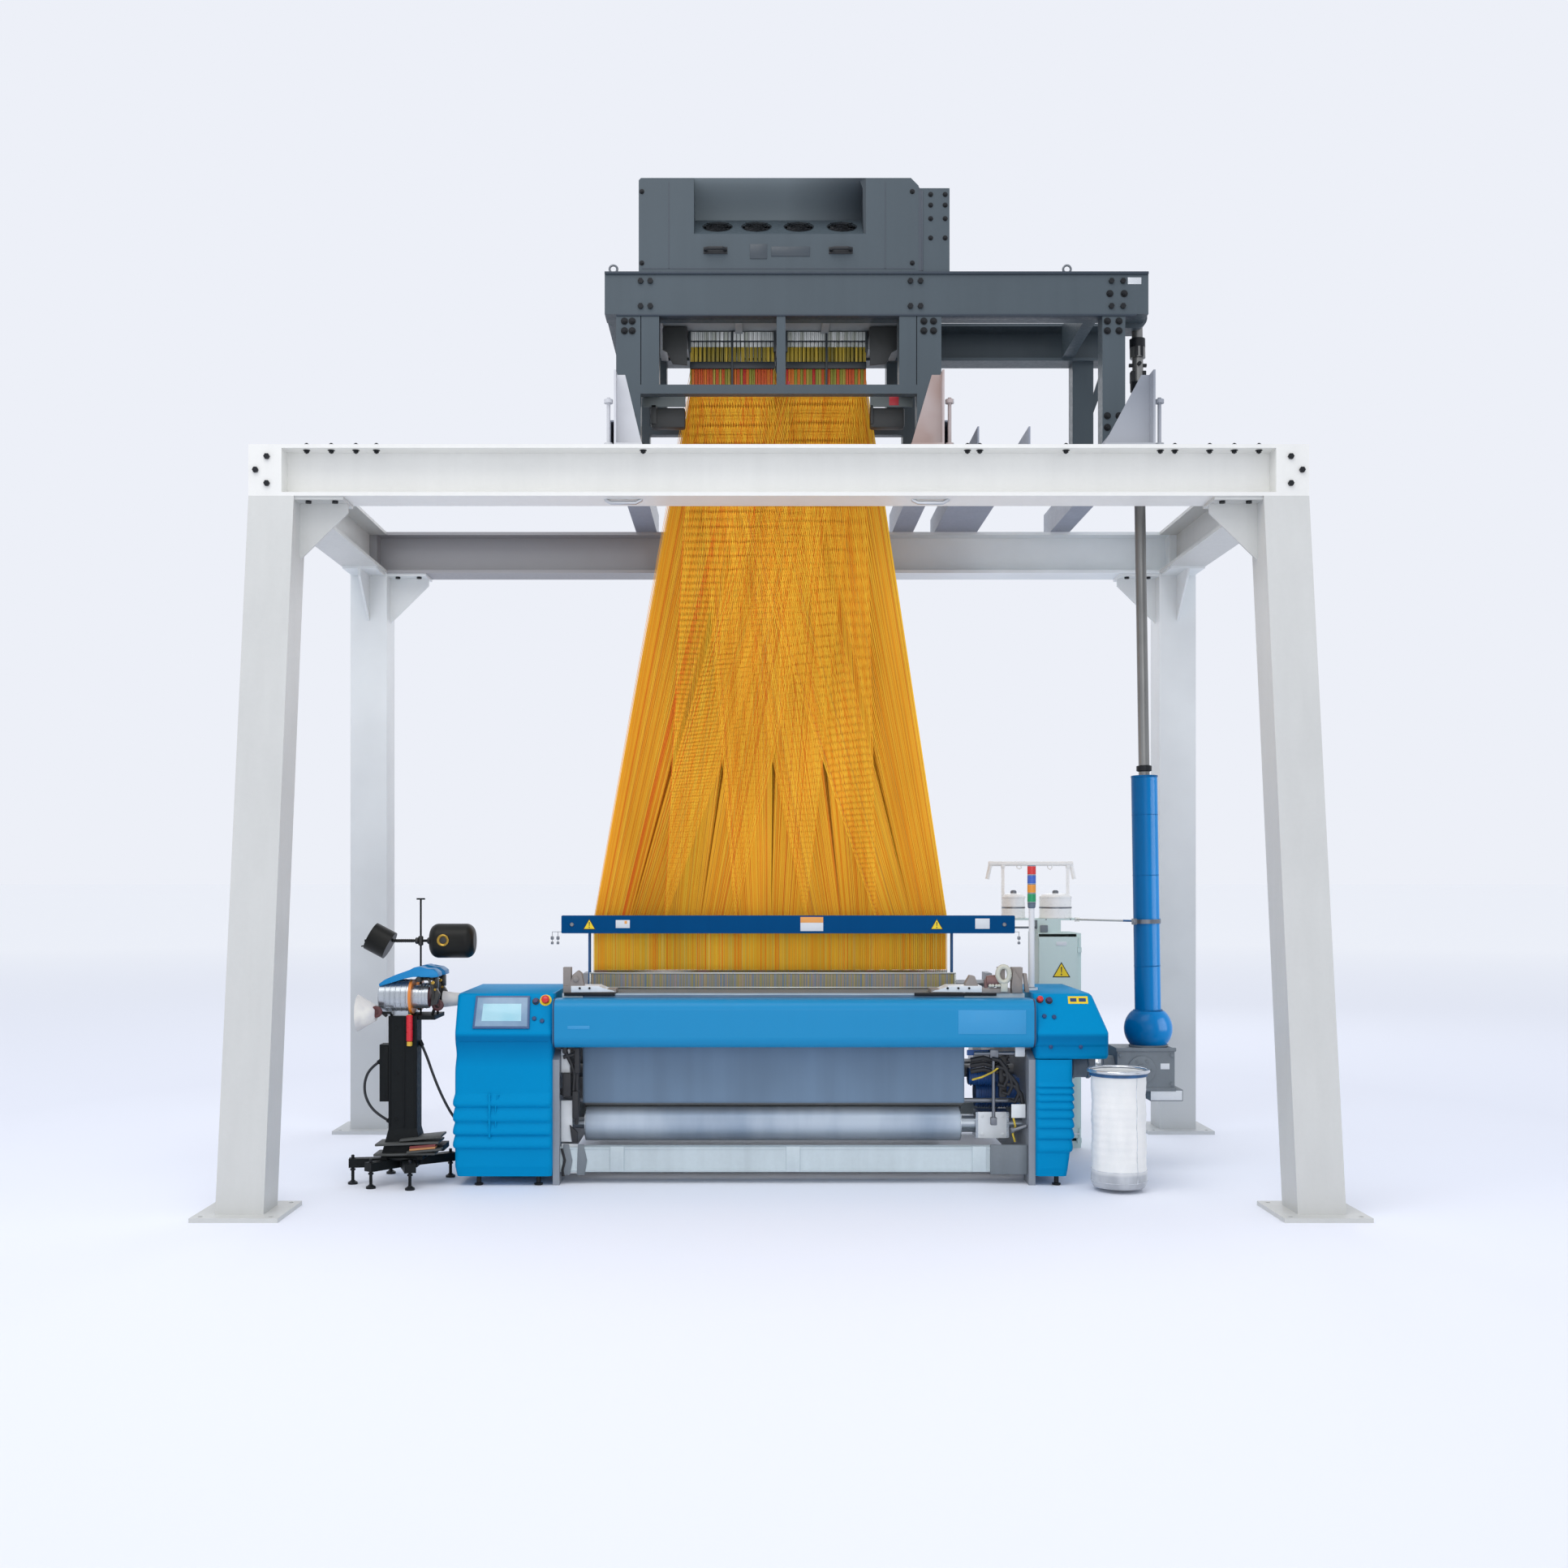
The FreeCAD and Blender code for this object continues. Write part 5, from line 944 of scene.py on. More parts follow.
face = guard_low.y
yellow, black, white, orange = Work(), Work(), Work(), Work()
for x in (-0.985, 0.842):
    warning_sign(yellow, black, Vector((x, face, 1.298)), 0.058)
white.blocks(0.0005, ((-0.846, face - 0.0012, 1.284), (-0.772, face + 0.001, 1.326)),
                     ((0.125, face - 0.0012, 1.268), (0.245, face + 0.001, 1.312)),
                     ((1.044, face - 0.0012, 1.280), (1.120, face + 0.001, 1.334)))
orange.blocks(0.0005, ((0.125, face - 0.0012, 1.312), (0.245, face + 0.001, 1.342)),
                      ((-0.800, face - 0.0016, 1.306), (-0.786, face + 0.001, 1.322)))
ends = Work()
for x in (guard_low.x + 0.055, guard_high.x - 0.055):
    ends.turned((x, face + 0.001, 1.302), TO_FRONT, [(0, 0.011), (0.003, 0.011), (0.006, 0.008), (0.006, 0.0)],
        20)
for x in (guard_low.x - 0.050, guard_low.x - 0.020, guard_high.x + 0.024):
    ends.blocks(0.003, ((x - 0.008, face + 0.012, 1.222), (x + 0.008, face + 0.026, 1.240)),
                       ((x - 0.007, face + 0.012, 1.198), (x + 0.007, face + 0.026, 1.212)))
    ends.rod((x, face + 0.019, 1.200), (x, face + 0.019, 1.264), 0.0012, 0.0, 8)
    inward = 0.07 if x < 0 else -0.05
    ends.rod((x, face + 0.019, 1.2635), (x + inward, face + 0.019, 1.2635), 0.0012, 0.0, 8)
yellow.done("guard_triangles", warning_yellow, slot="guard_blue")
black.done("guard_triangle_rims", sign_black, slot="guard_blue")
white.done("guard_labels", label_white, slot="guard_blue")
orange.done("guard_label_bands", label_orange, slot="guard_blue")
ends.done("guard_screws", zinc, slot="bolt_steel")

# --- Loom covers ---------------------------------------------------------------------------------
# Pressed steel covers close the drives at both sides: an upright face with wavy stiffening ribs under
# a sloping console. They are drawn here level by level, each a rounded rectangle seen from above.
COVER_BLUE, COVER_SHADE = srgb(0, 138, 193), srgb(0, 104, 158)
cover_blue, place = new_finish("cover_enamel")
# Painted shade: the covers' faces are painted darker, towards COVER_SHADE, in a band from 0.60 m up to just
# under the console's edge.
band_shade = place.axis(2).between(0.60, 0.742) * place.axis(2).between(0.750, 0.768, 1.0, 0.0)
cloud = place.noise(1.7, 4.0).between(0.36, 0.64)
lacquer(place, (band_shade * 0.9 + cloud * 0.1).blend(COVER_BLUE, COVER_SHADE), 0.34, 0.42, 0.04)
left_low, left_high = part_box("left_cover")
right_low, right_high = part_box("right_cover")
FACE_TOP, CONSOLE_BACK, CORNER = 0.770, -0.500, 0.024


def front_line(z):
    """How far forward a cover's face stands at a height: upright, then sloping back to the top."""
    if z <= FACE_TOP:
        return left_low.y
    return left_low.y + (CONSOLE_BACK - left_low.y) * (z - FACE_TOP) / (left_high.z - FACE_TOP)


def cover(levels, back):
    """Lofts a cover from (height, left, right, front) levels, with rounded upright corners."""
    work = Work()
    rings = []
    for z, x0, x1, y0 in levels:
        corners = []
        for cx, cy, begin in ((x1 - CORNER, y0 + CORNER, -90), (x1 - 0.004, back - 0.004, 0),
                              (x0 + 0.004, back - 0.004, 90), (x0 + CORNER, y0 + CORNER, 180)):
            size = CORNER if cy < back - 0.01 else 0.004
            for k in range(5):
                turn = math.radians(begin + 22.5 * k)
                corners.append((cx + size * math.cos(turn), cy + size * math.sin(turn), z))
        front = [(x0 + CORNER + (x1 - x0 - 2 * CORNER) * k / 8, y0, z) for k in range(1, 8)]
        rings.append([work.mesh.verts.new(corner) for corner in corners + front])
    work.skinned(rings)
    return work


def rib(z, edges):
    """The swell of the pressed ribs at a height: each rises slowly and drops back sharply."""
    for low, high in zip(edges, edges[1:]):
        if low <= z < high:
            share = (z - low) / (high - low)
            return math.sin(math.pi * min(1.0, share ** 0.55))
    return 0.0


LEFT_RIBS = (0.190, 0.256, 0.322, 0.399, 0.464)
left_levels = []
for k in range(151):
    z = left_low.z + (left_high.z - left_low.z) * k / 150
    swell = 1.5 * rib(z, LEFT_RIBS)
    waist = 0.007 * math.exp(-((z - 0.66) / 0.05) ** 2)
    tuck = 0.010 * max(0.0, 1 - (z - left_low.z) / 0.05) + 0.006 * max(0.0, (z - left_high.z + 0.012) / 0.012)
    left_levels.append((z, left_low.x + 0.008 - 0.006 * swell + waist + tuck, left_high.x - tuck * 0.3,
                        front_line(z) - 0.010 * swell + tuck))
left_cover = cover(left_levels, left_high.y).done("left_cover_shell", cover_blue, slot="cover_blue", crease=50)
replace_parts(left_cover, "left_cover")

RIGHT_RIBS = (0.170, 0.235, 0.290, 0.340, 0.385, 0.425, 0.462, 0.496, 0.522)
STEP_Z, LOWER_RIGHT = 0.639, 1.492
right_levels = []
for k in range(131):
    z = right_low.z + (STEP_Z - 0.004 - right_low.z) * k / 130
    swell = rib(z, RIGHT_RIBS)
    taper = 0.028 * max(0.0, 1 - (z - right_low.z) / 0.20)
    tuck = 0.008 * max(0.0, 1 - (z - right_low.z) / 0.04)
    right_levels.append((z, right_low.x + 0.001, LOWER_RIGHT - 0.010 + 0.009 * swell - taper,
                         front_line(z) + 0.004 - 0.011 * swell + tuck))
right_lower = cover(right_levels, right_high.y)
upper_levels = []
for k in range(61):
    z = STEP_Z + (right_high.z - STEP_Z) * k / 60
    shoulder = 0.070 * max(0.0, (z - FACE_TOP) / (right_high.z - FACE_TOP))
    tuck = 0.008 * max(0.0, (z - right_high.z + 0.012) / 0.012) + 0.006 * max(0.0, 1 - (z - STEP_Z) / 0.014)
    ledge = 0.005 if z < 0.706 else 0.0
    upper_levels.append((z, right_low.x + 0.001, right_high.x - shoulder - tuck, front_line(z) + tuck + ledge))
right_upper = cover(upper_levels, right_high.y)
right_cover = right_upper.done("right_cover_shell", cover_blue, slot="cover_blue", crease=50)
right_lower.done("right_cover_leg", cover_blue, slot="cover_blue", crease=50)
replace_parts(right_cover, "right_cover")
dress(painted("front_cover_enamel", srgb(20, 136, 188), 0.34, 0.012, 0.0, shine=0.25), "front_cover")

grooves = Work()
x = -1.445
grooves.bent([(x, left_low.y - 0.010, 0.250), (x, left_low.y - 0.013, 0.262), (x, left_low.y - 0.014, 0.360),
              (x, left_low.y - 0.013, 0.452), (x, left_low.y - 0.008, 0.464)], 0.0065, 10)
grooves.bent([(x + 0.045, left_low.y - 0.008, 0.262), (x + 0.030, left_low.y - 0.009, 0.300),
              (x + 0.030, left_low.y - 0.009, 0.420), (x + 0.045, left_low.y - 0.008, 0.462)], 0.004, 8)
grooves.bent([(left_low.x + 0.03, left_low.y - 0.0005, 0.730),
    (left_high.x - 0.02, left_low.y - 0.0005, 0.730)], 0.0022, 6)
grooves.done("left_cover_groove", cover_blue, slot="cover_blue")

# Dark strips fill the gaps at the front cover's two ends, as painted shade.
gaps = Work()
front_low, front_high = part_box("front_cover")
for x in (front_low.x + 0.006, front_high.x - 0.006):
    section = [(front_low.y + 0.055 - 0.0555 * math.cos(t), front_high.z - 0.055 + 0.0555 * math.sin(t))
               for t in np.linspace(0, math.pi / 2, 7)]
    low_section = [(front_low.y + 0.055 - 0.0555 * math.cos(t), front_low.z + 0.055 - 0.0555 * math.sin(t))
                   for t in np.linspace(math.pi / 2, 0, 7)]
    outline = low_section + section + [(front_high.y, front_high.z + 0.0006),
        (front_high.y, front_low.z - 0.0006)]
    gaps.prism([(x - 0.004, y, z) for y, z in outline], (0.008, 0, 0))
gaps.done("front_cover_end_gaps", rubber("end_gap_shade", srgb(34, 52, 84)), slot="cover_blue")

plate = Work()
plate.block((0.905, front_low.y - 0.0012, 0.765), (1.245, front_low.y + 0.002, 0.885), 0.0008)
plate.block((-1.055, front_low.y - 0.0010, 0.790), (-0.945, front_low.y + 0.002, 0.806), 0.0006)
plate.done("front_cover_plate", painted("plate_blue", srgb(44, 146, 200), 0.4, 0.03), slot="cover_blue")

# --- Consoles ------------------------------------------------------------------------------------
# Each console has a start and a stop button in black collars. The left one carries a framed touch
# screen, bonded glass over a pale panel, and the right one a yellow plate with two dark keys.
def on_console(x, share, out=0.0):
    """A point on the sloping console face: a share of the way up it, a height off it."""
    rise = Vector((0, CONSOLE_BACK - left_low.y, left_high.z - FACE_TOP))
    normal = Vector((0, -rise.z, rise.y)).normalized()
    return Vector((x, left_low.y, FACE_TOP)) + rise * share + normal * out


console_out = on_console(0, 0, 1) - on_console(0, 0)


def on_face(work, x0, x1, low, high, thick, edge=0.0, slant=0.0):
    """A flat plate on the console, between two shares of its height; slant leans its sides inwards."""
    corners = [on_console(x0, low), on_console(x1, low), on_console(x1 - slant, high),
        on_console(x0 + slant, high)]
    work.prism(corners, console_out * thick, edge)


bezel, glass, lit = Work(), Work(), Work()
on_face(bezel, -1.533, -1.247, 0.10, 0.93, 0.010, 0.003, slant=0.006)
on_face(glass, -1.522, -1.258, 0.15, 0.88, 0.0115, 0.001, slant=0.006)
on_face(lit, -1.490, -1.290, 0.28, 0.72, 0.0122, 0.0004, slant=0.004)
bezel.done("screen_bezel", moulded("bezel_slate", srgb(64, 92, 132), 0.3), slot="button_dark")
screen_finish, place = new_finish("screen_glass")
surface(place, None, Base_Color=place.noise(9.0).blend(srgb(96, 128, 160), srgb(150, 178, 200)), Roughness=0.12)
glass.done("screen_glass", screen_finish, slot="button_dark")
lit_finish, place = new_finish("screen_panel")
panel = place.noise(7.0, 1.0).blend(srgb(128, 196, 214), srgb(196, 226, 234))
surface(place, None, Base_Color=panel, Roughness=0.2)
lit.done("screen_panel", lit_finish, slot="button_dark")

collars, keys, yellow_ring = Work(), Work(), Work()
for x, share in ((-1.174, 0.83), (-1.223, 0.80), (1.327, 0.84), (1.373, 0.82)):
    collars.turned(on_console(x, share, 0.0002), console_out, [(0, 0.0185), (0.0006, 0.0185), (0.0011, 0.0175),
        (0.0011, 0.0125), (0, 0.0125), (0, 0.0185)], 28)
yellow_ring.turned(on_console(-1.174, 0.83, 0.0001), console_out,
                   [(0, 0.030), (0.0006, 0.030), (0.0011, 0.029), (0.0011, 0.019), (0, 0.019), (0, 0.030)], 28)
for x, share in ((-1.226, 0.36), (-1.186, 0.30), (1.343, 0.42), (1.392, 0.40)):
    keys.turned(on_console(x, share), console_out, stud(0.011, 0.006, 0.008, 0.009), 20)
for x in (1.370, 1.520):
    keys.turned((x, right_low.y + 0.004, 0.700), TO_FRONT, stud(0.010, 0.004, 0.006, 0.007), 20)
on_face(yellow_ring, 1.470, 1.570, 0.74, 0.93, 0.0015)
on_face(keys, 1.480, 1.512, 0.79, 0.88, 0.0022)
on_face(keys, 1.524, 1.560, 0.79, 0.88, 0.0022)
collars.done("button_collars", sign_black, slot="button_dark")
keys.done("console_keys", moulded("key_navy", srgb(22, 60, 110)), slot="button_dark")
yellow_ring.done("console_yellow", warning_yellow, slot="button_dark")
dress(moulded("button_red", srgb(214, 34, 42), 0.25), "stop_button_left", "stop_button_right")
dress(moulded("button_dark", srgb(60, 40, 84), 0.25), "start_button_left", "start_button_right")

CAP_TOP = 0.0183
for name, x, share, radius in (("stop_button_left", -1.174, 0.83, 0.020),
        ("stop_button_right", 1.327, 0.84, 0.015)):
    cap = Work()
    cap.turned(on_console(x, share, CAP_TOP), console_out, [(0, radius * 0.99), (0.0025, radius * 0.94),
        (0.0045, radius * 0.78), (0.006, radius * 0.4), (0.0065, 0)], 28)
    cap.done(name + "_crown", bpy.data.materials["button_red"], body=name, slot="button_red")

# --- Loom frame ----------------------------------------------------------------------------------
# Cast side frames joined by box cross beams, painted a pale machine grey that has dulled with oil and
# lint. Stiffening ribs cross the front sill, and levers, plates and hoses fill the frame's ends.
SILL_FACE, SILL_Z = -0.520, (0.060, 0.186)
frame_pale = painted("frame_enamel", srgb(190, 202, 206), 0.45, 0.09)
frame_dark = painted("frame_oiled", srgb(112, 120, 126), 0.5, 0.14)
dress(frame_pale, "loom_cross_beams")
dress(painted("side_frame_enamel", srgb(136, 142, 150), 0.48, 0.10), "side_frame_left", "side_frame_right")
dress(frame_dark, "drive_gearbox")
dress(painted("motor_blue", srgb(30, 84, 150), 0.4, 0.08), "main_motor")
black_hose = rubber("black_hose", srgb(30, 31, 34))
plate_white = painted("plate_white", srgb(222, 226, 228), 0.42, 0.06)

ribs = Work()
for x in (-0.812, 0.078, 1.020):
    ribs.block((x - 0.035, SILL_FACE - 0.008, SILL_Z[0] + 0.002),
        (x + 0.035, SILL_FACE + 0.004, SILL_Z[1] + 0.004), 0.003)
for z in (SILL_Z[0] + 0.006, SILL_Z[1] - 0.010):
    ribs.block((-1.095, SILL_FACE - 0.004, z), (1.258, SILL_FACE + 0.003, z + 0.008), 0.002)
ribs.done("sill_ribs", frame_pale, slot="frame_iron")
sill_ends = Work()
sill_ends.block((1.075, SILL_FACE - 0.012, SILL_Z[0] - 0.010), (1.262, SILL_FACE + 0.012, SILL_Z[1] + 0.012),
    0.004)
for x in (-1.090, -1.016):
    sill_ends.upright(SILL_FACE - 0.006, 0.010, [(x, 0.046), (x + 0.040, 0.046), (x + 0.052, 0.120),
        (x + 0.034, 0.200), (x + 0.006, 0.200)], 0.002)
sill_ends.done("sill_end_plates", frame_dark, slot="frame_iron")

bars = Work()
bars.rod((-1.100, -0.417, 0.409), (1.264, -0.417, 0.409), 0.012, 0.001)
bars.rod((1.100, -0.468, 0.300), (1.100, -0.468, 0.640), 0.009, 0.001, 14)
bars.rod((1.000, -0.470, 0.655), (1.262, -0.470, 0.655), 0.010, 0.001, 14)
bars.blocks(0.004, ((1.080, -0.482, 0.632), (1.124, -0.452, 0.676)),
                   ((1.084, -0.484, 0.290), (1.116, -0.452, 0.330)))
bars.rod((1.190, -0.505, 0.268), (1.262, -0.512, 0.292), 0.010, 0.002, 16)
bars.turned((1.196, -0.505, 0.270), TO_LEFT, [(0, 0.010), (0.002, 0.016), (0.012, 0.016), (0.014, 0.009),
    (0.014, 0)], 16)
bars.done("guide_bars", zinc, slot="roller_steel")

levers = Work()
LEVER_Y = -0.545
for points in (((-1.088, 0.730), (-1.070, 0.660), (-1.045, 0.610), (-1.028, 0.560), (-1.034, 0.470)),
               ((-1.020, 0.700), (-1.012, 0.600), (-1.016, 0.500), (-1.008, 0.400), (-1.020, 0.300)),
               ((-1.085, 0.640), (-1.030, 0.655), (-1.000, 0.640))):
    levers.bent([(x, LEVER_Y + 0.03, z) for x, z in points], 0.010, 10)
for x, low, high, wide in ((-1.066, 0.440, 0.560, 0.022), (-1.022, 0.330, 0.470, 0.016),
        (-1.076, 0.660, 0.700, 0.012), (-1.014, 0.560, 0.690, 0.014)):
    levers.block((x - wide, LEVER_Y + 0.01, low), (x + wide, LEVER_Y + 0.05, high), 0.006)
levers.upright(LEVER_Y + 0.012, 0.02, [(-1.052, 0.300), (-1.010, 0.260), (-1.012, 0.210), (-1.040, 0.214)],
    0.003)
levers.bent([(-1.092, LEVER_Y + 0.02, 0.180), (-1.076, LEVER_Y + 0.02, 0.120), (-1.088, LEVER_Y + 0.02, 0.070),
             (-1.084, LEVER_Y + 0.02, 0.040)], 0.007, 8)
levers.block((-1.100, LEVER_Y + 0.03, 0.450), (-1.040, LEVER_Y + 0.06, 0.480), 0.004)
for x, z in ((1.172, 0.560), (1.206, 0.520), (1.150, 0.600), (1.226, 0.470)):
    levers.bent([(x - 0.060, -0.480, z + 0.030), (x - 0.020, -0.486, z + 0.020),
        (x + 0.010, -0.488, z - 0.020), (x + 0.020, -0.486, z - 0.070), (x, -0.482, z - 0.110),
        (x - 0.030, -0.480, z - 0.100)], 0.011, 10)
for z in (0.560, 0.590, 0.618):
    levers.bent([(0.985, -0.452, z), (1.050, -0.456, z + 0.012), (1.110, -0.450, z - 0.004),
        (1.180, -0.446, z + 0.022)], 0.013, 10)
levers.block((1.128, -0.470, 0.430), (1.168, -0.440, 0.640), 0.006)
levers.block((-1.100, LEVER_Y + 0.03, 0.680), (-1.000, LEVER_Y + 0.05, 0.705), 0.004)
levers.done("end_levers_and_hoses", black_hose, slot="hose_rubber")

plates = Work()
plates.blocks(0.003, ((-1.098, -0.505, 0.210), (-1.040, -0.498, 0.420)),
                     ((-1.098, -0.500, 0.560), (-1.052, -0.494, 0.690)),
                     ((-1.096, -0.505, 0.050), (-1.012, -0.497, 0.200)),
                     ((1.186, -0.500, 0.330), (1.258, -0.492, 0.400)),
                     ((1.206, -0.494, 0.640), (1.256, -0.486, 0.692)))
plates.done("end_plates", plate_white, slot="frame_iron")

wires = Work()
wires.bent([(0.990, -0.470, 0.520), (1.040, -0.476, 0.535), (1.090, -0.486, 0.560), (1.130, -0.486, 0.590)],
    0.005, 8)
wires.bent([(1.196, -0.498, 0.330), (1.206, -0.500, 0.290), (1.192, -0.500, 0.250), (1.204, -0.500, 0.210)],
    0.005, 8)
wires.done("yellow_wires", rubber("wire_yellow", srgb(196, 170, 50)), slot="hose_rubber")

blues = Work()
blues.block((0.970, -0.430, 0.640), (1.120, -0.420, 0.668), 0.003)
blues.turned((0.990, -0.300, 0.520), TO_RIGHT, barrel(0.040, 0.004, 0.046, 0.12, 0.124), 28)
for k in range(9):
    blues.turned((1.004 + k * 0.012, -0.300, 0.520), TO_RIGHT, barrel(0.046, 0.001, 0.052, 0.004, 0.005), 28)
blues.done("letoff_motor", bpy.data.materials["motor_blue"], slot="frame_iron")

fins = Work()
for k in range(14):
    x = 1.056 + k * 0.013
    fins.turned((x, -0.190, 0.420), TO_RIGHT, barrel(0.0722, 0.0008, 0.0790, 0.0045, 0.0053), 36)
fins.block((1.110, -0.222, 0.490), (1.190, -0.158, 0.528), 0.004)
fins.done("motor_fins", bpy.data.materials["motor_blue"], slot="frame_iron")

# --- Rollers, sley and reed ----------------------------------------------------------------------
# Ground steel rollers run between the side frames. The sley is a box beam on rocking swords, and its
# reed is a comb of flat dents, through which the dyed sleeves of the healds show in patches.
DENTS_FOOT = 0.917


def ground_steel(name, colour, rough=0.3, along=(1.5, 90.0, 90.0)):
    """Ground or drawn steel with fine turning marks and a slow stain of oil."""
    finish, place = new_finish(name)
    marks_lead = place.stretched(*along).noise(3.0, 3.0)
    stain = place.noise(4.0, 3.0)
    surface(place, marks_lead, 0.0001,
            Base_Color=stain.spread().shades(colour, 0.88, 1.08),
            Roughness=marks_lead.spread(rough - 0.08, rough + 0.1), Metallic=0.85)
    return finish


roller_steel = ground_steel("roller_steel", srgb(176, 180, 184))
dress(roller_steel, "takeup_roller", "press_roller", "backrest_roller", "main_shaft")

finish, place = new_finish("reed_and_sley")
height = place.axis(2)
patch = place.node("ShaderNodeTexNoise", {"noise_dimensions": "1D"}, {"W": place.axis(0) * 14.0, "Detail": 1.0})
sleeves = patch.ramp([(0.0, srgb(104, 124, 146)), (0.34, srgb(138, 142, 150)), (0.43, srgb(96, 122, 150)),
                      (0.50, srgb(158, 148, 78)), (0.56, srgb(172, 146, 132)), (0.63, srgb(116, 132, 98)),
                      (0.72, srgb(162, 140, 146)), (1.0, srgb(98, 122, 150))])
dents = place.maths("FRACT", place.axis(0) / 0.006).between(0.3, 0.5, 0.62, 1.0)
combed = sleeves.times(dents.blend((0, 0, 0, 1), (1, 1, 1, 1)))
fade = height.between(0.960, 1.040)
combed = fade.blend(combed, combed.times((1.12, 1.12, 1.12, 1)))
is_reed = height.maths("GREATER_THAN", height, DENTS_FOOT)
stain = place.noise(4.0, 3.0)
surface(place, dents, 0.0005, Base_Color=is_reed.blend(stain.blend(srgb(120, 124, 128), srgb(150, 152, 154)),
    combed), Roughness=0.5, Metallic=is_reed.between(0, 1, 0.6, 0.0))
dress(finish, "sley")
reed_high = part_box("sley")[1]
reed_rails = Work()
reed_rails.blocks(0.002, ((-0.992, -0.123, reed_high.z - 0.006), (0.953, -0.109, reed_high.z + 0.002)),
                         ((-0.992, -0.124, 0.962), (0.953, -0.108, 0.970)))
for x in (-0.992, 0.945):
    reed_rails.block((x, -0.123, 0.918), (x + 0.008, -0.109, reed_high.z), 0.002)
reed_rails.done("reed_rails", ground_steel("reed_rail_steel", srgb(196, 200, 196)), body="sley",
    slot="roller_steel")

# --- Cloth and its roll --------------------------------------------------------------------------
# A slate-blue cloth runs from the fell over the breast beam, down behind the front cover, over a
# guide bar, and winds on to the roll from above. Its flat run from the fell is painted darker grey as
# painted shade, and the wound cloth is painted lighter and silvery, with painted glints, as painted sheen.
# The finished cloth shows soft upright creases.
CLOTH_HALF, CLOTH_TOP, CLOTH_FACE = 0.0005, 0.9580, -0.4308
SHEET_THICK, PICK = 0.0008, 0.0016
ROLL_AT, ROLL_WOUND = Vector((0, -0.343, 0.281)), 0.0878
cloth_low, cloth_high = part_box("cloth")


def woven(name, colour, pitch):
    """Woven cloth: a fine weave, pulled a little out of line, over slow changes of shade."""
    finish, place = new_finish(name)
    warp_wave = place.maths("SINE", place.axis(0) * (math.tau / pitch))
    drop = place.node("ShaderNodeUVMap", {"uv_map": "run"}).axis(1)
    weft_wave = drop.maths("SINE", drop * (math.tau / pitch))
    streak = place.stretched(9.0, 0.4, 0.4).noise(1.0, 3.0)
    cloud = place.noise(2.2, 3.0)
    tone = streak * 0.6 + cloud * 0.4
    # Painted shade: the flat run of cloth from the fell to the breast beam is painted a darker grey.
    shaded_flat_run = place.axis(1).between(-0.424, -0.400)
    shade = tone.between(0.36, 0.64).shades(colour, 0.90, 1.10)
    surface(place, warp_wave * 0.5 + weft_wave * 0.5, 0.0002,
            Base_Color=shaded_flat_run.blend(shade, srgb(112, 114, 112)),
            Roughness=streak.spread(0.7, 0.9), Specular_IOR_Level=0.3,
            Sheen_Weight=0.15)
    return finish


def swept(path, left, right, columns, sway=0.0):
    """A thin sheet that follows a path of (Y, Z) points across a width, with its own run of UV."""
    grid = bmesh.new()
    run_map = grid.loops.layers.uv.new("run")
    lengths = [0.0]
    for first, second in zip(path, path[1:]):
        lengths.append(lengths[-1] + math.dist(first, second))
    rows = []
    for j, (y, z) in enumerate(path):
        before, after = Vector(path[max(j - 1, 0)]), Vector(path[min(j + 1, len(path) - 1)])
        way = (after - before).normalized()
        out = Vector((0, way.y, -way.x))
        row = []
        for i in range(columns + 1):
            x = left + (right - left) * i / columns
            ease = math.sin(math.pi * lengths[j] / lengths[-1])
            ripple = sway * ease * (math.sin(x * 9.3 + 0.6) + 0.5 * math.sin(x * 23.1 + 2.0) + 0.35
                * math.sin(x * 41.0))
            row.append(grid.verts.new(Vector((x, y, z)) + out * ripple))
        rows.append(row)
    for j, (first, second) in enumerate(zip(rows, rows[1:])):
        for i in range(columns):
            face = grid.faces.new((first[i], first[i + 1], second[i + 1], second[i]))
            face.smooth = True
            for loop, (a, b) in zip(face.loops, ((i, j), (i + 1, j), (i + 1, j + 1), (i, j + 1))):
                loop[run_map].uv = ((right - left) * a / columns, lengths[b])
    return grid, lengths[-1]


def arc(centre, radius, begin, end, steps):
    """Points on an arc in the (Y, Z) plane, by angles in degrees."""
    return [(centre[0] + radius * math.cos(math.radians(begin + (end - begin) * k / steps)),
        centre[1] + radius * math.sin(math.radians(begin + (end - begin) * k / steps)))
        for k in range(steps + 1)]


def cloth_sheet(name, path, left, right, columns, finish, thick, sway=0.0):
    """Makes a swept sheet a finished piece with a thickness of its own, and gives its length."""
    grid, length = swept(path, left, right, columns, sway)
    made = placed(name, grid, finish)
    solid = made.modifiers.new("thickness", "SOLIDIFY")
    solid.thickness, solid.offset, solid.use_quality_normals = thick, 0.0, True
    return fitted(made), length


cloth_finish = woven("slate_cloth", srgb(112, 134, 156), PICK)
cloth_path = [(-0.1255 - 0.292 * k / 12, CLOTH_TOP - CLOTH_HALF) for k in range(13)]
cloth_path += arc((-0.4175, 0.9442), 0.0133, 90, 180, 8)[1:]
cloth_path += [(CLOTH_FACE, 0.9442 - 0.533 * k / 30) for k in range(1, 31)]
cloth_path += arc((-0.4175, 0.4105), 0.0133, 180, 256, 8)[1:]
cloth_path += arc((ROLL_AT.y, ROLL_AT.z), ROLL_WOUND + SHEET_THICK, 79, 2, 14)
cloth_piece, cloth_long = cloth_sheet("cloth_sheet", cloth_path, cloth_low.x, cloth_high.x, 160, cloth_finish,
    SHEET_THICK, 0.0003)
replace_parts(cloth_piece, "cloth")

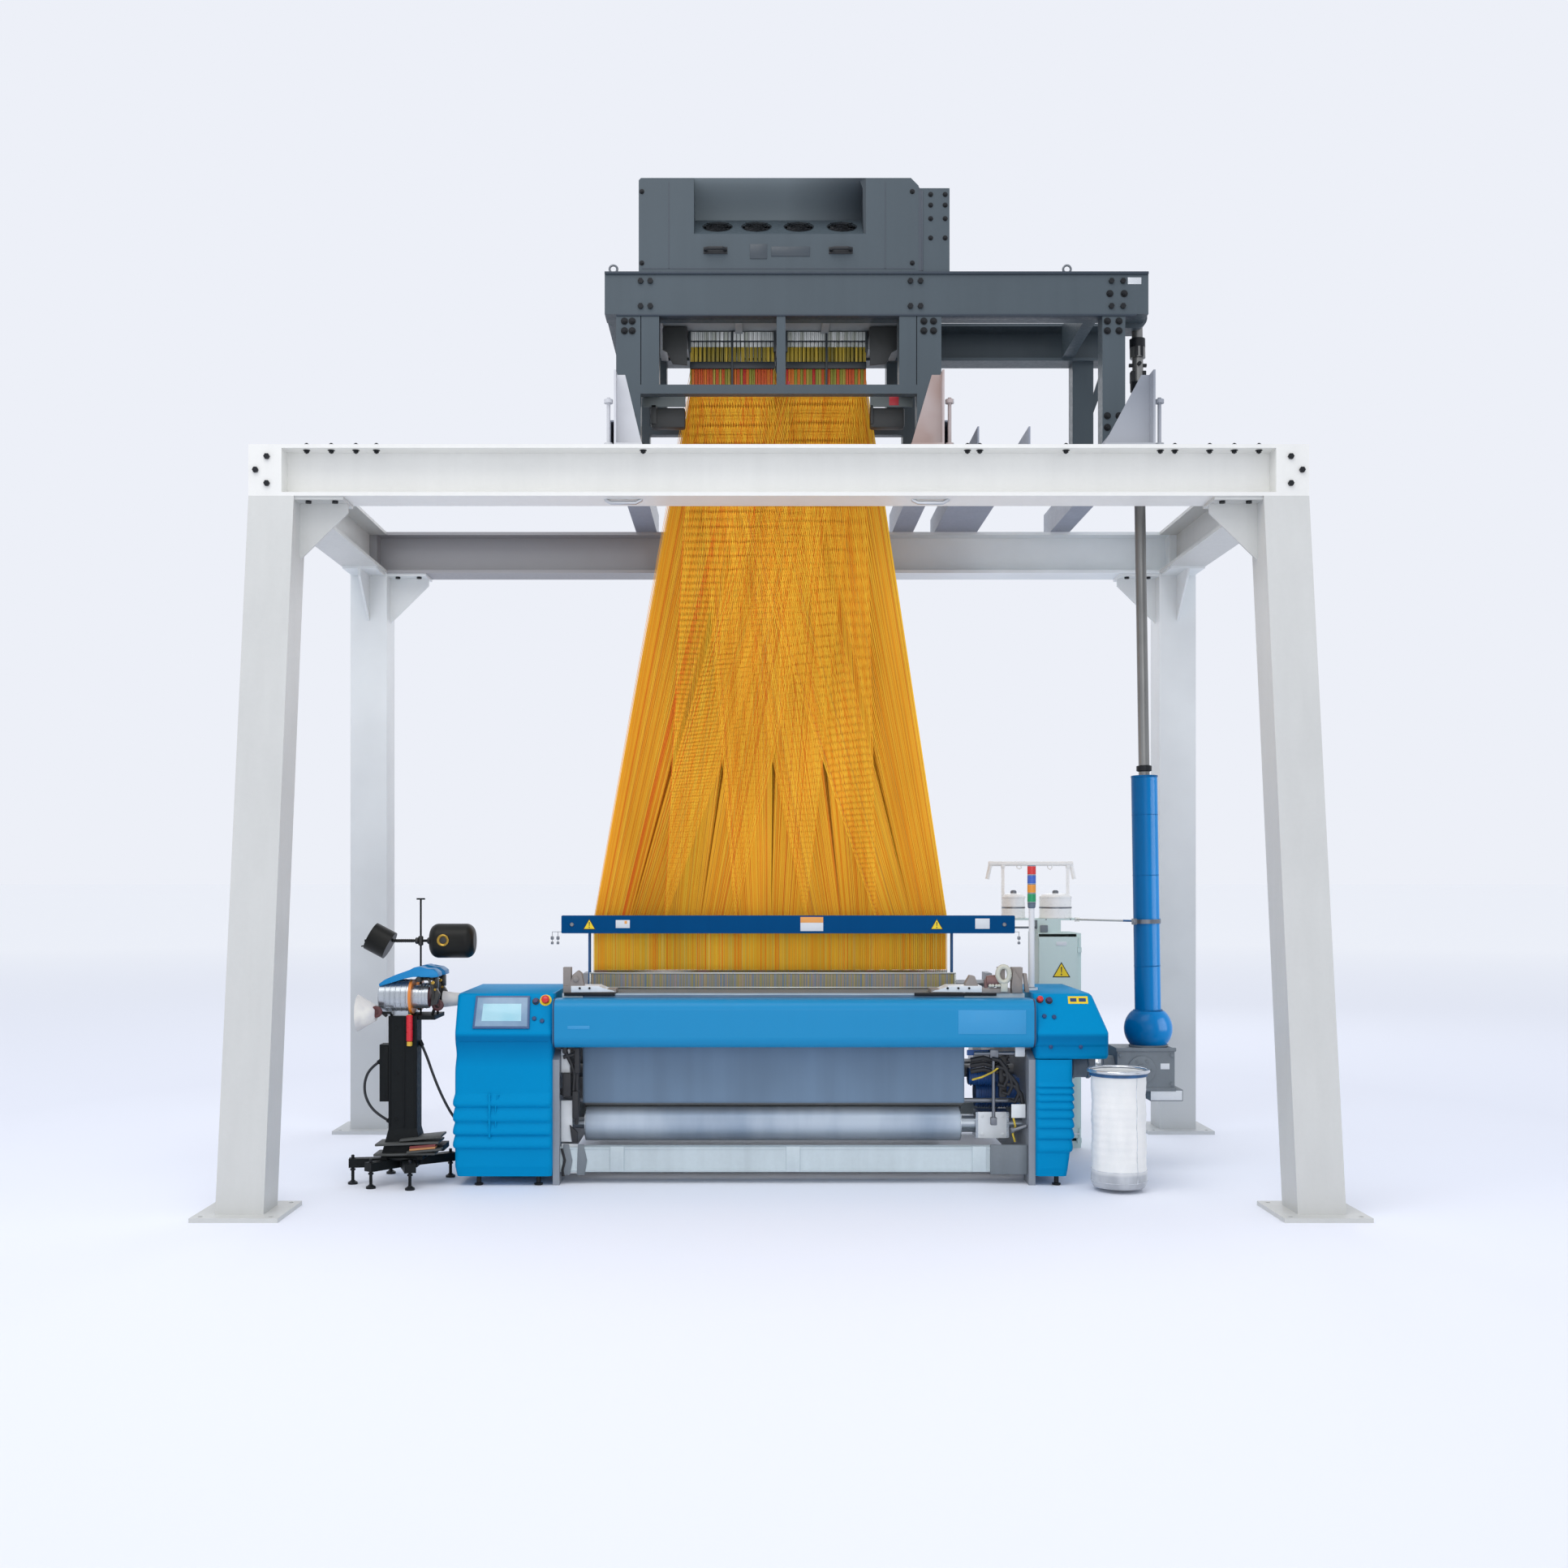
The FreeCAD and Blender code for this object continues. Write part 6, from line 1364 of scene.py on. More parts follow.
finish, place = new_finish("wound_cloth")
band = place.stretched(7.0, 2.0, 2.0).noise(1.0, 3.0)
# Painted sheen: the wound cloth is painted lighter than the sheet, with lighter spots along it as painted
# glints.
painted_glints = place.stretched(3.1, 0.6, 0.6).noise(1.0, 1.0)
thread = place.maths("SINE", place.axis(0) * (math.tau / PICK))
surface(place, thread, 0.0001, Base_Color=(band * 0.5 + painted_glints * 0.5).between(0.38, 0.62).blend(
    srgb(150, 166, 184), srgb(186, 198, 210)), Roughness=band.spread(0.30, 0.42), Metallic=0.35,
    Sheen_Weight=0.2)
wound = Work()
left_end, right_end = -0.987, 0.943
rings = [(0, 0.0462), (0.0, 0.080), (0.004, 0.0868)] + [(0.010 + (right_end - left_end - 0.020) * k / 60,
    ROLL_WOUND + 0.0002 * math.sin(k * 1.7)) for k in range(61)] + [(right_end - left_end - 0.004, 0.0868),
    (right_end - left_end, 0.080), (right_end - left_end, 0.0462)]
wound.turned((left_end, ROLL_AT.y, ROLL_AT.z), TO_RIGHT, rings, 64)
wound.done("wound_cloth", finish, body="cloth_roll", slot="roll_cloth", crease=60)
dress(ground_steel("roll_core", srgb(170, 178, 186)), "cloth_roll")
chuck = Work()
chuck.block((1.030, -0.4100, 0.214), (1.176, -0.4085, 0.348), 0.0005)
for x in (1.050, 1.156):
    for z in (0.234, 0.328):
        chuck.turned((x, -0.4085, z), TO_FRONT, stud(0.008, 0.005, 0.006, 0.006), 16)
chuck.done("chuck_plate", plate_white, body="cloth_roll", slot="roller_steel")

# --- Warp ----------------------------------------------------------------------------------------
# Fine undyed warp yarn lies wound on its beam between two flanges, climbs over the backrest and runs
# forward as a flat sheet of some thousands of ends to the healds.
WARP_HALF = 0.0005
warp_low, warp_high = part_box("warp_sheet")
WARP_PITCH = 0.0031


def yarns(name, colour, pitch):
    """Parallel yarn ends: a fine ridge for each, and slow changes of tone from end to end."""
    finish, place = new_finish(name)
    ridge = place.maths("SINE", place.axis(0) * (math.tau / pitch))
    tone = place.stretched(60.0, 0.3, 0.3).noise(1.0, 3.0)
    surface(place, ridge, 0.0006, Base_Color=(tone * 0.7 + ridge * 0.1 + 0.1).spread().blend(
        tinted(colour, 0.74), tinted(colour, 1.08)), Roughness=0.7, Specular_IOR_Level=0.3, Sheen_Weight=0.2)
    return finish


warp_yarn = yarns("warp_yarn", srgb(206, 206, 200), WARP_PITCH)
warp_path = [(0.1675 + (1.010 - 0.1675) * k / 40, warp_high.z - WARP_HALF) for k in range(41)]
warp_path += arc((1.010, 0.9157), warp_high.z - WARP_HALF - 0.9157, 90, 0, 10)[1:]
warp_path += [(1.0728, 0.9157 - (0.9157 - warp_low.z) * k / 24) for k in range(1, 25)]
warp_piece, warp_long = cloth_sheet("warp_ends", warp_path, warp_low.x, warp_high.x, 120, warp_yarn,
    SHEET_THICK)
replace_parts(warp_piece, "warp_sheet")

package = Work()
WARP_AXIS, WOUND_R = Vector((0, 0.760, 0.470)), 0.3124
package.turned((-0.9945, WARP_AXIS.y, WARP_AXIS.z), TO_RIGHT,
    [(0, 0.3122)] + [(0.004 + 1.942 * k / 90, WOUND_R + 0.0005 * math.sin(k * 2.1) * math.sin(k * 0.37))
    for k in range(91)] + [(1.950, 0.3122)], 96)
package.done("wound_warp", warp_yarn, body="warp_beam", slot="warp_yarn", crease=60)
dress(ground_steel("beam_flange", srgb(150, 154, 158)), "warp_beam")
flange_ribs = Work()
for x, way in ((-0.995 - 0.018, -1), (0.956 + 0.018, 1)):
    for k in range(8):
        turn = k * math.tau / 8
        spoke = Vector((0, math.cos(turn), math.sin(turn)))
        side = Vector((0, -math.sin(turn), math.cos(turn))) * 0.009
        root, tip = WARP_AXIS + spoke * 0.075 + Vector((x, 0, 0)), WARP_AXIS + spoke * 0.350 + Vector((x, 0, 0))
        flange_ribs.prism([root - side, tip - side, tip + side, root + side], (way * 0.007, 0, 0), 0.002)
    flange_ribs.turned((x, WARP_AXIS.y, WARP_AXIS.z), (way, 0, 0), [(0, 0.374), (0.006, 0.374), (0.008, 0.368),
        (0.008, 0.356), (0, 0.352)], 64)
flange_ribs.done("beam_flange_ribs", frame_dark, body="warp_beam", slot="roller_steel")

# --- Temples and brackets ------------------------------------------------------------------------
# White temple covers hold the cloth to its width at both edges. Beside them stand the cast brackets of
# the weft nozzle, the cutter and the waste yarn catcher, with a small drum and a cream ring.
TEMPLE_FRONT, CATCHER_FRONT = -0.4375, -0.430
bracket_brown = painted("bracket_brown", srgb(142, 134, 128), 0.5, 0.16)
dress(bracket_brown, "temples")
temple_tops = Work()
for left, right, tip in ((-1.055, -0.825, 1), (0.786, 1.046, -1)):
    inner = right if tip == 1 else left
    outer = left if tip == 1 else right
    temple_tops.upright(TEMPLE_FRONT, 0.142, [(outer, 0.962), (inner, 0.966), (inner - tip * 0.020, 0.974),
        (inner - tip * 0.060, 0.980), (inner - tip * 0.085, 0.996), (outer, 0.996)], 0.003)
temple_tops.done("temple_covers", plate_white, slot="temple_steel")
temple_bits = Work()
for x in (-1.010, -0.960, 0.980, 0.925, 0.870):
    temple_bits.turned((x, -0.4370, 0.984), TO_FRONT, stud(0.006, 0.004, 0.005, 0.004), 14)
temple_bits.blocks(0.002, ((-1.090, -0.440, 0.945), (-0.830, -0.434, 0.961)),
                          ((0.700, -0.440, 0.945), (1.120, -0.434, 0.961)))
temple_bits.done("temple_screws", dark_bolt, slot="bolt_steel")

catcher = Work()
catcher.upright(-0.432, 0.05, [(-1.094, 1.000), (-1.060, 0.990), (-1.050, 1.050), (-1.020, 1.075),
    (-1.000, 1.060), (-0.990, 1.000), (-0.985, 0.960), (-1.094, 0.960)], 0.004)
catcher.turned((-1.030, -0.436, 1.030), TO_FRONT, stud(0.014, 0.006, 0.008, 0.010), 18)
catcher.upright(CATCHER_FRONT, 0.06, [(0.960, 0.960), (0.962, 1.010), (0.985, 1.050), (1.010, 1.046),
    (1.030, 0.990), (1.040, 0.960)], 0.004)
catcher.upright(-0.444, 0.012, [(1.196, 0.990), (1.205, 1.085), (1.250, 1.010), (1.252, 0.960),
    (1.200, 0.960)], 0.002)
catcher.upright(CATCHER_FRONT, 0.03, [(1.268, 0.962), (1.290, 0.962), (1.276, 1.060), (1.258, 1.060)], 0.003)
catcher.block((1.046, -0.440, 0.958), (1.190, -0.400, 0.985), 0.004)
catcher.done("catcher_brackets", bracket_brown, slot="temple_steel")
drums = Work()
drums.turned((1.066, -0.420, 1.020), TO_RIGHT, [(0, 0.012), (0.004, 0.026), (0.022, 0.031), (0.050, 0.031),
    (0.066, 0.022), (0.070, 0.010)], 28)
drums.block((1.060, -0.436, 0.975), (1.076, -0.404, 1.028), 0.003)
drums.done("cutter_drum", painted("drum_brown", srgb(120, 88, 84), 0.45, 0.12), slot="temple_steel")
ring = Work()
ring_at = Vector((1.155, -0.440, 1.055))
ring.bent(hoop(ring_at, Vector((0.030, 0, 0)), Vector((0, 0, 0.040)), 28), 0.013, 12)
ring.block((1.140, -0.450, 0.965), (1.176, CATCHER_FRONT, 1.020), 0.005)
for x in (1.086, 1.100, 1.118, 1.132):
    ring.turned((x, -0.438, 0.998), TO_FRONT, stud(0.008, 0.010, 0.012, 0.005), 14)
ring.done("catcher_ring", painted("ring_cream", srgb(196, 196, 182), 0.5, 0.08), slot="temple_steel")

# --- Signal lamp ---------------------------------------------------------------------------------
# A white pole carries four coloured lenses, from below green, orange, blue and red, between dark seal
# rings. The lamp is off, so the lenses are plain glossy plastic.
LAMP_AT, LENS_LOW, LENS_TALL, LENS_R = Vector((1.335, -0.230, 0)), 1.419, 0.048, 0.0222
dress(painted("lamp_white", srgb(222, 224, 226), 0.4, 0.04), "signal_lamp")
for number, (name, colour) in enumerate((("green", srgb(20, 150, 96)), ("orange", srgb(232, 150, 50)),
                                         ("blue", srgb(60, 100, 190)), ("red", srgb(214, 52, 52)))):
    lens, low = Work(), LENS_LOW + number * LENS_TALL
    lens.turned(LAMP_AT + Vector((0, 0, low + 0.003)), UPWARDS,
        [(0, 0.0214)] + [(0.002 + 0.0385 * k / 12, LENS_R + (0.0004 if k % 2 else 0.0)) for k in range(13)]
        + [(0.0425, 0.0214)], 36)
    lens.done("lamp_lens_" + name, moulded("lens_" + name, colour, 0.18), slot="lamp_plastic")
seals = Work()
for k in range(5):
    seals.turned(LAMP_AT + Vector((0, 0, LENS_LOW + k * LENS_TALL - 0.0025)), UPWARDS,
                 barrel(0.0205, 0.0005, 0.0218, 0.0045, 0.005), 32)
seals.turned(LAMP_AT + Vector((0, 0, 0.961)), UPWARDS, [(0, 0.026), (0.010, 0.026), (0.016, 0.018),
    (0.016, 0.0145)], 28)
seals.turned(LAMP_AT + Vector((0, 0, LENS_LOW - 0.030)), UPWARDS,
    [(0, 0.0155), (0.004, 0.020), (0.026, 0.0215), (0.028, 0.019)], 28)
seals.done("lamp_seals", moulded("seal_slate", srgb(92, 108, 124)), slot="lamp_plastic")

# --- Control cabinet and canisters ---------------------------------------------------------------
# A powder-coated cabinet with a hinged door holds the loom's drives. The rack on its neck carries two
# white enamelled canisters under a bent tube arch with open hooked ends.
CAN_FOOT, ARCH_Y = 1.313, 0.784
CABINET_FACE, NECK_FACE = 0.547, 0.570
cabinet_grey = painted("cabinet_powder", srgb(202, 220, 216), 0.5, 0.03, 0.0001, shine=0.3)
dress(cabinet_grey, "cabinet", "cabinet_door")
dress(painted("canister_enamel", srgb(243, 243, 240), 0.3, 0.04), "canisters")
sign_yellow, sign_rims, fittings, pale_bits = Work(), Work(), Work(), Work()
warning_sign(sign_yellow, sign_rims, Vector((1.640, CABINET_FACE, 1.012)), 0.088)
sign_yellow.done("cabinet_triangle", warning_yellow, body="cabinet_door", slot="cabinet_grey")
sign_rims.done("cabinet_triangle_rim", sign_black, body="cabinet_door", slot="cabinet_grey")
pale_bits.block((1.610, CABINET_FACE - 0.0015, 1.160), (1.670, CABINET_FACE + 0.001, 1.182), 0.0006)
for x0, x1, z0, z1 in ((1.524, 1.742, 0.640, 0.648), (1.524, 1.742, 0.080, 0.088)):
    pale_bits.block((x0, CABINET_FACE - 0.0015, z0), (x1, CABINET_FACE + 0.001, z1), 0.0006)
pale_bits.done("cabinet_bare_label", label_white, body="cabinet_door", slot="cabinet_grey")
for k in range(9):
    fittings.prism([(1.560, CABINET_FACE - 0.001, 0.200 + k * 0.022),
        (1.700, CABINET_FACE - 0.001, 0.200 + k * 0.022), (1.700, CABINET_FACE - 0.007, 0.206 + k * 0.022),
        (1.560, CABINET_FACE - 0.007, 0.206 + k * 0.022)], (0, 0.002, 0.007))
fittings.done("door_louvres", cabinet_grey, body="cabinet_door", slot="cabinet_grey")
rack_bits = Work()
rack_bits.block((1.522, NECK_FACE - 0.006, 1.236), (1.566, NECK_FACE + 0.001, 1.276), 0.003)
for x in (1.345, 1.480, 1.560, 1.700):
    rack_bits.turned((x, 0.5905, 1.3085), TO_FRONT, stud(0.0038, 0.003, 0.004, 0.002), 14)
rack_bits.rod((1.302, 0.602, 1.262), (1.512, 0.602, 1.262), 0.006, 0.001, 12)
rack_bits.blocks(0.002, ((1.500, 0.592, 1.254), (1.514, 0.612, 1.304)),
                        ((1.318, 0.596, 1.256), (1.328, 0.608, 1.304)))
rack_bits.done("rack_fittings", frame_dark, slot="cabinet_grey")
rims, hoops = Work(), Work()
CAN_AT = ((1.387, 0.066), (1.630, 0.092))
for x, radius in CAN_AT:
    foot = Vector((x, 0.680, CAN_FOOT))
    for z in (0.003, 0.119):
        rims.turned(foot + Vector((0, 0, z)), UPWARDS,
                    barrel(radius, 0.0005, radius + 0.0035, 0.005, 0.006), 48)
    rims.turned(foot + Vector((0, 0, 0.128)), UPWARDS, [(0, radius - 0.004), (0.010, radius - 0.012),
        (0.016, radius * 0.5), (0.018, 0)], 48)
    hoops.turned(foot + Vector((0, 0, 0.142)), UPWARDS, [(0, 0.018), (0.014, 0.018), (0.020, 0.012),
        (0.022, 0)], 24)
    hoops.turned(foot + Vector((0, 0, 0.058)), UPWARDS, barrel(radius + 0.0002, 0.0008, radius + 0.0018,
        0.0082, 0.009), 48)
rims.done("canister_rims", bpy.data.materials["canister_enamel"], slot="canister_white")
hoops.done("canister_caps", zinc, slot="canister_white")
arch_bits = Work()
for x in (1.270, 1.740):
    arch_bits.turned((x, ARCH_Y, 1.630), (1 if x > 1.5 else -1, 0, 0),
        [(-0.02, 0.0142), (0.0, 0.0160), (0.010, 0.0160), (0.014, 0.008), (0.014, 0)], 24)
for x in (1.342, 1.722):
    arch_bits.block((x - 0.014, 0.770, CAN_FOOT), (x + 0.014, 0.798, 1.322), 0.002)
    arch_bits.block((x - 0.011, 0.772, 1.604), (x + 0.011, 0.796, 1.640), 0.003)
for x, z in ((1.420, 1.600), (1.600, 1.596)):
    arch_bits.bent([(x, ARCH_Y, 1.628), (x + 0.006, 0.780, 1.604), (x + 0.018, 0.778, z),
        (x + 0.030, 0.780, 1.606), (x + 0.028, ARCH_Y, 1.618)], 0.0035, 8)
arch_bits.done("arch_fittings", bpy.data.materials["canister_enamel"], slot="canister_white")

# --- Vertical drive ------------------------------------------------------------------------------
# A steel cardan shaft brings the loom's motion up to the head. Its foot runs in a blue guard tube
# with a rolled bulb, held by a clamp ring, above a bolted bevel gear case.
SHAFT_Y = -0.132
SHAFT_LOW, SHAFT_HIGH = Vector((1.971, SHAFT_Y, 0.640)), Vector((1.911, SHAFT_Y, 4.450))
shaft_way = (SHAFT_HIGH - SHAFT_LOW).normalized()


def on_shaft(z):
    """The point of the shaft's axis at a height."""
    return SHAFT_LOW + (SHAFT_HIGH - SHAFT_LOW) * ((z - SHAFT_LOW.z) / (SHAFT_HIGH.z - SHAFT_LOW.z))


dress(ground_steel("shaft_steel", srgb(134, 134, 132), 0.38, (60, 60, 1.2)), "drive_shaft")
bands = Work()
for z, wide, radius in ((2.078, 0.012, 0.0705), (1.880, 0.004, 0.0692), (1.560, 0.004, 0.0692),
        (1.080, 0.006, 0.0696), (0.842, 0.010, 0.0770)):
    bands.turned(on_shaft(z), shaft_way, barrel(radius - 0.0025, wide * 0.2, radius, wide * 0.8, wide), 56)
bands.done("guard_seams", tube_blue, slot="guard_blue")
clamp = Work()
clamp.turned(on_shaft(1.306), shaft_way, barrel(0.070, 0.001, 0.0745, 0.023, 0.024), 56)
clamp.block((1.868, -0.212, 1.302), (1.892, -0.186, 1.334), 0.003)
clamp.turned((1.880, -0.214, 1.318), TO_FRONT, stud(0.009, 0.006, 0.007, 0.007), 6)
clamp.done("guard_clamp", zinc, slot="guard_blue")
joint = Work()
for z, side, half in ((4.170, Vector(TO_RIGHT), Vector((0.010, 0.022, 0))),
                      (4.300, Vector(TO_BACK), Vector((0.022, 0.010, 0)))):
    for out in (-0.030, 0.030):
        cheek = on_shaft(z) + side * out
        joint.block(cheek - half, cheek + half + Vector((0, 0, 0.060)), 0.004)
for way in (TO_RIGHT, TO_BACK):
    joint.turned(on_shaft(4.262), way, [(-0.046, 0.010), (0.046, 0.010)], 20)
for z in (4.120, 4.350):
    joint.turned(on_shaft(z), shaft_way, barrel(0.030, 0.004, 0.041, 0.050, 0.054), 32)
joint.turned(on_shaft(2.110), shaft_way, barrel(0.0290, 0.004, 0.040, 0.030, 0.034), 32)
joint.done("shaft_joint", dark_bolt, body="drive_shaft", slot="roller_steel")

gear_bits, gear_label = Work(), Work()
case_face = -0.250
gear_bits.blocks(0.004, ((1.772, case_face - 0.006, 0.433), (2.087, case_face + 0.010, 0.452)),
                        ((1.772, case_face - 0.006, 0.640), (2.087, case_face + 0.010, 0.660)))
gear_bits.turned((1.906, case_face, 0.545), TO_FRONT, [(0, 0.072), (0.006, 0.072), (0.008, 0.068),
    (0.008, 0.030), (0.014, 0.028), (0.014, 0)], 48)
for x, z in ((1.795, 0.470), (1.795, 0.620), (2.064, 0.470), (2.064, 0.620)):
    gear_bits.turned((x, case_face, z), TO_FRONT, stud(0.010, 0.007, 0.008, 0.008), 6)
for k in range(6):
    turn = k * math.tau / 6
    gear_bits.turned((1.906 + 0.052 * math.cos(turn), case_face - 0.008, 0.545 + 0.052 * math.sin(turn)),
        TO_FRONT, [(0, 0.006), (0.005, 0.006), (0.005, 0)], 6)
for x in (1.560, 1.640, 1.720):
    gear_bits.turned((x, SHAFT_Y, 0.550), TO_RIGHT, barrel(0.0578, 0.002, 0.0640, 0.014, 0.016), 40)
gear_bits.turned(on_shaft(0.656), shaft_way, barrel(0.098, 0.004, 0.102, 0.010, 0.012), 48)
gear_bits.done("gear_case_details", frame_dark, slot="frame_iron")
gear_label.block((2.005, case_face - 0.0015, 0.548), (2.052, case_face + 0.001, 0.578), 0.0006)
gear_label.block((1.954, case_face - 0.002, 0.386), (2.118, case_face + 0.001, 0.436), 0.001)
gear_label.done("gear_case_label", label_white, slot="frame_iron")

# --- Waste bag -----------------------------------------------------------------------------------
# A sewn net bag for the waste selvedge yarn, open at the top. It is folded over a chromed ring with a
# blue band, hangs in soft folds, and its fuller foot rests on the floor with a greyer hem.
BAG_AT, BAG_R, BAG_LOW, BAG_HIGH = Vector((1.687, -0.680, 0)), 0.134, 0.021, 0.590
AROUND, LAYERS = 120, 60


def bag_point(turn, share, out=0.0):
    """A point off the bag's skin: folds that open downwards and a slack, rounded foot."""
    z = BAG_LOW + (BAG_HIGH - BAG_LOW) * share
    foot = min(1.0, share / 0.07)
    fold = math.sin(turn * 7 + 1.0 + 1.2 * share) * 0.45 + math.sin(turn * 13 + 4.0 - 2.0 * share) * 0.3
    slack = math.sin(math.pi * min(1.0, share * 1.02)) ** 0.8
    hoop = 0.0012 * math.sin(share * 92.0) * slack + 0.0018 * math.sin(share * 23 + 2 * math.sin(turn))
    radius = BAG_R - 0.012 * (1 - foot) ** 2 + 0.0030 * fold * slack + hoop - 0.004 * slack + 0.003 * (1
        - share)
    lean = Vector((0.004 * (1 - share), -0.003 * (1 - share), 0))
    radius += out
    return BAG_AT + lean + Vector((radius * math.cos(turn), radius * math.sin(turn), z))


skin = bmesh.new()
skin_map = skin.loops.layers.uv.new("run")
rows = [[skin.verts.new(bag_point(i * math.tau / AROUND, j / LAYERS)) for i in range(AROUND)]
    for j in range(LAYERS + 1)]
inner_rows = [[skin.verts.new(BAG_AT + (rows[0][i].co - BAG_AT) * share
    + Vector((0, 0, (BAG_LOW - 0.001) * (1 - share)))) for i in range(AROUND)] for share in (0.72, 0.38)]
centre = skin.verts.new(BAG_AT + Vector((0, 0, BAG_LOW - 0.0005)))
for j, (low_row, high_row) in enumerate(zip([inner_rows[1], inner_rows[0]] + rows,
        [inner_rows[0], rows[0]] + rows[1:])):
    for i in range(AROUND):
        face = skin.faces.new((low_row[i], low_row[(i + 1) % AROUND], high_row[(i + 1) % AROUND], high_row[i]))
        for loop, (a, b) in zip(face.loops, ((i, j - 2), (i + 1, j - 2), (i + 1, j - 1), (i, j - 1))):
            loop[skin_map].uv = (a / AROUND * math.tau * BAG_R, b / LAYERS * (BAG_HIGH - BAG_LOW))
for i in range(AROUND):
    skin.faces.new((centre, inner_rows[1][(i + 1) % AROUND], inner_rows[1][i]))
for face in skin.faces:
    face.smooth = True
bmesh.ops.recalc_face_normals(skin, faces=skin.faces[:])
bag_area = sum(face.calc_area() for face in skin.faces)
finish, place = new_finish("bag_net")
run = place.node("ShaderNodeUVMap", {"uv_map": "run"})
holes = run.node("ShaderNodeTexVoronoi", {"feature": "F1"}, {"Vector": run, "Scale": 260.0})
cloud = place.stretched(8, 8, 3).noise(1.0, 3.0)
hem = place.axis(2).between(0.085, 0.110)
clean = cloud.between(0.35, 0.65).blend(srgb(228, 230, 229), srgb(240, 240, 238))
surface(place, holes, 0.0006,
    Base_Color=hem.blend(cloud.between(0.35, 0.65).blend(srgb(168, 172, 178), srgb(206, 210, 214)), clean),
    Roughness=0.85, Specular_IOR_Level=0.2, Sheen_Weight=0.2)
bag = placed("bag_skin", skin, finish)
solid = bag.modifiers.new("thickness", "SOLIDIFY")
solid.thickness, solid.offset = 0.0010, -1.0
fitted(bag)
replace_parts(bag, "waste_bag")

seam = Work()
seam.bent([bag_point(math.radians(-62), k / 40, 0.001) for k in range(2, 41)], 0.0016, 8)
for share in (0.055, 0.150, 0.965):
    seam.bent([bag_point(k * math.tau / 72, share, 0.0008) for k in range(73)], 0.0014, 6)
bag_seams = seam.done("bag_seams", rubber("seam_white", srgb(196, 200, 206), 0.8), slot="bag_cloth")
ring_bar, ring_band = Work(), Work()
ring_bar.bent(hoop(BAG_AT + Vector((0, 0, BAG_HIGH + 0.004)), Vector((0.1460, 0, 0)), Vector((0, 0.1460, 0)),
    64), 0.0088, 14)
ring_bar.upright(-0.552, 0.020, [(1.600, 0.586), (1.630, 0.586), (1.630, 0.6385), (1.600, 0.6385)], 0.002)
ring_bar.turned((1.615, -0.553, 0.614), TO_FRONT, stud(0.008, 0.005, 0.006, 0.006), 6)
ring_bar.done("bag_ring", ground_steel("chrome", srgb(214, 218, 222), 0.14), slot="roller_steel")
ring_band.turned(BAG_AT + Vector((0, 0, BAG_HIGH - 0.021)), UPWARDS,
    [(0, 0.1375), (0.001, 0.1415), (0.014, 0.1415), (0.015, 0.1375), (0, 0.1375)], 64)
ring_band.done("bag_ring_band", rubber("band_blue", srgb(40, 84, 128)), slot="bag_cloth")

# --- Weft stand ----------------------------------------------------------------------------------
# A black powder-coated column on a five-armed foot carries two weft feeders, a small control box and a
# mast with two balloon drums. Yarn packages sit on pegs beside the feeders, and trays lie at its foot.
MAST_Y = -0.388
stand_black = painted("stand_powder", srgb(12, 17, 19), 0.5, 0.12, 0.0002, shine=0.2)
dress(stand_black, "weft_stand")
FEED_Z, FEED_YS = 0.945, (-0.486, -0.290)
finish, place = new_finish("drums_and_yarn")
is_yarn = place.maths("LESS_THAN", place.axis(2), 1.02)
windings = place.maths("SINE", place.axis(0) * 1400.0)
yarn_tone = place.noise(12.0, 2.0).spread().blend(srgb(206, 204, 206), srgb(238, 236, 228))
drum_tone = place.noise(6.0, 3.0).spread().blend(srgb(11, 12, 10), srgb(24, 24, 20))
surface(place, windings * is_yarn, 0.0004, Base_Color=is_yarn.blend(drum_tone, yarn_tone),
        Roughness=is_yarn.between(0, 1, 0.42, 0.8), Specular_IOR_Level=0.25)
dress(finish, "balloon_drums")
dress(ground_steel("feeder_alloy", srgb(186, 192, 198), 0.3), "feeders")
dress(moulded("disc_orange", srgb(226, 132, 44), 0.32), "feeder_disc_1", "feeder_disc_2")

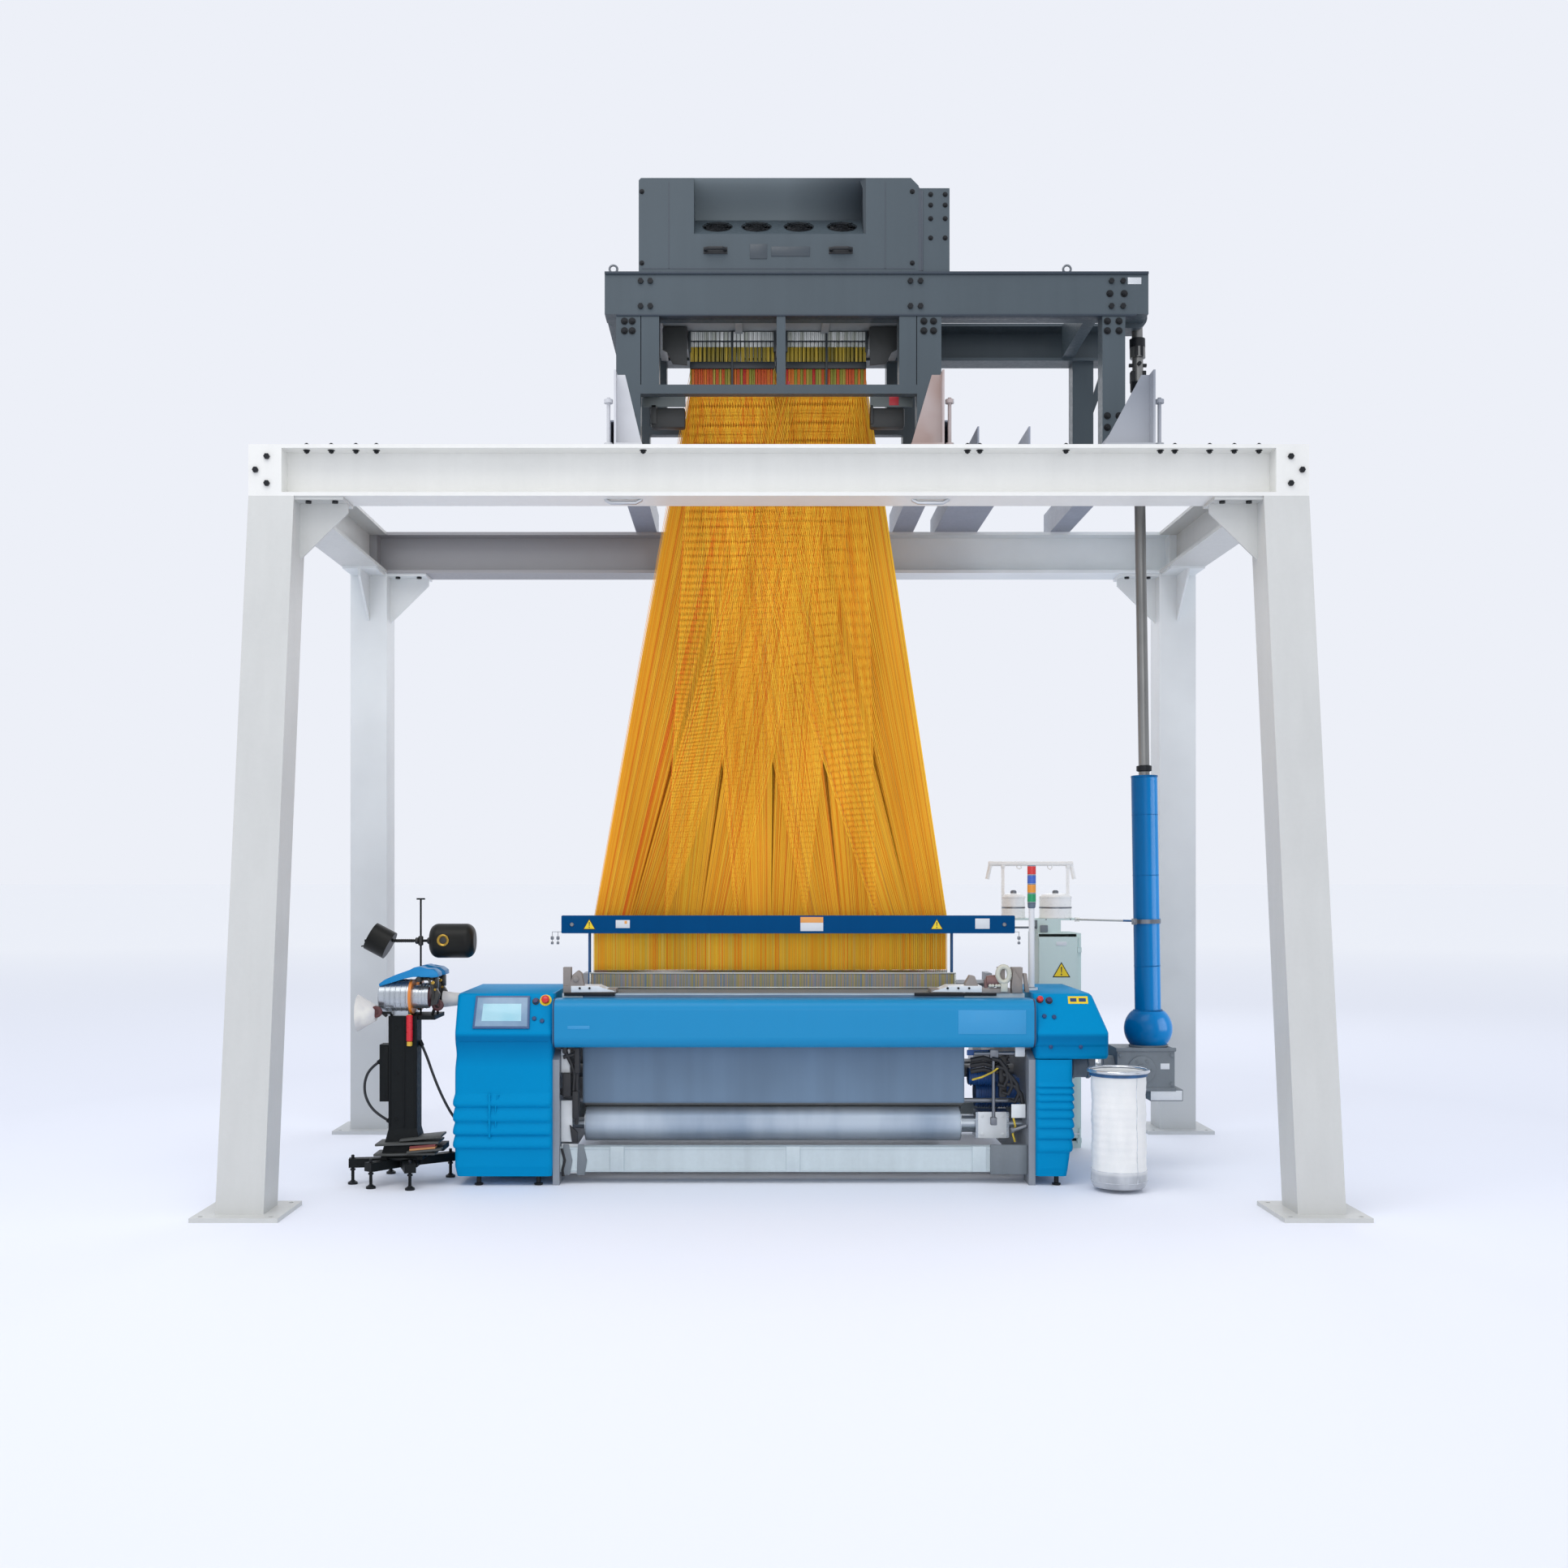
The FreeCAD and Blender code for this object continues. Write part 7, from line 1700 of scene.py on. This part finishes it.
tops, trims, knobs, forks, brass = Work(), Work(), Work(), Work(), Work()
CROWN = ((-2.010, 1.000), (-2.014, 1.012), (-1.985, 1.034), (-1.930, 1.058), (-1.868, 1.076), (-1.836, 1.096),
    (-1.806, 1.100), (-1.786, 1.090), (-1.742, 1.088), (-1.716, 1.070), (-1.714, 1.048), (-1.752, 1.044),
    (-1.790, 1.052), (-1.840, 1.048), (-1.880, 1.040), (-1.960, 1.016))
for y in FEED_YS:
    tops.upright(y - 0.058, 0.116, CROWN, 0.004)
    for k in range(5):
        x = -1.985 + 0.026 * k
        trims.turned((x, y, FEED_Z), TO_RIGHT, barrel(0.0755, 0.002, 0.0785, 0.006, 0.008), 44)
    trims.turned((-2.0105, y, FEED_Z), TO_LEFT, [(0, 0.070), (0.006, 0.066), (0.012, 0.046), (0.014, 0.020),
        (0.014, 0)], 40)
    trims.block((-1.998, y - 0.022, 0.868), (-1.874, y + 0.022, 0.884), 0.004)
    for k in range(4):
        trims.turned((-1.836 + 0.017 * k, y, FEED_Z), TO_RIGHT, barrel(0.0578, 0.001, 0.0600, 0.005, 0.006), 40)
    knobs.turned((-1.766, y, FEED_Z), TO_RIGHT, [(0, 0.052), (0.004, 0.050), (0.010, 0.030), (0.010, 0)], 36)
    forks.bent([(-1.792, y - 0.020, 1.048), (-1.764, y - 0.050, 1.038), (-1.742, y - 0.066, 1.002),
        (-1.736, y - 0.064, 0.955), (-1.742, y - 0.050, 0.918)], 0.0065, 10)
    forks.blocks(0.005, ((-1.800, y - 0.030, 1.028), (-1.728, y + 0.024, 1.054)),
                        ((-1.748, y - 0.030, 0.985), (-1.722, y + 0.020, 1.046)))
    forks.upright(y - 0.060, 0.03, [(-1.752, 0.900), (-1.718, 0.912), (-1.704, 0.962), (-1.722, 0.992),
        (-1.746, 0.972)], 0.004)
    forks.turned((-1.812, y - 0.064, 1.036), TO_BACK, barrel(0.012, 0.003, 0.014, 0.100, 0.103), 20)
    brass.turned((-1.738, y - 0.062, 1.020), TO_FRONT, stud(0.009, 0.005, 0.006, 0.005), 18)
    brass.turned((-1.728, y - 0.060, 0.985), TO_FRONT, [(0, 0.006), (0.004, 0.006), (0.004, 0)], 14)
tops.done("feeder_crowns", painted("feeder_blue", srgb(20, 130, 190), 0.35, 0.04, shine=0.3), slot="cover_blue")
trims.done("feeder_trims", bpy.data.materials["feeder_alloy"], slot="feeder_metal")
brass.turned((-1.702, -0.4772, 1.2305), TO_FRONT, [(0, 0.018), (0.0, 0.031), (0.004, 0.030), (0.006, 0.026),
    (0.004, 0.021), (0, 0.018)], 32)
brass.done("brass_bits", ground_steel("brass", srgb(176, 142, 62), 0.3), slot="feeder_metal")

for x, y, z, way in ((-2.016, -0.575, 0.876, -1), (-1.730, -0.455, 0.900, -1)):
    knobs.turned((x, y, z), (0, way, 0), [(0, 0.022), (0.004, 0.030), (0.016, 0.030), (0.020, 0.024),
        (0.020, 0.014), (0.014, 0.012), (0.014, 0)], 28)
knobs.done("tension_knobs", moulded("knob_maroon", srgb(84, 40, 42), 0.35), slot="button_dark")
forks.turned((-1.702, -0.4768, 1.2305), TO_FRONT, [(0, 0.018), (0.001, 0.016), (0.001, 0)], 24)
forks.bent([(-1.730, -0.470, 0.895), (-1.748, -0.462, 0.880), (-1.760, -0.455, 0.852)], 0.008, 10)
forks.bent([(-2.016, -0.560, 0.876), (-1.996, -0.540, 0.868), (-1.980, -0.520, 0.850)], 0.008, 10)
for x in (-1.862, -1.800):
    forks.turned((x, MAST_Y, 1.225), TO_RIGHT, barrel(0.010, 0.006, 0.017, 0.016, 0.022), 20)
forks.rod((-2.138, MAST_Y, 1.196), (-2.070, MAST_Y, 1.212), 0.004, 0.0, 12)
forks.turned((-1.832, MAST_Y, 1.200), UPWARDS, barrel(0.008, 0.004, 0.013, 0.046, 0.050), 20)
for begin, pitch, count in ((-1.798, 0.0065, 11), (-1.975, 0.0068, 16)):
    for k in range(count):
        forks.turned((begin + pitch * k, MAST_Y, 1.225), TO_RIGHT,
            barrel(0.0072, 0.0015, 0.0098, 0.0032, 0.0047), 16)
forks.done("feeder_arms", moulded("arm_black", srgb(42, 42, 40), 0.4), slot="stand_black")

column = Work()
COLUMN_FACE = -0.5376
for x in (-1.958, -1.886, -1.828):
    column.block((x - 0.004, COLUMN_FACE - 0.004, 0.290), (x + 0.004, COLUMN_FACE + 0.002, 0.835), 0.0015)
for z in (0.330, 0.560, 0.790):
    column.turned((-1.925, COLUMN_FACE, z), TO_FRONT, stud(0.008, 0.005, 0.006, 0.006), 6)
box_face = -0.525
column.block((-2.011, box_face - 0.004, 0.425), (-1.967, box_face + 0.002, 0.697), 0.003)
for z in (0.440, 0.682):
    column.turned((-1.989, box_face - 0.003, z), TO_FRONT, [(0, 0.005), (0.003, 0.005), (0.003, 0)], 14)
column.prism([(-1.976, -0.5660, 0.130), (-1.810, -0.5660, 0.130), (-1.838, -0.5400, 0.262),
    (-1.948, -0.5400, 0.262)], (0, 0.02, 0.0), 0.003)
column.turned((-1.893, -0.480, 0.130), UPWARDS, [(0, 0.060), (0.0, 0.112), (0.006, 0.116), (0.012, 0.112),
    (0.012, 0.06)], 40)
column.done("column_details", stand_black, slot="stand_black")
feet = Work()
for x, y in ((-2.149, -0.520), (-2.030, -0.640), (-1.827, -0.680), (-1.690, -0.330), (-2.020, -0.230)):
    feet.turned((x, y, 0.0), UPWARDS, [(0, 0.0243), (0.004, 0.0248), (0.010, 0.0243), (0.014, 0.016),
        (0.020, 0.010), (0.020, 0.006)], 28)
    for z in (0.070, 0.124):
        feet.turned((x, y, z), UPWARDS, [(0, 0.008), (0, 0.015), (0.008, 0.015), (0.008, 0.006)], 6)
    feet.turned((x, y, 0.128), UPWARDS, stud(0.0082, 0.018, 0.020, 0.006), 16)
for x, y in ((-1.206, -0.545), (-1.507, -0.545), (1.405, -0.545)):
    feet.turned((x, y, 0.0), UPWARDS, [(0, 0.018), (0.003, 0.022), (0.010, 0.022), (0.012, 0.012),
        (0.050, 0.012), (0.050, 0.006)], 24)
feet.done("levelling_feet", dark_bolt, slot="stand_black")

cylinder_red, cylinder_end = Work(), Work()
cylinder_red.turned((-1.856, -0.5500, 0.724), UPWARDS, barrel(0.012, 0.003, 0.016, 0.130, 0.133), 28)
cylinder_red.done("air_cylinder", painted("cylinder_red", srgb(206, 30, 44), 0.3, 0.05), slot="button_red")
cylinder_end.turned((-1.856, -0.5500, 0.700), UPWARDS, [(0, 0.008), (0.002, 0.014), (0.022, 0.014),
    (0.024, 0.010)], 24)
cylinder_end.block((-1.864, -0.5500, 0.842), (-1.848, -0.5370, 0.860), 0.002)
cylinder_end.done("air_cylinder_end", painted("end_yellow", srgb(214, 174, 60), 0.4, 0.05), slot="feeder_metal")
trays, tray_red, tray_tan = Work(), Work(), Work()
for x0, x1, y0, y1, z, turn in ((-2.020, -1.700, -0.600, -0.440, 0.202, 0.020),
        (-1.900, -1.690, -0.585, -0.440, 0.222, 0.034), (-2.030, -1.720, -0.590, -0.450, 0.150, 0.012),
        (-1.860, -1.684, -0.610, -0.470, 0.166, 0.028)):
    trays.upright(y0, y1 - y0, [(x0, z), (x1, z + turn * 0.6), (x1, z + turn * 0.6 + 0.012), (x0, z + 0.012)],
        0.003)
trays.done("foot_trays", painted("tray_grey", srgb(70, 72, 70), 0.5, 0.12), slot="stand_black")
tray_red.upright(-0.604, 0.10, [(-1.846, 0.190), (-1.716, 0.202), (-1.716, 0.214), (-1.846, 0.202)], 0.002)
tray_red.done("tray_strip_red", painted("strip_red", srgb(122, 52, 50), 0.5, 0.1), slot="stand_black")
tray_tan.upright(-0.606, 0.10, [(-1.846, 0.180), (-1.716, 0.192), (-1.716, 0.202), (-1.846, 0.190)], 0.002)
tray_tan.done("tray_strip_tan", painted("strip_tan", srgb(190, 134, 84), 0.5, 0.1), slot="stand_black")

# --- Gantry fittings -----------------------------------------------------------------------------
# Two U-bolts clamp the head's cross beams to the gantry's front beam: each bends round the beam from
# below, and both its ends stand above the beam with a nut and a stud.
ubolts = Work()
for x0, x1 in ((-0.850, -0.668), (0.652, 0.834)):
    for x in (x0, x1):
        ubolts.turned((x, -0.740, 3.636), UPWARDS, [(0, 0.012), (0.0, 0.022), (0.010, 0.022), (0.010, 0.012),
            (0.024, 0.012), (0.024, 0)], 6)
    ubolts.bent([(x0, -0.790, 3.420), (x0 + 0.006, -0.790, 3.396), (x0 + 0.030, -0.790, 3.384),
        (x1 - 0.030, -0.790, 3.384), (x1 - 0.006, -0.790, 3.396), (x1, -0.790, 3.420)], 0.010, 12)
ubolts.done("beam_clamps", ground_steel("clamp_steel", srgb(206, 208, 210), 0.35), slot="bolt_steel")
